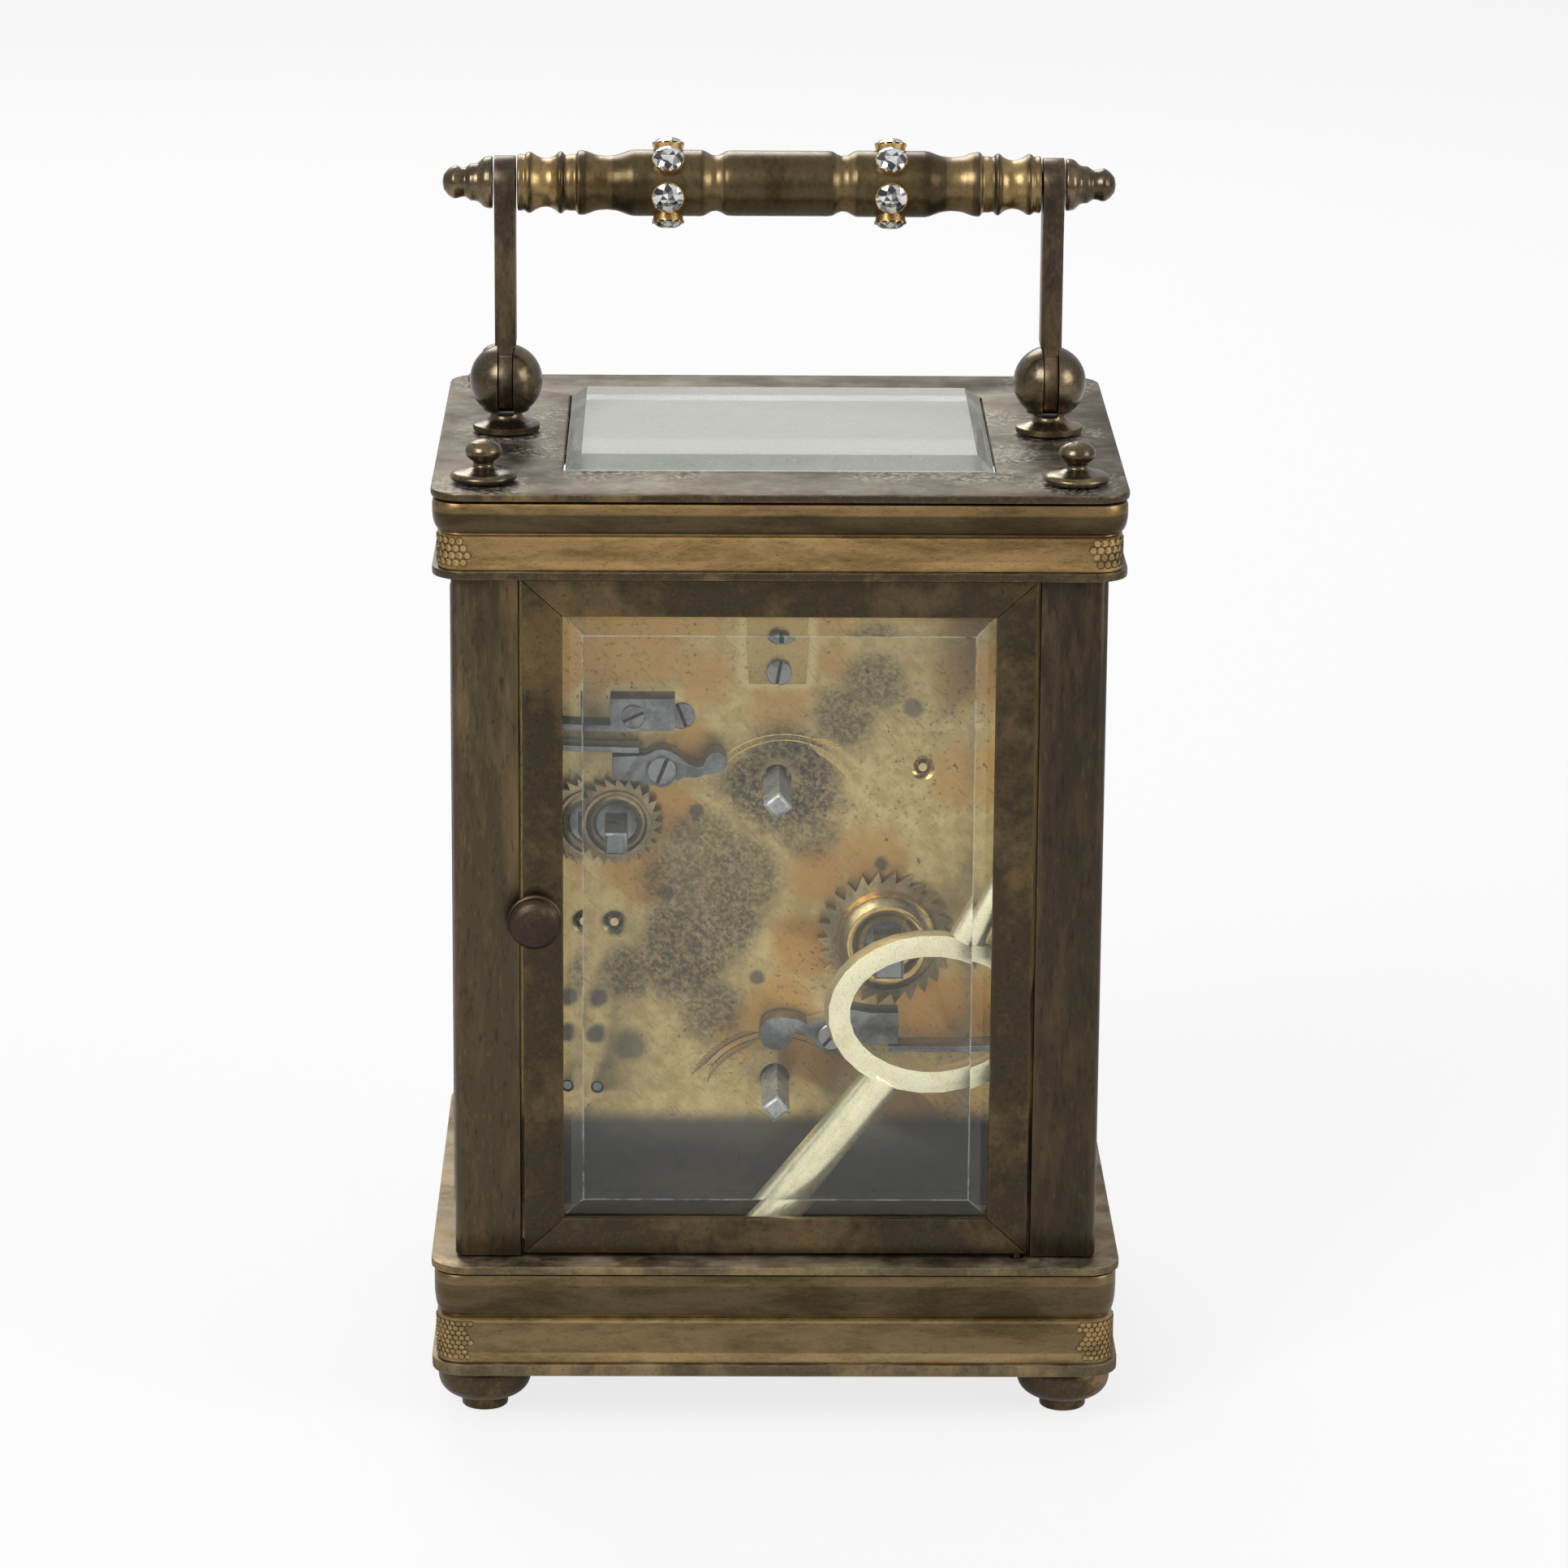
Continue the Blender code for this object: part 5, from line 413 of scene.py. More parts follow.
OVOLO_SHARE = 0.62


def moulding_section(low, height, band, band_inset, upper_inset, inner):
    """Outer side of a case moulding from the bottom up, then its inner wall back down."""
    top, band_top = low + height, low + band
    outer = [(band_inset, low - 0.22), (band_inset, band_top - 0.25), (band_inset + 0.3, band_top)]
    for step in range(9):
        angle = math.pi / 2 * step / 8
        rise = (height - band) * OVOLO_SHARE * (1 - math.cos(angle))
        outer.append((upper_inset + 1 - math.sin(angle), band_top + 0.15 + rise))
    outer += [(upper_inset, top - 0.5), (upper_inset + 0.2, top - 0.05), (upper_inset + 0.8, top + 0.22)]
    return outer + inner


PATCH_PROUD = 0.14


def honeycomb(half_x, half_y, corner, low, high, cell, arc_reach):
    """Patches of six-sided pits with rims between them, laid on the four rounded corners of a band."""
    work = bmesh.new()
    run = corner * math.pi / 2 * arc_reach
    rows = round((high - low) / (cell * 0.866))
    columns = int(run / cell)
    for row in range(rows):
        for column in range(columns):
            u = (column + 0.5 * (row % 2) - columns / 2 + 0.25) * cell
            v = low + (row + 0.5) * (high - low) / rows
            if abs(u) > run / 2 - 0.8 * cell and (row * 5 + column * 3) % 4 < 2:
                continue
            bmesh.ops.create_circle(
                work, cap_ends=True, segments=6, radius=cell / math.sqrt(3) * mm,
                matrix=Matrix.Translation((u * mm, v * mm, 0)) @ Matrix.Rotation(math.pi / 6, 4, "Z"),
            )
    bmesh.ops.remove_doubles(work, verts=work.verts, dist=0.08 * mm)
    bmesh.ops.inset_individual(work, faces=work.faces[:], thickness=0.06 * cell * mm, depth=0.0)
    pits = [f for f in work.faces if len(f.verts) == 6]
    bmesh.ops.inset_individual(work, faces=pits, thickness=0.05 * cell * mm, depth=-0.13 * mm)
    for face in pits:
        face.material_index = 1
    outward(work, Vector((0, 0, 1)))
    flat_patch = meshed("patch", work)
    all_round = bmesh.new()
    for side_x, side_y, turn in ((1, 1, 0), (-1, 1, 1), (-1, -1, 2), (1, -1, 3)):
        before = len(all_round.verts)
        all_round.from_mesh(flat_patch)
        all_round.verts.ensure_lookup_table()
        for vert in all_round.verts[before:]:
            u, v, w = vert.co / mm
            quarter = corner * math.pi / 4
            beyond = max(0.0, abs(u) - quarter)
            angle = max(-quarter, min(quarter, u)) / corner
            out = corner + w + PATCH_PROUD
            x, y = out * math.cos(angle), out * math.sin(angle)
            x -= math.sin(angle) * math.copysign(beyond, u)
            y += math.cos(angle) * math.copysign(beyond, u)
            heading = math.pi / 4 + turn * math.pi / 2
            vert.co.x = (side_x * (half_x - corner) + x * math.cos(heading) - y * math.sin(heading)) * mm
            vert.co.y = (side_y * (half_y - corner) + x * math.sin(heading) + y * math.cos(heading)) * mm
            vert.co.z = v * mm
    bpy.data.meshes.remove(flat_patch)
    return all_round


def banded_brass(name, axis, golds, base_rub, dark, rubbed, drawn_out, roughness=0.36, patchy=0.65):
    """Brass rubbed golden in zones along one axis, given as (from, to, strength) in millimetres."""
    material, tree, place = new_material(name)
    drawn = put(tree, "Mapping", Vector=place["Object"], Scale=drawn_out).outputs[0]
    along = maths("ABSOLUTE", apart(place["Object"])[axis])
    patch = graded(noise(drawn, 45.0, 4.0, 0.55), 0.3, 0.7, patchy, 1.0)
    rub = base_rub
    for bottom, top, strength in golds:
        rise = graded(along, (bottom - 0.3) * mm, (bottom + 0.3) * mm)
        fall = graded(along, (top + 0.3) * mm, (top - 0.3) * mm)
        rub = most(rub, times(times(rise, fall), times(patch, strength)))
    body = tinted(rub, (*dark, 1), (*rubbed, 1))
    deep = tinted(1.0, body, (0.50, 0.48, 0.45, 1), "MULTIPLY")
    old = grouped(tree, patina, Vector=drawn, Dark=deep, Rubbed=body, Rub=0.56, Scale=150.0, Roughness=roughness)
    edges = grouped(tree, edge_wear_and_highlight, Vector=place["Object"], Amount=0.4, Width=0.3 * mm)["Mask"]
    colour = tinted(edges, old["Colour"], (0.42, 0.27, 0.12, 1))
    principled(
        tree, Base_Color=colour, Roughness=old["Roughness"], Metallic=0.92, Normal=fine_bump(old["Height"])
    )
    return material


# The honeycomb rims are given dark brown, painted shade for the dark outline round each cell; the pits keep golden
# brass.
honeycomb_rim_shade = tarnished(
    "honeycomb_rim_shade", (0.10, 0.070, 0.034), (0.30, 0.20, 0.085), 0.45, 300.0, 0.32, wear=0.0, dusty=0.0
)
honeycomb_pit = tarnished(
    "honeycomb_pit", (0.26, 0.175, 0.075), (0.52, 0.35, 0.15), 0.6, 300.0, 0.5, wear=0.0, dusty=0.0
)
CORNER = 4.1
for node, low_to_band, band_inset, upper_inset, cell, base_rub, rubbed, inner, golds in (
    ("base_moulding", 5.9, 0.7, 0.4, 0.80, 0.15, (0.54, 0.38, 0.175), [(5.0, 12.1), (5.0, 0.0)],
     [(-0.3, 1.3, 0.85), (1.0, 5.4, 0.44), (5.3, 6.4, 0.95), (10.6, 12.3, 0.42)]),
    ("cornice_moulding", 4.4, 0.85, 0.2, 1.0, 0.07, (0.61, 0.39, 0.158),
     [(12.5, 8.6), (12.5, 6.6), (15.5, 6.6), (15.5, 4.8), (6.2, 4.8), (6.2, 0.0)],
     [(-0.5, 4.5, 0.72), (-0.5, 1.2, 0.95), (3.6, 4.5, 0.85), (7.2, 8.9, 0.45)]),
):
    box_low, box_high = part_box(node)
    low, height = box_low.z / mm, (box_high.z - box_low.z) / mm
    half_x, half_y = box_high.x / mm + upper_inset, box_high.y / mm + upper_inset
    inner = [(inset, low + level) for inset, level in inner]
    section = moulding_section(low, height, low_to_band, band_inset, upper_inset, inner)
    golds = [(low + bottom, low + top, strength) for bottom, top, strength in golds]
    finish = banded_brass(node + "_brass", 2, golds, base_rub, (0.064, 0.049, 0.028), rubbed, (0.35, 0.35, 1.4))
    fit(swept_round(half_x, half_y, CORNER, section), node + "_drawn", finish, "case", [node])
    patch = honeycomb(
        half_x - band_inset, half_y - band_inset, CORNER - band_inset, low + 0.25, low + low_to_band - 0.35, cell, 1.5
    )
    fit(patch, node + "_honeycomb", honeycomb_rim_shade, "case", crease=60, others=[honeycomb_pit])

# Bell: a shallow dish of bell metal, cast and turned, and held at its crown inside the hollow
# base, where the hammer's head strikes its rim.
bell_bronze = tarnished("bell_bronze", (0.30, 0.24, 0.14), (0.50, 0.40, 0.24), 0.6, 90.0, 0.28, wear=0.2, dusty=0.1)


def dress(node, material):
    """Gives a CAD node that stays its own finish."""
    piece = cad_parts[node]
    piece.data.materials.clear()
    piece.data.materials.append(material)


dress("alarm_bell", bell_bronze)

# Pillars: four square brass posts, drawn and milled, grooved for the panes, their outer arris
# rounded by polishing. The left pair is given darker brass and the right pair lighter: painted shade and painted light
# for the sides that the lamps reach less and more.
for hand, dark, rubbed in (
    ("left", (0.056, 0.043, 0.029), (0.140, 0.098, 0.052)), ("right", (0.085, 0.066, 0.040), (0.215, 0.148, 0.074)),
):
    pillar_brass_painted_side_light = tarnished(
        f"pillar_brass_painted_side_light_{hand}", dark, rubbed, 0.40, 70.0, 0.36, grain=(1, 1, 0.22), wear=0.35, dusty=0.1
    )
    for end in ("front", "back"):
        node = f"pillar_{end}_{hand}"
        fit(eased(node, 0.15), node + "_drawn", pillar_brass_painted_side_light, "case", [node])

# Panes: thick clear plate glass with a ground and polished bevel all round, slightly green at
# its edges, held in the grooves of the pillars, with a painted highlight along every arris. The top pane lies in its
# window under dust, its bevels painted dark, greenish at the sides, as painted shade.


def plate_glass(name, haze=0.0):
    """Clear plate glass with a painted highlight on its arrises; with haze, a film of dust on the faces that look up
    and painted shade on the bevels.
    """
    material, tree, place = new_material(name)
    clear = put(tree, "BsdfTransparent", Color=(0.94, 0.97, 0.955, 1)).outputs[0]
    glass = put(
        tree, "BsdfPrincipled", Base_Color=(0.965, 0.985, 0.975, 1), Roughness=0.0, Transmission_Weight=1.0, IOR=1.44
    ).outputs[0]
    # A grey-green matte mixed in along the arrises: painted highlight.
    arris_highlight = put(tree, "BsdfPrincipled", Base_Color=(0.50, 0.54, 0.48, 1), Roughness=0.5).outputs[0]
    edges = grouped(tree, edge_wear_and_highlight, Vector=place["Object"], Amount=1.6, Width=0.3 * mm, Full=0.975)["Mask"]
    surface = put(tree, "MixShader", i0=times(edges, 0.5), i1=glass, i2=arris_highlight).outputs[0]
    if haze:
        facing = apart(place["Normal"])
        flat = graded(facing[2], 0.97, 0.995)
        film = plus(graded(facing[2], 0.2, 0.7, 0.0, haze * 0.7), times(flat, haze * 0.3))
        cloud = graded(noise(place["Object"], 60.0, 5.0), 0.3, 0.7, 0.8, 1.05)
        speck = graded(noise(place["Object"], 1700.0, 3.0, 0.7), 0.60, 0.68, 0.0, 0.35)
        film = plus(times(film, cloud), times(film, speck), True)
        # The bevels get dark matte colours, greenish where they face sideways, with more cover on the side bevels:
        # painted shade, not dust.
        sideways = graded(maths("ABSOLUTE", facing[0]), 0.15, 0.4)
        bevel_painted_shade = tinted(sideways, (0.070, 0.105, 0.066, 1), (0.105, 0.098, 0.075, 1))
        dust_and_bevel_shade_colour = tinted(flat, bevel_painted_shade, (0.40, 0.395, 0.37, 1))
        film = plus(film, times(sideways, 0.22), True)
        dusty = put(tree, "BsdfPrincipled", Base_Color=dust_and_bevel_shade_colour, Roughness=0.9).outputs[0]
        surface = put(tree, "MixShader", i0=film, i1=surface, i2=dusty).outputs[0]
    ray = tree.nodes.new("ShaderNodeLightPath").outputs["Is Shadow Ray"]
    surface_of(tree, put(tree, "MixShader", i0=ray, i1=surface, i2=clear))
    return material


def bevelled_wider(node, axis, side, extra):
    """A copy of a CAD pane whose outer face is drawn in further, so that its ground bevel is wider."""
    work = bmesh.new()
    work.from_mesh(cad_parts[node].data)
    low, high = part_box(node)
    face = (high if side > 0 else low)[axis]
    for vert in work.verts:
        if abs(vert.co[axis] - face) < 0.01 * mm:
            for other in range(3):
                if other != axis:
                    vert.co[other] -= math.copysign(extra * mm, vert.co[other] - (low[other] + high[other]) / 2)
    return work


pane_glass = plate_glass("pane_glass")
for hand in ("left", "right"):
    node = f"glass_{hand}"
    side = 1 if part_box(node)[0].x > 0 else -1
    fit(bevelled_wider(node, 0, side, 0.7), node + "_ground", pane_glass, "case", [node], crease=5)
for node, body, side, extra in (("glass_front", "case", -1, 0.7), ("door_glass", "door", 1, 1.2)):
    fit(bevelled_wider(node, 1, side, extra), node + "_ground", pane_glass, body, [node], crease=5)
dress("glass_top", plate_glass("dust_and_bevel_shade_glass", 0.70))

# Finials: a bead on a cushion disc, turned from brass rod in one and screwed into each corner
# of the top plate, where it covers the screw that holds the case together.
FINIAL_PROFILE = [
    (0.0, 5.4), (0.9, 5.27), (1.6, 4.99), (2.1, 4.58), (2.38, 4.05), (2.41, 3.83), (2.36, 3.5), (2.05, 3.0),
    (1.6, 2.65), (1.35, 2.45), (1.3, 2.1), (1.45, 1.8), (2.2, 1.5), (3.3, 1.3), (3.9, 1.15), (4.25, 0.85),
    (4.35, 0.55), (4.2, 0.2), (3.9, 0.0), (0.0, 0.0),
]
polished_brass = tarnished(
    "polished_brass", (0.085, 0.066, 0.043), (0.24, 0.18, 0.10), 0.40, 160.0, 0.24, wear=0.4, dusty=0.05, width=0.3
)
for corner in CASE_CORNERS:
    node = "finial_" + corner
    finial = lathe(softened(FINIAL_PROFILE, 0.2), middle_of(node), steps=48)
    fit(finial, node + "_turned", polished_brass, "case", [node])

# Handle: two posts with slotted balls carry flat arms, and the turned grip is clamped between
# them by its end pieces. Two rings of paste stones in claw settings were added to the grip.
BALL_RADIUS, BALL_MIDDLE = 4.85, 6.75
POST_PROFILE = [
    (0.0, 0.0), (4.3, 0.0), (4.46, 0.15), (4.46, 0.85), (4.2, 1.0), (3.3, 1.15), (2.6, 1.45), (2.2, 1.9), (2.1, 2.3),
    (2.6, 2.5), (3.05, 2.7), (3.1, 2.95), (2.95, 3.1),
]
for turn in range(-48, 90, 6):
    angle = math.radians(turn)
    POST_PROFILE.append((BALL_RADIUS * math.cos(angle), BALL_MIDDLE + BALL_RADIUS * math.sin(angle)))
POST_PROFILE.append((0.0, BALL_MIDDLE + BALL_RADIUS))
GRIP_Z, ARM_LENGTH, ARM_KNUCKLE = 161.25, 26.6, 4.6
PIVOT_Z = GRIP_Z - ARM_LENGTH
SLOT_HALF = 1.06


def sawn(work, low, high):
    """The bmesh with a box, given by two corners in millimetres, cut out of it."""
    cutter = bmesh.new()
    size, middle = Vector(high) - Vector(low), (Vector(high) + Vector(low)) / 2
    bmesh.ops.create_cube(cutter, size=mm, matrix=Matrix.Translation(middle * mm) @ Matrix.Diagonal((*size, 1)))
    bodies = [placed(name, meshed(name, each)) for name, each in (("whole", work), ("cutter", cutter))]
    saw = bodies[0].modifiers.new("saw", "BOOLEAN")
    saw.operation, saw.solver, saw.object = "DIFFERENCE", "EXACT", bodies[1]
    bpy.context.view_layer.update()
    mesh = bpy.data.meshes.new_from_object(bodies[0].evaluated_get(bpy.context.evaluated_depsgraph_get()))
    cut_work = bmesh.new()
    cut_work.from_mesh(mesh)
    for body in bodies:
        spare = body.data
        bpy.data.objects.remove(body, do_unlink=True)
        bpy.data.meshes.remove(spare)
    bpy.data.meshes.remove(mesh)
    return cut_work


# The faces inside the sawn slots of the post balls are painted near black: painted shade for the deep slot.
slot_painted_shade = tarnished(
    "slot_painted_shade", (0.02, 0.016, 0.012), (0.05, 0.04, 0.03), 0.3, 200.0, 0.6, wear=0.0, dusty=0.0, metallic=0.5
)
arm_brass = tarnished(
    "arm_brass", (0.064, 0.048, 0.033), (0.22, 0.15, 0.085), 0.36, 90.0, 0.38, grain=(1, 1, 0.4), wear=0.7, dusty=0.05
)
PIN_PROFILE = [(0, -4.7), (0.75, -4.7), (0.9, -4.5), (0.9, 4.5), (0.75, 4.7), (0, 4.7)]
for hand in ("left", "right"):
    node = f"handle_post_{hand}"
    x, slot_floor = middle_of(node)[0] / mm, PIVOT_Z - ARM_KNUCKLE
    post = lathe(POST_PROFILE, (x * mm, 0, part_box(node)[0].z), steps=64)
    post = sawn(post, (x - SLOT_HALF, -6, slot_floor), (x + SLOT_HALF, 6, 145))
    in_slot = lambda spot: int(abs(spot.x - x) < SLOT_HALF + 0.01 and spot.z > slot_floor - 0.01)
    fit(post, node + "_turned", polished_brass, "case", [node], others=[slot_painted_shade], choose=in_slot)
    pin = lathe(PIN_PROFILE, (x * mm, 0, PIVOT_Z * mm), "X", 20)
    fit(pin, f"handle_pivot_{hand}", polished_brass, "case")
    node = f"handle_arm_{hand}"
    fit(eased(node, 0.15), node + "_filed", arm_brass, "handle", [node])
GRIP_HALF = [
    (0.0, 4.32), (6.3, 4.32), (7.0, 4.26), (7.7, 3.85), (8.3, 3.64), (9.0, 3.75), (9.6, 4.12), (10.2, 4.38),
    (19.3, 4.38), (19.9, 4.25), (20.5, 4.02), (21.2, 3.77), (21.8, 3.63), (22.8, 3.54), (23.8, 3.62), (24.4, 3.74),
    (25.0, 3.98), (25.7, 4.22), (26.3, 4.27), (26.6, 4.2), (26.9, 3.70), (27.6, 3.73), (28.3, 3.60), (28.6, 4.0),
    (28.9, 4.13), (29.2, 4.0), (29.5, 3.68), (30.2, 3.30), (30.8, 3.19), (31.5, 3.28), (32.1, 3.54), (32.8, 3.99),
    (33.1, 4.05), (33.4, 3.94), (33.7, 3.64), (34.4, 3.79), (34.6, 3.6), (34.6, 0.0),
]
GRIP_GOLDS = [
    (7.4, 10.0, 0.45), (10.4, 19.0, 0.22), (22.0, 25.5, 0.45), (26.5, 28.2, 0.75), (29.3, 32.6, 1.0),
    (33.2, 34.6, 0.75),
]
grip_brass = banded_brass(
    "grip_brass", 0, GRIP_GOLDS, 0.12, (0.066, 0.050, 0.028), (0.38, 0.26, 0.11), (1, 0.6, 0.6), 0.32, 0.85
)
profile = [(r, -x) for x, r in GRIP_HALF[::-1]] + [(r, x) for x, r in GRIP_HALF[1:]]
grip = lathe(softened(profile, 0.22), (0, 0, GRIP_Z * mm), "X", 72)
fit(grip, "grip_turned", grip_brass, "handle", ["handle_grip"])
END_PROFILE = [
    (37.9, 0.0), (37.9, 3.4), (38.2, 3.47), (38.9, 3.35), (39.2, 3.15), (39.5, 2.85), (39.8, 2.58), (40.2, 2.47),
    (40.8, 2.44), (41.1, 2.22), (41.5, 1.92), (42.1, 1.98), (42.7, 2.18), (43.1, 2.17), (43.7, 1.77), (44.0, 1.45),
    (44.35, 1.0), (44.55, 0.0),
]
for hand, side in (("left", -1), ("right", 1)):
    profile = [(r, x * side) for x, r in END_PROFILE]
    end = lathe(softened(profile, 0.15), (0, 0, GRIP_Z * mm), "X", 48)
    fit(end, f"handle_end_{hand}_turned", polished_brass, "handle", [f"handle_end_{hand}"])

# Stones: brilliant-cut paste, foiled at the back so that each facet flashes bright or dark,
# each held in a scalloped gilt cup. The flashes are painted reflection: each facet is given bright, mid or dark grey in
# a set pattern, on top of its own gloss.
paste_painted_flashes = []
for name, tone, roughness in (("paste_bright", 0.80, 0.06), ("paste_mid", 0.30, 0.06), ("paste_dark", 0.05, 0.04)):
    material, tree, place = new_material(name)
    flash = graded(noise(place["Object"], 900.0, 2.0), 0.35, 0.65, tone * 0.7, tone)
    grey = put(tree, "CombineColor", Red=flash, Green=flash, Blue=flash).outputs[0]
    principled(tree, Base_Color=grey, Roughness=roughness, Metallic=0.85, Coat_Weight=1.0, Coat_Roughness=0.02)
    paste_painted_flashes.append(material)
cup_brass = tarnished(
    "cup_brass", (0.32, 0.22, 0.09), (0.70, 0.48, 0.20), 0.7, 400.0, 0.28, wear=0.6, dusty=0.0, width=0.1
)
RING_X, SEAT_RADIUS, RING_COUNT, RING_TURN = 14.7, 3.9, 6, 12
STONE_RINGS = [(0.98, 2.08, 8, 0), (1.55, 1.86, 8, 22.5), (2.02, 1.42, 16, 0)]
stones, cups = bmesh.new(), bmesh.new()
for side in (-1, 1):
    for number in range(RING_COUNT):
        angle = math.radians(RING_TURN + 360 / RING_COUNT * number)
        away = Vector((0, math.cos(angle), -math.sin(angle)))
        facing = away.to_track_quat("Z", "X").to_matrix().to_4x4()
        seat = Matrix.Translation(Vector((side * RING_X, 0, GRIP_Z)) * mm + away * SEAT_RADIUS * mm) @ facing
        rings = []
        for radius, rise, count, turn in STONE_RINGS:
            angles = [math.radians(turn + 360 * step / count) for step in range(count)]
            spots = [Vector((radius * math.cos(a), radius * math.sin(a), rise)) * mm for a in angles]
            rings.append([stones.verts.new(seat @ spot) for spot in spots])
        inner, star, girdle = rings
        crown = stones.verts.new(seat @ Vector((0, 0, 2.08 * mm)))
        for step in range(8):
            after, left, right = (step + 1) % 8, 2 * step, (2 * step + 2) % 16
            for corners, tones in (
                ((crown, inner[step], inner[after]), (0, 2, 0, 1, 0, 1, 2, 1)),
                ((inner[step], star[step], inner[after]), (1, 0, 2, 0, 0, 2, 0, 1)),
                ((star[step], girdle[right], star[after], inner[after]), (2, 0, 1, 0, 1, 0, 0, 2)),
                ((star[step], girdle[left + 1], girdle[right]), (0, 1, 0, 2, 2, 0, 1, 0)),
                ((star[step], girdle[left], girdle[left + 1]), (1, 2, 0, 1, 0, 2, 0, 0)),
            ):
                stones.faces.new(corners).material_index = (tones[step] + number * (step % 2)) % 3
        bmesh.ops.create_cone(
            cups, cap_ends=True, segments=24, radius1=1.8 * mm, radius2=2.12 * mm, depth=1.2 * mm,
            matrix=seat @ Matrix.Translation((0, 0, 0.62 * mm)),
        )
        for claw in range(12):
            turn = Matrix.Rotation(math.radians(30 * claw + 10), 4, "Z")
            spot = seat @ turn @ Matrix.Translation((2.02 * mm, 0, 1.28 * mm)) @ Matrix.Diagonal((0.7, 1.0, 1.1, 1))
            bmesh.ops.create_icosphere(cups, subdivisions=1, radius=0.24 * mm, matrix=spot)
fit(stones, "stones", paste_painted_flashes[0], "handle", crease=3, others=paste_painted_flashes[1:])
fit(cups, "stone_cups", cup_brass, "handle", crease=40)

# Door: a brass frame mitred and soldered at its corners and rebated for the pane, hung on two
# pins at one edge, with a turned knob riveted to the other.
DOOR_X, DOOR_LOW, DOOR_HIGH, STILE, RAIL = 33.3, 23.7, 115.5, 5.2, 4.8
DOOR_BACK, DOOR_FACE, LIP, REBATE = 30.8, 34.5, 1.2, 1.8
door_brass = tarnished("door_brass", (0.060, 0.046, 0.028), (0.165, 0.112, 0.055), 0.36, 60.0, 0.37, dusty=0.08)
SHOULDER = 1 - REBATE / STILE
DOOR_SECTION = [
    (0.0, DOOR_FACE), (0.0, DOOR_BACK), (SHOULDER, DOOR_BACK), (SHOULDER, DOOR_FACE - LIP), (1.0, DOOR_FACE - LIP),
    (1.0, DOOR_FACE),
]
MITRE_GAP = 0.03
frame_work = bmesh.new()
corners = [(-1, DOOR_LOW, 1), (1, DOOR_LOW, 1), (1, DOOR_HIGH, -1), (-1, DOOR_HIGH, -1)]
for first, second in zip(corners, corners[1:] + corners[:1]):
    gap_x = MITRE_GAP * (second[0] - first[0]) / 2
    gap_z = MITRE_GAP * ((second[1] > first[1]) - (second[1] < first[1]))
    loops = []
    for (side, level, inward), end in ((first, 1), (second, -1)):
        spots = []
        for share, y in DOOR_SECTION:
            x = side * (DOOR_X - share * STILE) + end * gap_x
            z = level + inward * share * RAIL + end * gap_z
            spots.append(frame_work.verts.new((x * mm, y * mm, z * mm)))
        loops.append([frame_work.edges.new(pair) for pair in zip(spots, spots[1:] + spots[:1])])
    bmesh.ops.bridge_loops(frame_work, edges=loops[0] + loops[1])
    for loop in loops:
        bmesh.ops.edgeloop_fill(frame_work, edges=loop)
outward(frame_work)
sharp = [e for e in frame_work.edges if e.calc_face_angle(0.0) > 0.5]
bmesh.ops.bevel(
    frame_work, geom=sharp, offset=0.12 * mm, offset_type="OFFSET", segments=2, profile=0.5, affect="EDGES", material=-1
)
fit(frame_work, "door_frame_mitred", door_brass, "door", ["door_frame"])
HINGE_X, HINGE_Y, PIN_RADIUS = -32.1, 33.6, 0.6
for name, low, high in (("hinge_pin_low", 22.6, 25.0), ("hinge_pin_high", 114.5, 116.8)):
    pin = [(0, low), (PIN_RADIUS, low), (PIN_RADIUS, high), (0, high)]
    fit(lathe(pin, (HINGE_X * mm, HINGE_Y * mm, 0), steps=16), name, turned_brass, "door")
KNOB_PROFILE = [
    (0.0, 3.9), (1.2, 3.86), (2.2, 3.65), (2.9, 3.3), (3.35, 2.75), (3.5, 2.2), (3.35, 1.75), (3.15, 1.65), (3.6, 1.45),
    (3.65, 1.1), (3.5, 0.85), (1.3, 0.7), (1.3, 0.0), (0.0, 0.0),
]
low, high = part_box("door_knob")
knob = lathe(softened(KNOB_PROFILE, 0.2), ((low.x + high.x) / 2, low.y, (low.z + high.z) / 2), "Y", 48)
knob_brass = tarnished("knob_brass", (0.050, 0.037, 0.026), (0.15, 0.09, 0.05), 0.3, 200.0, 0.42, wear=0.6, dusty=0.1)
fit(knob, "door_knob_turned", knob_brass, "door", ["door_knob"])

# Movement plates: thick brass, once gilt, now stained in clouds. The steelwork and the cock are
# screwed to the back plate, and gilding that they shaded keeps its lemon and orange colour.
PLATE_BACK = 13.0
STAIN_Y = 13.1


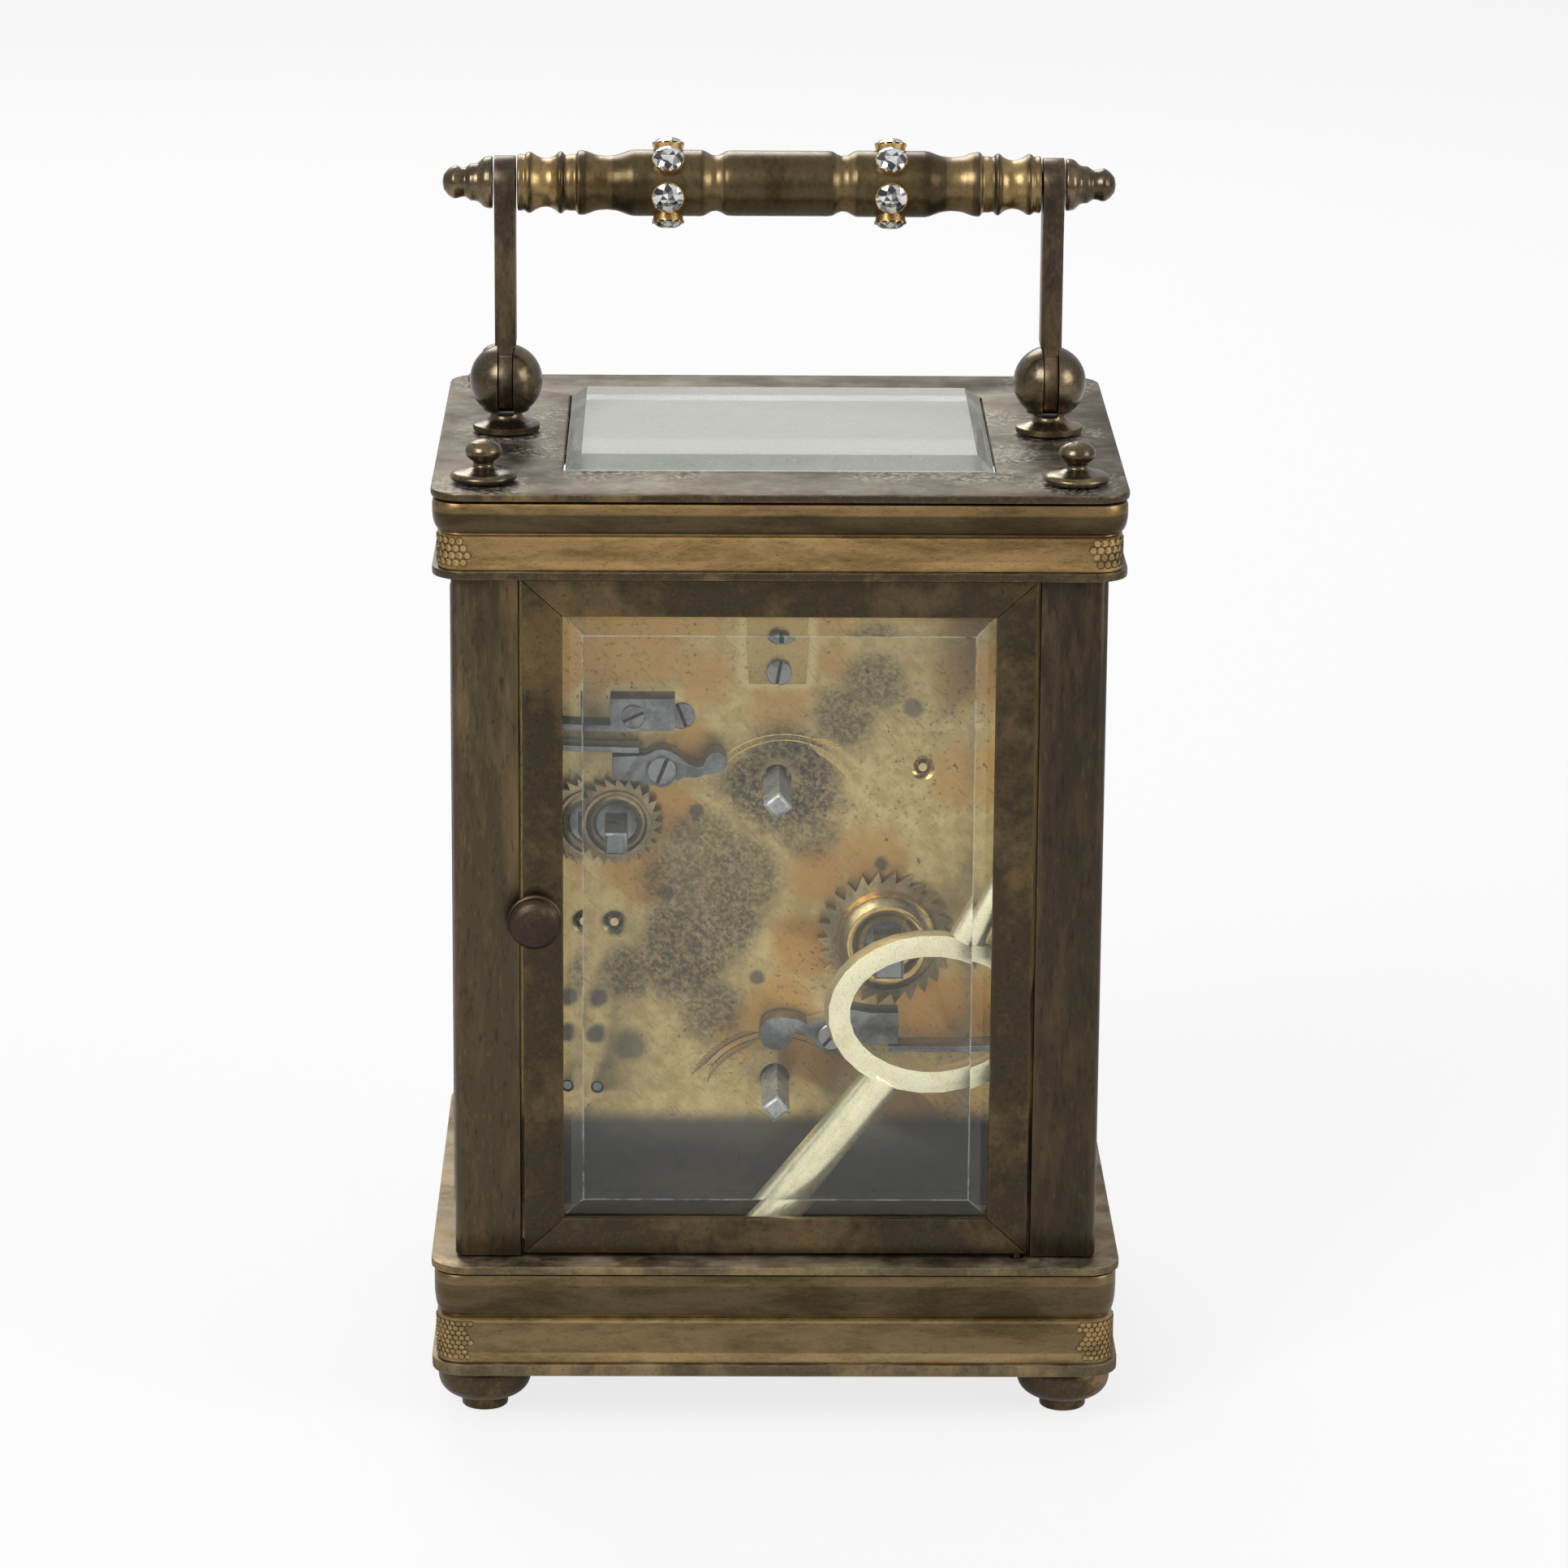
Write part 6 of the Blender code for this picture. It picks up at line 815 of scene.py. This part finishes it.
def stained_gilt(name, stains, halos):
    """Gilt brass with brown clouds round named places, an orange bloom, dark pits, and a painted reflection darkening
    its lower strip.
    """
    material, tree, place = new_material(name)
    here = place["Object"]
    cloud = noise(here, 70.0, 6.0, 0.62, 0.5)
    fine = noise(here, 480.0, 7.0, 0.7)
    colour = tinted(graded(fine, 0.38, 0.62), (0.345, 0.25, 0.098, 1), (0.46, 0.34, 0.145, 1))
    wander = times(minus(cloud, 0.5), 1.1)
    ragged = times(minus(fine, 0.5), 1.3)
    masks = {}
    for kind, uneven in (("bloom", wander), ("soot", wander), ("spot", ragged), ("lemon", wander), ("ring", 0.0)):
        masks[kind] = 0.0
        for x, z, reach, strength in stains[kind]:
            gap = distance(here, (x * mm, STAIN_Y * mm, z * mm))
            near = plus(minus(1.0, maths("DIVIDE", gap, reach * mm)), uneven)
            masks[kind] = most(masks[kind], graded(near, 0.0, 0.55, 0.0, strength))
    colour = tinted(masks["bloom"], colour, (0.375, 0.198, 0.047, 1))
    x, y, z = apart(here)
    for middle_x, half_x, middle_z, half_z in halos:
        beside = minus(maths("ABSOLUTE", minus(x, middle_x * mm)), half_x * mm)
        below = minus(maths("ABSOLUTE", minus(z, middle_z * mm)), half_z * mm)
        across = put(tree, "CombineXYZ", X=most(beside, 0.0), Y=most(below, 0.0)).outputs[0]
        gap = plus(distance(across, (0.0, 0.0, 0.0)), times(wander, 0.0022))
        masks["lemon"] = most(masks["lemon"], graded(gap, 2.3 * mm, 0.9 * mm, 0.0, 0.75))
    colour = tinted(masks["lemon"], colour, (0.52, 0.42, 0.19, 1))
    turned = put(tree, "Mapping", Vector=here, Rotation=(0, 0.8, 0)).outputs[0]
    scratch = put(tree, "Mapping", Vector=turned, Scale=(0.3, 1, 2.6)).outputs[0]
    hairs = graded(noise(scratch, 1100.0, 3.0, 0.6), 0.36, 0.52, 0.86, 1.0)
    gritty = graded(noise(here, 1800.0, 5.0, 0.7), 0.38, 0.60, 0.50, 1.0)
    soot = times(times(masks["soot"], gritty), hairs)
    colour = tinted(soot, colour, (0.040, 0.031, 0.023, 1))
    colour = tinted(masks["ring"], colour, (0.46, 0.35, 0.15, 1))
    colour = tinted(masks["spot"], colour, (0.05, 0.045, 0.04, 1))
    flecks = graded(noise(here, 1300.0, 4.0, 0.7), 0.55, 0.66)
    flecks = times(flecks, graded(cloud, 0.40, 0.60, 0.12, 0.75))
    scored = graded(noise(scratch, 1500.0, 2.0, 0.5), 0.62, 0.70, 0.0, 0.35)
    colour = tinted(most(flecks, scored), colour, (0.095, 0.070, 0.040, 1))
    pits = graded(noise(here, 700.0, 2.0, 0.5), 0.69, 0.74)
    colour = tinted(times(pits, 0.75), colour, (0.05, 0.04, 0.03, 1))
    # Below about 36 mm the plate turns dark blue-grey: a painted reflection of the dark base in the polished gilding.
    foot = graded(plus(z, times(wander, 0.0012)), 37.4 * mm, 34.6 * mm, 0.0, 0.88)
    colour = tinted(foot, colour, (0.026, 0.029, 0.033, 1))
    rough = plus(0.34, times(soot, 0.25))
    principled(tree, Base_Color=colour, Roughness=rough, Metallic=0.85, Normal=fine_bump(fine, 0.1))
    return material


THIRD_SINK, ALARM_SINK = (-19.51, 84.97), (21.68, 63.28)
PLATE_STAINS = {
    "soot": [
        (-0.9, 83.0, 10.6, 1.0), (-0.9, 83.0, 7.0, 1.0), (-9.0, 91.3, 6, 0.8), (-12.8, 97.2, 5.5, 0.75),
        (9.9, 74.2, 7, 0.75), (4.5, 69.9, 8, 0.8), (12.5, 58.9, 9.5, 0.9), (6.8, 63.7, 7, 0.85),
        (19.8, 56.4, 5.5, 0.8), (8.3, 51.6, 6, 0.75), (12.9, 69.7, 7, 0.75), (-4.0, 76.0, 5.5, 0.7),
    ],
    "spot": [
        (23.8, 52.8, 1.9, 0.9), (24.0, 47.6, 1.7, 0.9), (19.6, 46.0, 3.0, 0.7), (2.5, 55.7, 1.4, 0.8),
        (-14.0, 71.7, 1.2, 0.8), (10.7, 79.0, 1.3, 0.8), (-18.1, 93.3, 1.8, 0.7), (14.7, 67.5, 1.4, 0.7),
        (*THIRD_SINK, 1.5, 0.9), (*ALARM_SINK, 2.2, 0.95),
    ],
    "bloom": [
        (19.4, 100.6, 10, 0.8), (10.0, 97.1, 6, 0.7), (11.8, 88.8, 5, 0.8), (14.5, 79.4, 5, 0.95),
        (19.0, 70.2, 6, 0.9), (-0.3, 94.0, 6.5, 0.6), (-7.8, 99.9, 4, 0.6), (-24.9, 98.0, 6, 0.7),
        (-25.1, 83.5, 6, 0.7), (-5.4, 69.7, 6, 0.9), (-3.6, 60.5, 6, 0.95), (-13.0, 71.7, 7, 0.8),
        (-0.2, 50.9, 6.5, 0.9), (-5.6, 45.2, 7, 0.95), (-20.9, 51.7, 8, 1.0), (-19.2, 38.4, 7, 0.8),
        (4.4, 48.0, 5, 0.7),
    ],
    "ring": [(-0.2, 83.6, 3.3, 0.7), (0.0, 41.5, 3.0, 0.4)],
    "lemon": [(22.0, 66.4, 2.5, 0.5)],
}
HALOS = [(0.0, 3.4, 107.0, 9.6), (17.9, 3.8, 93.2, 1.7)]
back_gilt = stained_gilt("back_gilt", PLATE_STAINS, HALOS)
inner_gilt = tarnished("inner_gilt", (0.26, 0.19, 0.085), (0.50, 0.37, 0.17), 0.7, 80.0, 0.34, wear=0.3, dusty=0.1)
steel = tarnished(
    "worked_steel", (0.10, 0.104, 0.102), (0.26, 0.265, 0.26), 0.5, 160.0, 0.36, dusty=0.05, metallic=0.95, width=0.2
)
gold = tarnished(
    "polished_gold", (0.40, 0.26, 0.08), (0.62, 0.43, 0.15), 0.6, 160.0, 0.16, wear=0.2, dusty=0.0, width=0.2
)
cock_gilt = tarnished(
    "cock_gilt", (0.28, 0.18, 0.062), (0.42, 0.29, 0.11), 0.6, 90.0, 0.32, wear=0.4, dusty=0.0, width=0.2
)
GILT, STEEL, COCK, GOLD = range(4)
COCK_LOW, COCK_HALF = 96.5, 5.0


def back_plate_finish(spot):
    """Gilding for the plate, a cleaner one for the cock, steel for the stop block and the click studs."""
    if spot.y < PLATE_BACK - 0.02:
        return GOLD if 1.0 < (spot.xz - Vector(THIRD_SINK)).length < 1.9 else GILT
    if spot.y < PLATE_BACK + 0.02:
        return GILT
    return COCK if spot.z > COCK_LOW and abs(spot.x) < COCK_HALF else STEEL


fit(
    eased("back_plate", 0.08), "back_plate_gilt", back_gilt, "case", ["back_plate"],
    others=[steel, cock_gilt, gold], choose=back_plate_finish,
)
fit(eased("front_plate", 0.1), "front_plate_gilt", inner_gilt, "case", ["front_plate"])

# Steelwork on the back plate: clicks, their springs, the ratchets and the squares of the arbors,
# filed from steel, hardened and stoned. The ratchets and their bosses are brass.
ratchet_brass = tarnished(
    "ratchet_brass", (0.16, 0.12, 0.062), (0.38, 0.285, 0.135), 0.45, 150.0, 0.32, wear=0.6, dusty=0.0, width=0.2
)
GOING_ARBOR, ALARM_ARBOR = (-14.87, 61.57), (21.34, 77.71)


def turned_square(work, middle, angle, reach=2.6):
    """Turns the square end of an arbor about its axis and gives it a low pyramid tip."""
    outer = [v for v in work.verts if v.co.y > (PLATE_BACK - 0.6) * mm]
    spots = [v for v in outer if (v.co.xz / mm - Vector(middle)).length < reach]
    centre = Vector((middle[0] * mm, 0, middle[1] * mm))
    bmesh.ops.rotate(work, cent=centre, matrix=Matrix.Rotation(angle, 3, "Y"), verts=spots)
    tip = max(work.faces, key=lambda f: f.calc_center_median().y)
    bmesh.ops.inset_individual(work, faces=[tip], thickness=0.55 * mm, depth=0.45 * mm)
    return work


for node, body, ease in (
    ("alarm_click", "alarm_pawl", 0.12), ("going_click", "going_pawl", 0.12),
    ("alarm_click_spring", "alarm_pawl_spring", 0.08), ("going_click_spring", "going_pawl_spring", 0.08),
):
    fit(eased(node, ease), node + "_steel", steel, body, [node])
arbor_steel = tarnished(
    "arbor_steel", (0.16, 0.162, 0.155), (0.34, 0.34, 0.325), 0.5, 160.0, 0.30, wear=0.3, dusty=0.0, metallic=0.45,
    width=0.2,
)
for node, body in (("hand_set_arbor", "hand_setting"), ("alarm_set_arbor", "alarm_setting")):
    work = eased(node, 0.06)
    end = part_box(node)[1].y - 0.5 * mm
    tips = [v.co for v in work.verts if v.co.y > end]
    middle = [sum(tip[axis] for tip in tips) / len(tips) / mm for axis in (0, 2)]
    fit(turned_square(work, middle, math.radians(38)), node + "_steel", arbor_steel, body, [node])
fit(eased("alarm_hammer", 0.0), "alarm_hammer_steel", steel, "hammer", ["alarm_hammer"])
for node, body, middle, half in (
    ("going_winding_arbor", "going_winding", GOING_ARBOR, 2.8),
    ("alarm_winding_arbor", "alarm_winding", ALARM_ARBOR, 2.2),
):
    square = lambda spot: int(spot.y > PLATE_BACK + 1.8 and (spot.xz - Vector(middle)).length < half)
    work = turned_square(eased(node, 0.06), middle, 0.0)
    fit(work, node + "_cut", ratchet_brass, body, [node], others=[steel], choose=square)
BOSS_PROFILE = [
    (6.85, 1.6), (6.85, 2.4), (6.5, 3.6), (5.6, 4.5), (4.7, 4.7), (4.2, 4.2), (3.9, 3.6), (2.9, 3.5), (2.9, 1.6),
]
RIM_PROFILE = [(4.5, 1.6), (4.5, 2.5), (4.1, 2.5), (4.1, 1.6)]
for name, profile, (x, z), steps, finish, body in (
    ("going_boss", softened(BOSS_PROFILE, 0.3), GOING_ARBOR, 48, gold, "going_winding"),
    ("alarm_boss_rim", RIM_PROFILE, ALARM_ARBOR, 40, ratchet_brass, "alarm_winding"),
):
    fit(lathe(profile, (x * mm, PLATE_BACK * mm, z * mm), "Y", steps, True), name, finish, body)


SLOT_SHARE, EDGE_EASE = 0.15, 0.12


def slotted_screw(work, x, z, face, radius, height, tilt):
    """A cheese-head screw standing on a face that looks back, with a slot cut across its head."""
    start = math.asin(SLOT_SHARE)
    half_circle = [tilt + start + (math.pi - 2 * start) * step / 14 for step in range(15)]
    other_half = [angle + math.pi for angle in half_circle]
    full_circle = [tilt + 2 * math.pi * step / 28 for step in range(28)]
    for angles, low, top in (
        (full_circle, 0.0, height * 0.3), (half_circle, height * 0.2, height), (other_half, height * 0.2, height),
    ):
        rings = []
        for level, reach in ((low, radius), (top - 0.1, radius), (top, radius - EDGE_EASE)):
            spots = [Vector((x + reach * math.cos(a), face + level, z + reach * math.sin(a))) * mm for a in angles]
            rings.append([work.verts.new(spot) for spot in spots])
        for first, second in zip(rings, rings[1:]):
            for i in range(len(first)):
                work.faces.new((first[i - 1], first[i], second[i], second[i - 1]))
        work.faces.new(rings[0])
        # The top of the base disc, the floor of the slot, takes the second finish: painted shade.
        work.faces.new(rings[-1]).material_index = int(angles is full_circle)


screws = bmesh.new()
for screw in (
    (15.3, 85.6, 17.05, 1.9, 0.75, 1.95), (-7.5, 48.7, 17.05, 1.8, 0.75, 2.3), (19.13, 93.08, 17.2, 1.6, 0.55, 2.7),
    (-0.49, 104.54, 14.0, 2.3, 0.9, 1.57), (-0.19, 98.39, 14.0, 1.7, 0.8, 1.75), (12.7, 92.1, 13.0, 1.8, 0.35, 1.2),
    (30.0, 87.7, 17.05, 1.2, 0.6, 0.8), (-30.2, 47.1, 17.05, 1.3, 0.6, 0.4),
):
    slotted_screw(screws, *screw)
outward(screws)
screw_steel = tarnished(
    "screw_steel", (0.10, 0.10, 0.098), (0.24, 0.24, 0.235), 0.6, 300.0, 0.32, wear=0.4, dusty=0.0, width=0.15
)
# The floor of each screw's slot is painted near black: painted shade for the slot.
screw_slot_shade = tarnished(
    "blackened_steel", (0.02, 0.02, 0.02), (0.05, 0.05, 0.048), 0.4, 300.0, 0.5, wear=0.0, dusty=0.0
)
fit(screws, "plate_screws", screw_steel, "case", others=[screw_slot_shade])

# Engraving on the back plate: two curved arrows of fine lines with feathered tails, cut with a
# graver to show which way to turn. The upper one has kept its gilding.
engraved = bmesh.new()


def scribed(points, width):
    """A fine line lying on the back plate, as a flat ribbon through (x, z) points in millimetres."""
    sides = []
    for i, spot in enumerate(points):
        along = (Vector(points[min(i + 1, len(points) - 1)]) - Vector(points[max(i - 1, 0)])).normalized()
        across = Vector((-along.y, along.x)) * width / 2
        for corner in (Vector(spot) + across, Vector(spot) - across):
            sides.append(engraved.verts.new((corner.x * mm, (PLATE_BACK + 0.02) * mm, corner.y * mm)))
    for i in range(0, len(sides) - 2, 2):
        engraved.faces.new((sides[i], sides[i + 1], sides[i + 3], sides[i + 2])).material_index = int(points[0][1] > 60)


LINE_OFFSET, LINE_WIDTH, FEATHER_WIDTH = 0.4, 0.16, 0.12
FEATHER_ROOT, FEATHER_TIP, FEATHER_LAG = 0.42, 1.25, 1.3
for ends, tail in (
    (((6.97, 85.88), (-0.30, 89.11), (-10.28, 84.26)), 0.62), (((-8.87, 43.81), (1.63, 47.54), (8.99, 43.21)), 0.6),
):
    a, b, c = (Vector(end) for end in ends)
    d = 2 * (a.x * (b.y - c.y) + b.x * (c.y - a.y) + c.x * (a.y - b.y))
    aa, bb, cc = a.length_squared, b.length_squared, c.length_squared
    middle = Vector((
        (aa * (b.y - c.y) + bb * (c.y - a.y) + cc * (a.y - b.y)) / d,
        (aa * (c.x - b.x) + bb * (a.x - c.x) + cc * (b.x - a.x)) / d,
    ))
    radius = (a - middle).length
    start, stop = (math.atan2(*(end - middle).yx) for end in (a, c))
    around = lambda angle, offset: middle + (radius + offset) * Vector((math.cos(angle), math.sin(angle)))
    for offset in (-LINE_OFFSET, LINE_OFFSET):
        line = [start + (stop - start) * step / 32 for step in range(33)]
        scribed([around(angle, offset) for angle in line], LINE_WIDTH)
    for step in range(13):
        angle = start + (stop - start) * (tail + (1.0 - tail) * step / 12)
        lag = (start - stop) / radius * FEATHER_LAG
        for side in (1, -1):
            scribed([around(angle, side * FEATHER_ROOT), around(angle - lag, side * FEATHER_TIP)], FEATHER_WIDTH)
outward(engraved, Vector((0, 1, 0)))
cut_line = tarnished(
    "cut_line", (0.10, 0.075, 0.040), (0.22, 0.16, 0.075), 0.4, 400.0, 0.5, wear=0.0, dusty=0.0
)
fit(engraved, "engraved_arrows", cut_line, "case", others=[gold])

# Train: brass wheels cut on an engine and riveted to steel arbors between the plates, with the
# platform escapement screwed on top.
wheel_brass = tarnished(
    "wheel_brass", (0.34, 0.25, 0.11), (0.58, 0.44, 0.20), 0.75, 200.0, 0.26, wear=0.4, dusty=0.05, width=0.15
)
for node in (
    "going_barrel", "alarm_barrel", "intermediate_wheel", "third_wheel", "centre_wheel", "contrate_wheel",
    "escape_wheel", "balance_wheel", "minute_wheel", "alarm_wheel", "platform",
):
    dress(node, wheel_brass)

# Dial: white enamel on copper with fired black numerals, a minute ring and a small alarm ring,
# and blued steel hands.
enamel, tree, place = new_material("dial_enamel")
cloudy = graded(noise(place["Object"], 60.0, 4.0), 0.3, 0.7)
cream = tinted(cloudy, (0.80, 0.78, 0.70, 1), (0.86, 0.84, 0.78, 1))
principled(tree, Base_Color=cream, Roughness=0.22, Coat_Weight=0.5)
dress("dial", enamel)
INK_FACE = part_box("dial")[0].y / mm - 0.03
HOUR_MIDDLE, ALARM_MIDDLE = Vector((0.0, 83.36)), Vector((0.0, 41.49))
print_work = bmesh.new()


def inked(corners):
    """A flat fired mark on the dial, from (x, z) corners in millimetres."""
    print_work.faces.new([print_work.verts.new((x * mm, INK_FACE * mm, z * mm)) for x, z in corners])


def inked_ring(middle, inner, outer, steps=120):
    for step in range(steps):
        a, b = 2 * math.pi * step / steps, 2 * math.pi * (step + 1) / steps
        corners = (inner, a), (outer, a), (outer, b), (inner, b)
        inked([(middle.x + r * math.sin(t), middle.y + r * math.cos(t)) for r, t in corners])


def inked_stroke(middle, angle, first, second, thick, low, size):
    """A straight stroke of a numeral that stands upright on the radius at an angle."""
    along, across = Vector((math.sin(angle), math.cos(angle))), Vector((math.cos(angle), -math.sin(angle)))
    corners = (first, -thick / 2), (first, thick / 2), (second, thick / 2), (second, -thick / 2)
    inked([middle + across * (u + half) * size + along * (low + v * size) for (u, v), half in corners])


GLYPHS = {
    "I": (0.30, [((0, 0), (0, 1), 0.15)]),
    "V": (0.62, [((-0.22, 1), (0.0, 0), 0.16), ((0.24, 1), (0.0, 0), 0.06)]),
    "X": (0.62, [((-0.22, 1), (0.22, 0), 0.16), ((0.22, 1), (-0.22, 0), 0.06)]),
}
SERIF_HALF, SERIF_SHARE = 0.025, 0.96
NUMERALS = ("XII", "I", "II", "III", "IIII", "V", "VI", "VII", "VIII", "IX", "X", "XI")
for middle, low, size, rings, ticks, tick_low, tick_high in (
    (HOUR_MIDDLE, 20.6, 5.4, ((26.6, 26.75), (28.2, 28.35)), 60, 26.75, 28.2),
    (ALARM_MIDDLE, 6.5, 1.9, ((8.9, 9.0), (9.8, 9.9)), 48, 9.0, 9.8),
):
    for inner, outer in rings:
        inked_ring(middle, inner, outer)
    for tick in range(ticks):
        angle = 2 * math.pi * tick / ticks
        heavy = 0.42 if tick % (ticks // 12) == 0 else 0.16
        inked_stroke(middle, angle, (0, 0), (0, 1), heavy / (tick_high - tick_low), tick_low, tick_high - tick_low)
    for hour, numeral in enumerate(NUMERALS):
        angle = 2 * math.pi * hour / 12
        total = sum(GLYPHS[letter][0] for letter in numeral)
        cursor = -total / 2
        for letter in numeral:
            wide, strokes = GLYPHS[letter]
            shift = Vector((cursor + wide / 2, 0))
            for first, second, thick in strokes:
                inked_stroke(middle, angle, Vector(first) + shift, Vector(second) + shift, thick, low, size)
            cursor += wide
        for level in (0.0, 1.0):
            serif = (0, level - SERIF_HALF), (0, level + SERIF_HALF)
            inked_stroke(middle, angle, *serif, total * SERIF_SHARE, low, size)
outward(print_work, Vector((0, -1, 0)))
ink, tree, place = new_material("fired_black")
uneven = graded(noise(place["Object"], 300.0), 0.4, 0.7)
principled(tree, Base_Color=tinted(uneven, (0.012, 0.012, 0.016, 1), (0.03, 0.028, 0.03, 1)), Roughness=0.3)
fit(print_work, "dial_print", ink, "case")
blued = tarnished(
    "blued_steel", (0.012, 0.018, 0.05), (0.03, 0.05, 0.13), 0.5, 200.0, 0.25, wear=0.3, dusty=0.0, metallic=1.0
)
for node in ("hour_hand", "minute_hand", "alarm_hand"):
    dress(node, blued)

# Key: double-ended, with a cast brass bow, flat and oval, between a winding and a setting
# barrel. It stands loose behind the door.
key_brass = tarnished(
    "key_brass", (0.80, 0.71, 0.45), (0.93, 0.85, 0.58), 0.6, 160.0, 0.32, wear=0.6, dusty=0.05, width=0.3
)
fit(eased("winding_key", 0.25), "winding_key_cast", key_brass, "case", ["winding_key"])

# Stage: a pale floor and backdrop, three soft studio lamps, and the camera at the place that
# was worked out from the photograph's perspective.
floor_work = bmesh.new()
bmesh.ops.create_grid(floor_work, x_segments=1, y_segments=1, size=4.0)
floor = placed("floor", meshed("floor", floor_work))
material, tree, place = new_material("floor")


def seen_bare(tree, strength):
    """How far a ray sees the bare backdrop: all of it through the camera and glass, part of it in metal."""
    path = tree.nodes.new("ShaderNodeLightPath").outputs
    straight = times(plus(path["Is Camera Ray"], path["Is Transmission Ray"], True), strength)
    return plus(straight, times(path["Is Glossy Ray"], 0.25), True)


paper = put(tree, "BsdfDiffuse", Color=(0.62, 0.62, 0.62, 1)).outputs[0]
glow = put(tree, "Emission", Color=(1, 1, 1, 1), Strength=1.0).outputs[0]
surface_of(tree, put(tree, "MixShader", i0=seen_bare(tree, 0.80), i1=paper, i2=glow))
floor.data.materials.append(material)

world = bpy.data.worlds.new("studio")
bpy.context.scene.world = world
world.use_nodes = True
tree = world.node_tree
tree.nodes.clear()
height = apart(tree.nodes.new("ShaderNodeTexCoord").outputs["Generated"])[2]
sky = tinted(graded(height, -0.2, 0.9), (0.42, 0.42, 0.42, 1), (0.95, 0.95, 0.96, 1))
soft = put(tree, "Background", Color=sky, Strength=0.75).outputs[0]
white = put(tree, "Background", Color=(1, 1, 1, 1), Strength=1.0).outputs[0]
both = put(tree, "MixShader", i0=seen_bare(tree, 1.0), i1=soft, i2=white).outputs[0]
put(tree, "OutputWorld", i0=both)

AIM = Vector((0.0, 0.0, 0.08))
for name, spot, size, watts in (
    ("key_light", (0.55, 0.75, 0.75), 0.5, 9.0),
    ("fill_light", (-0.85, 0.45, 0.45), 0.45, 3.6),
    ("front_light", (0.2, -0.9, 0.8), 0.6, 6.0),
):
    lamp = bpy.data.lights.new(name, "AREA")
    lamp.shape = "SQUARE"
    lamp.size = size
    lamp.energy = watts
    holder = placed(name, lamp)
    holder.location = spot
    holder.rotation_euler = (AIM - Vector(spot)).to_track_quat("-Z", "Y").to_euler()

CAMERA_SPOT = (0.010204, 0.813460, 0.305553)
lens = bpy.data.cameras.new("camera")
lens.sensor_width = 36.0
lens.lens = 142.76
lens.clip_start = 0.01
camera = placed("camera", lens)
right = Vector((-0.99990, 0.01209, 0.00681))
up = Vector((0.00332, -0.26856, 0.96326))
back = Vector((0.01348, 0.96319, 0.26849))
facing = Matrix((right, up, back)).transposed().to_4x4()
camera.matrix_world = Matrix.Translation(CAMERA_SPOT) @ facing
bpy.context.scene.camera = camera
bpy.context.scene.view_settings.view_transform = "Standard"
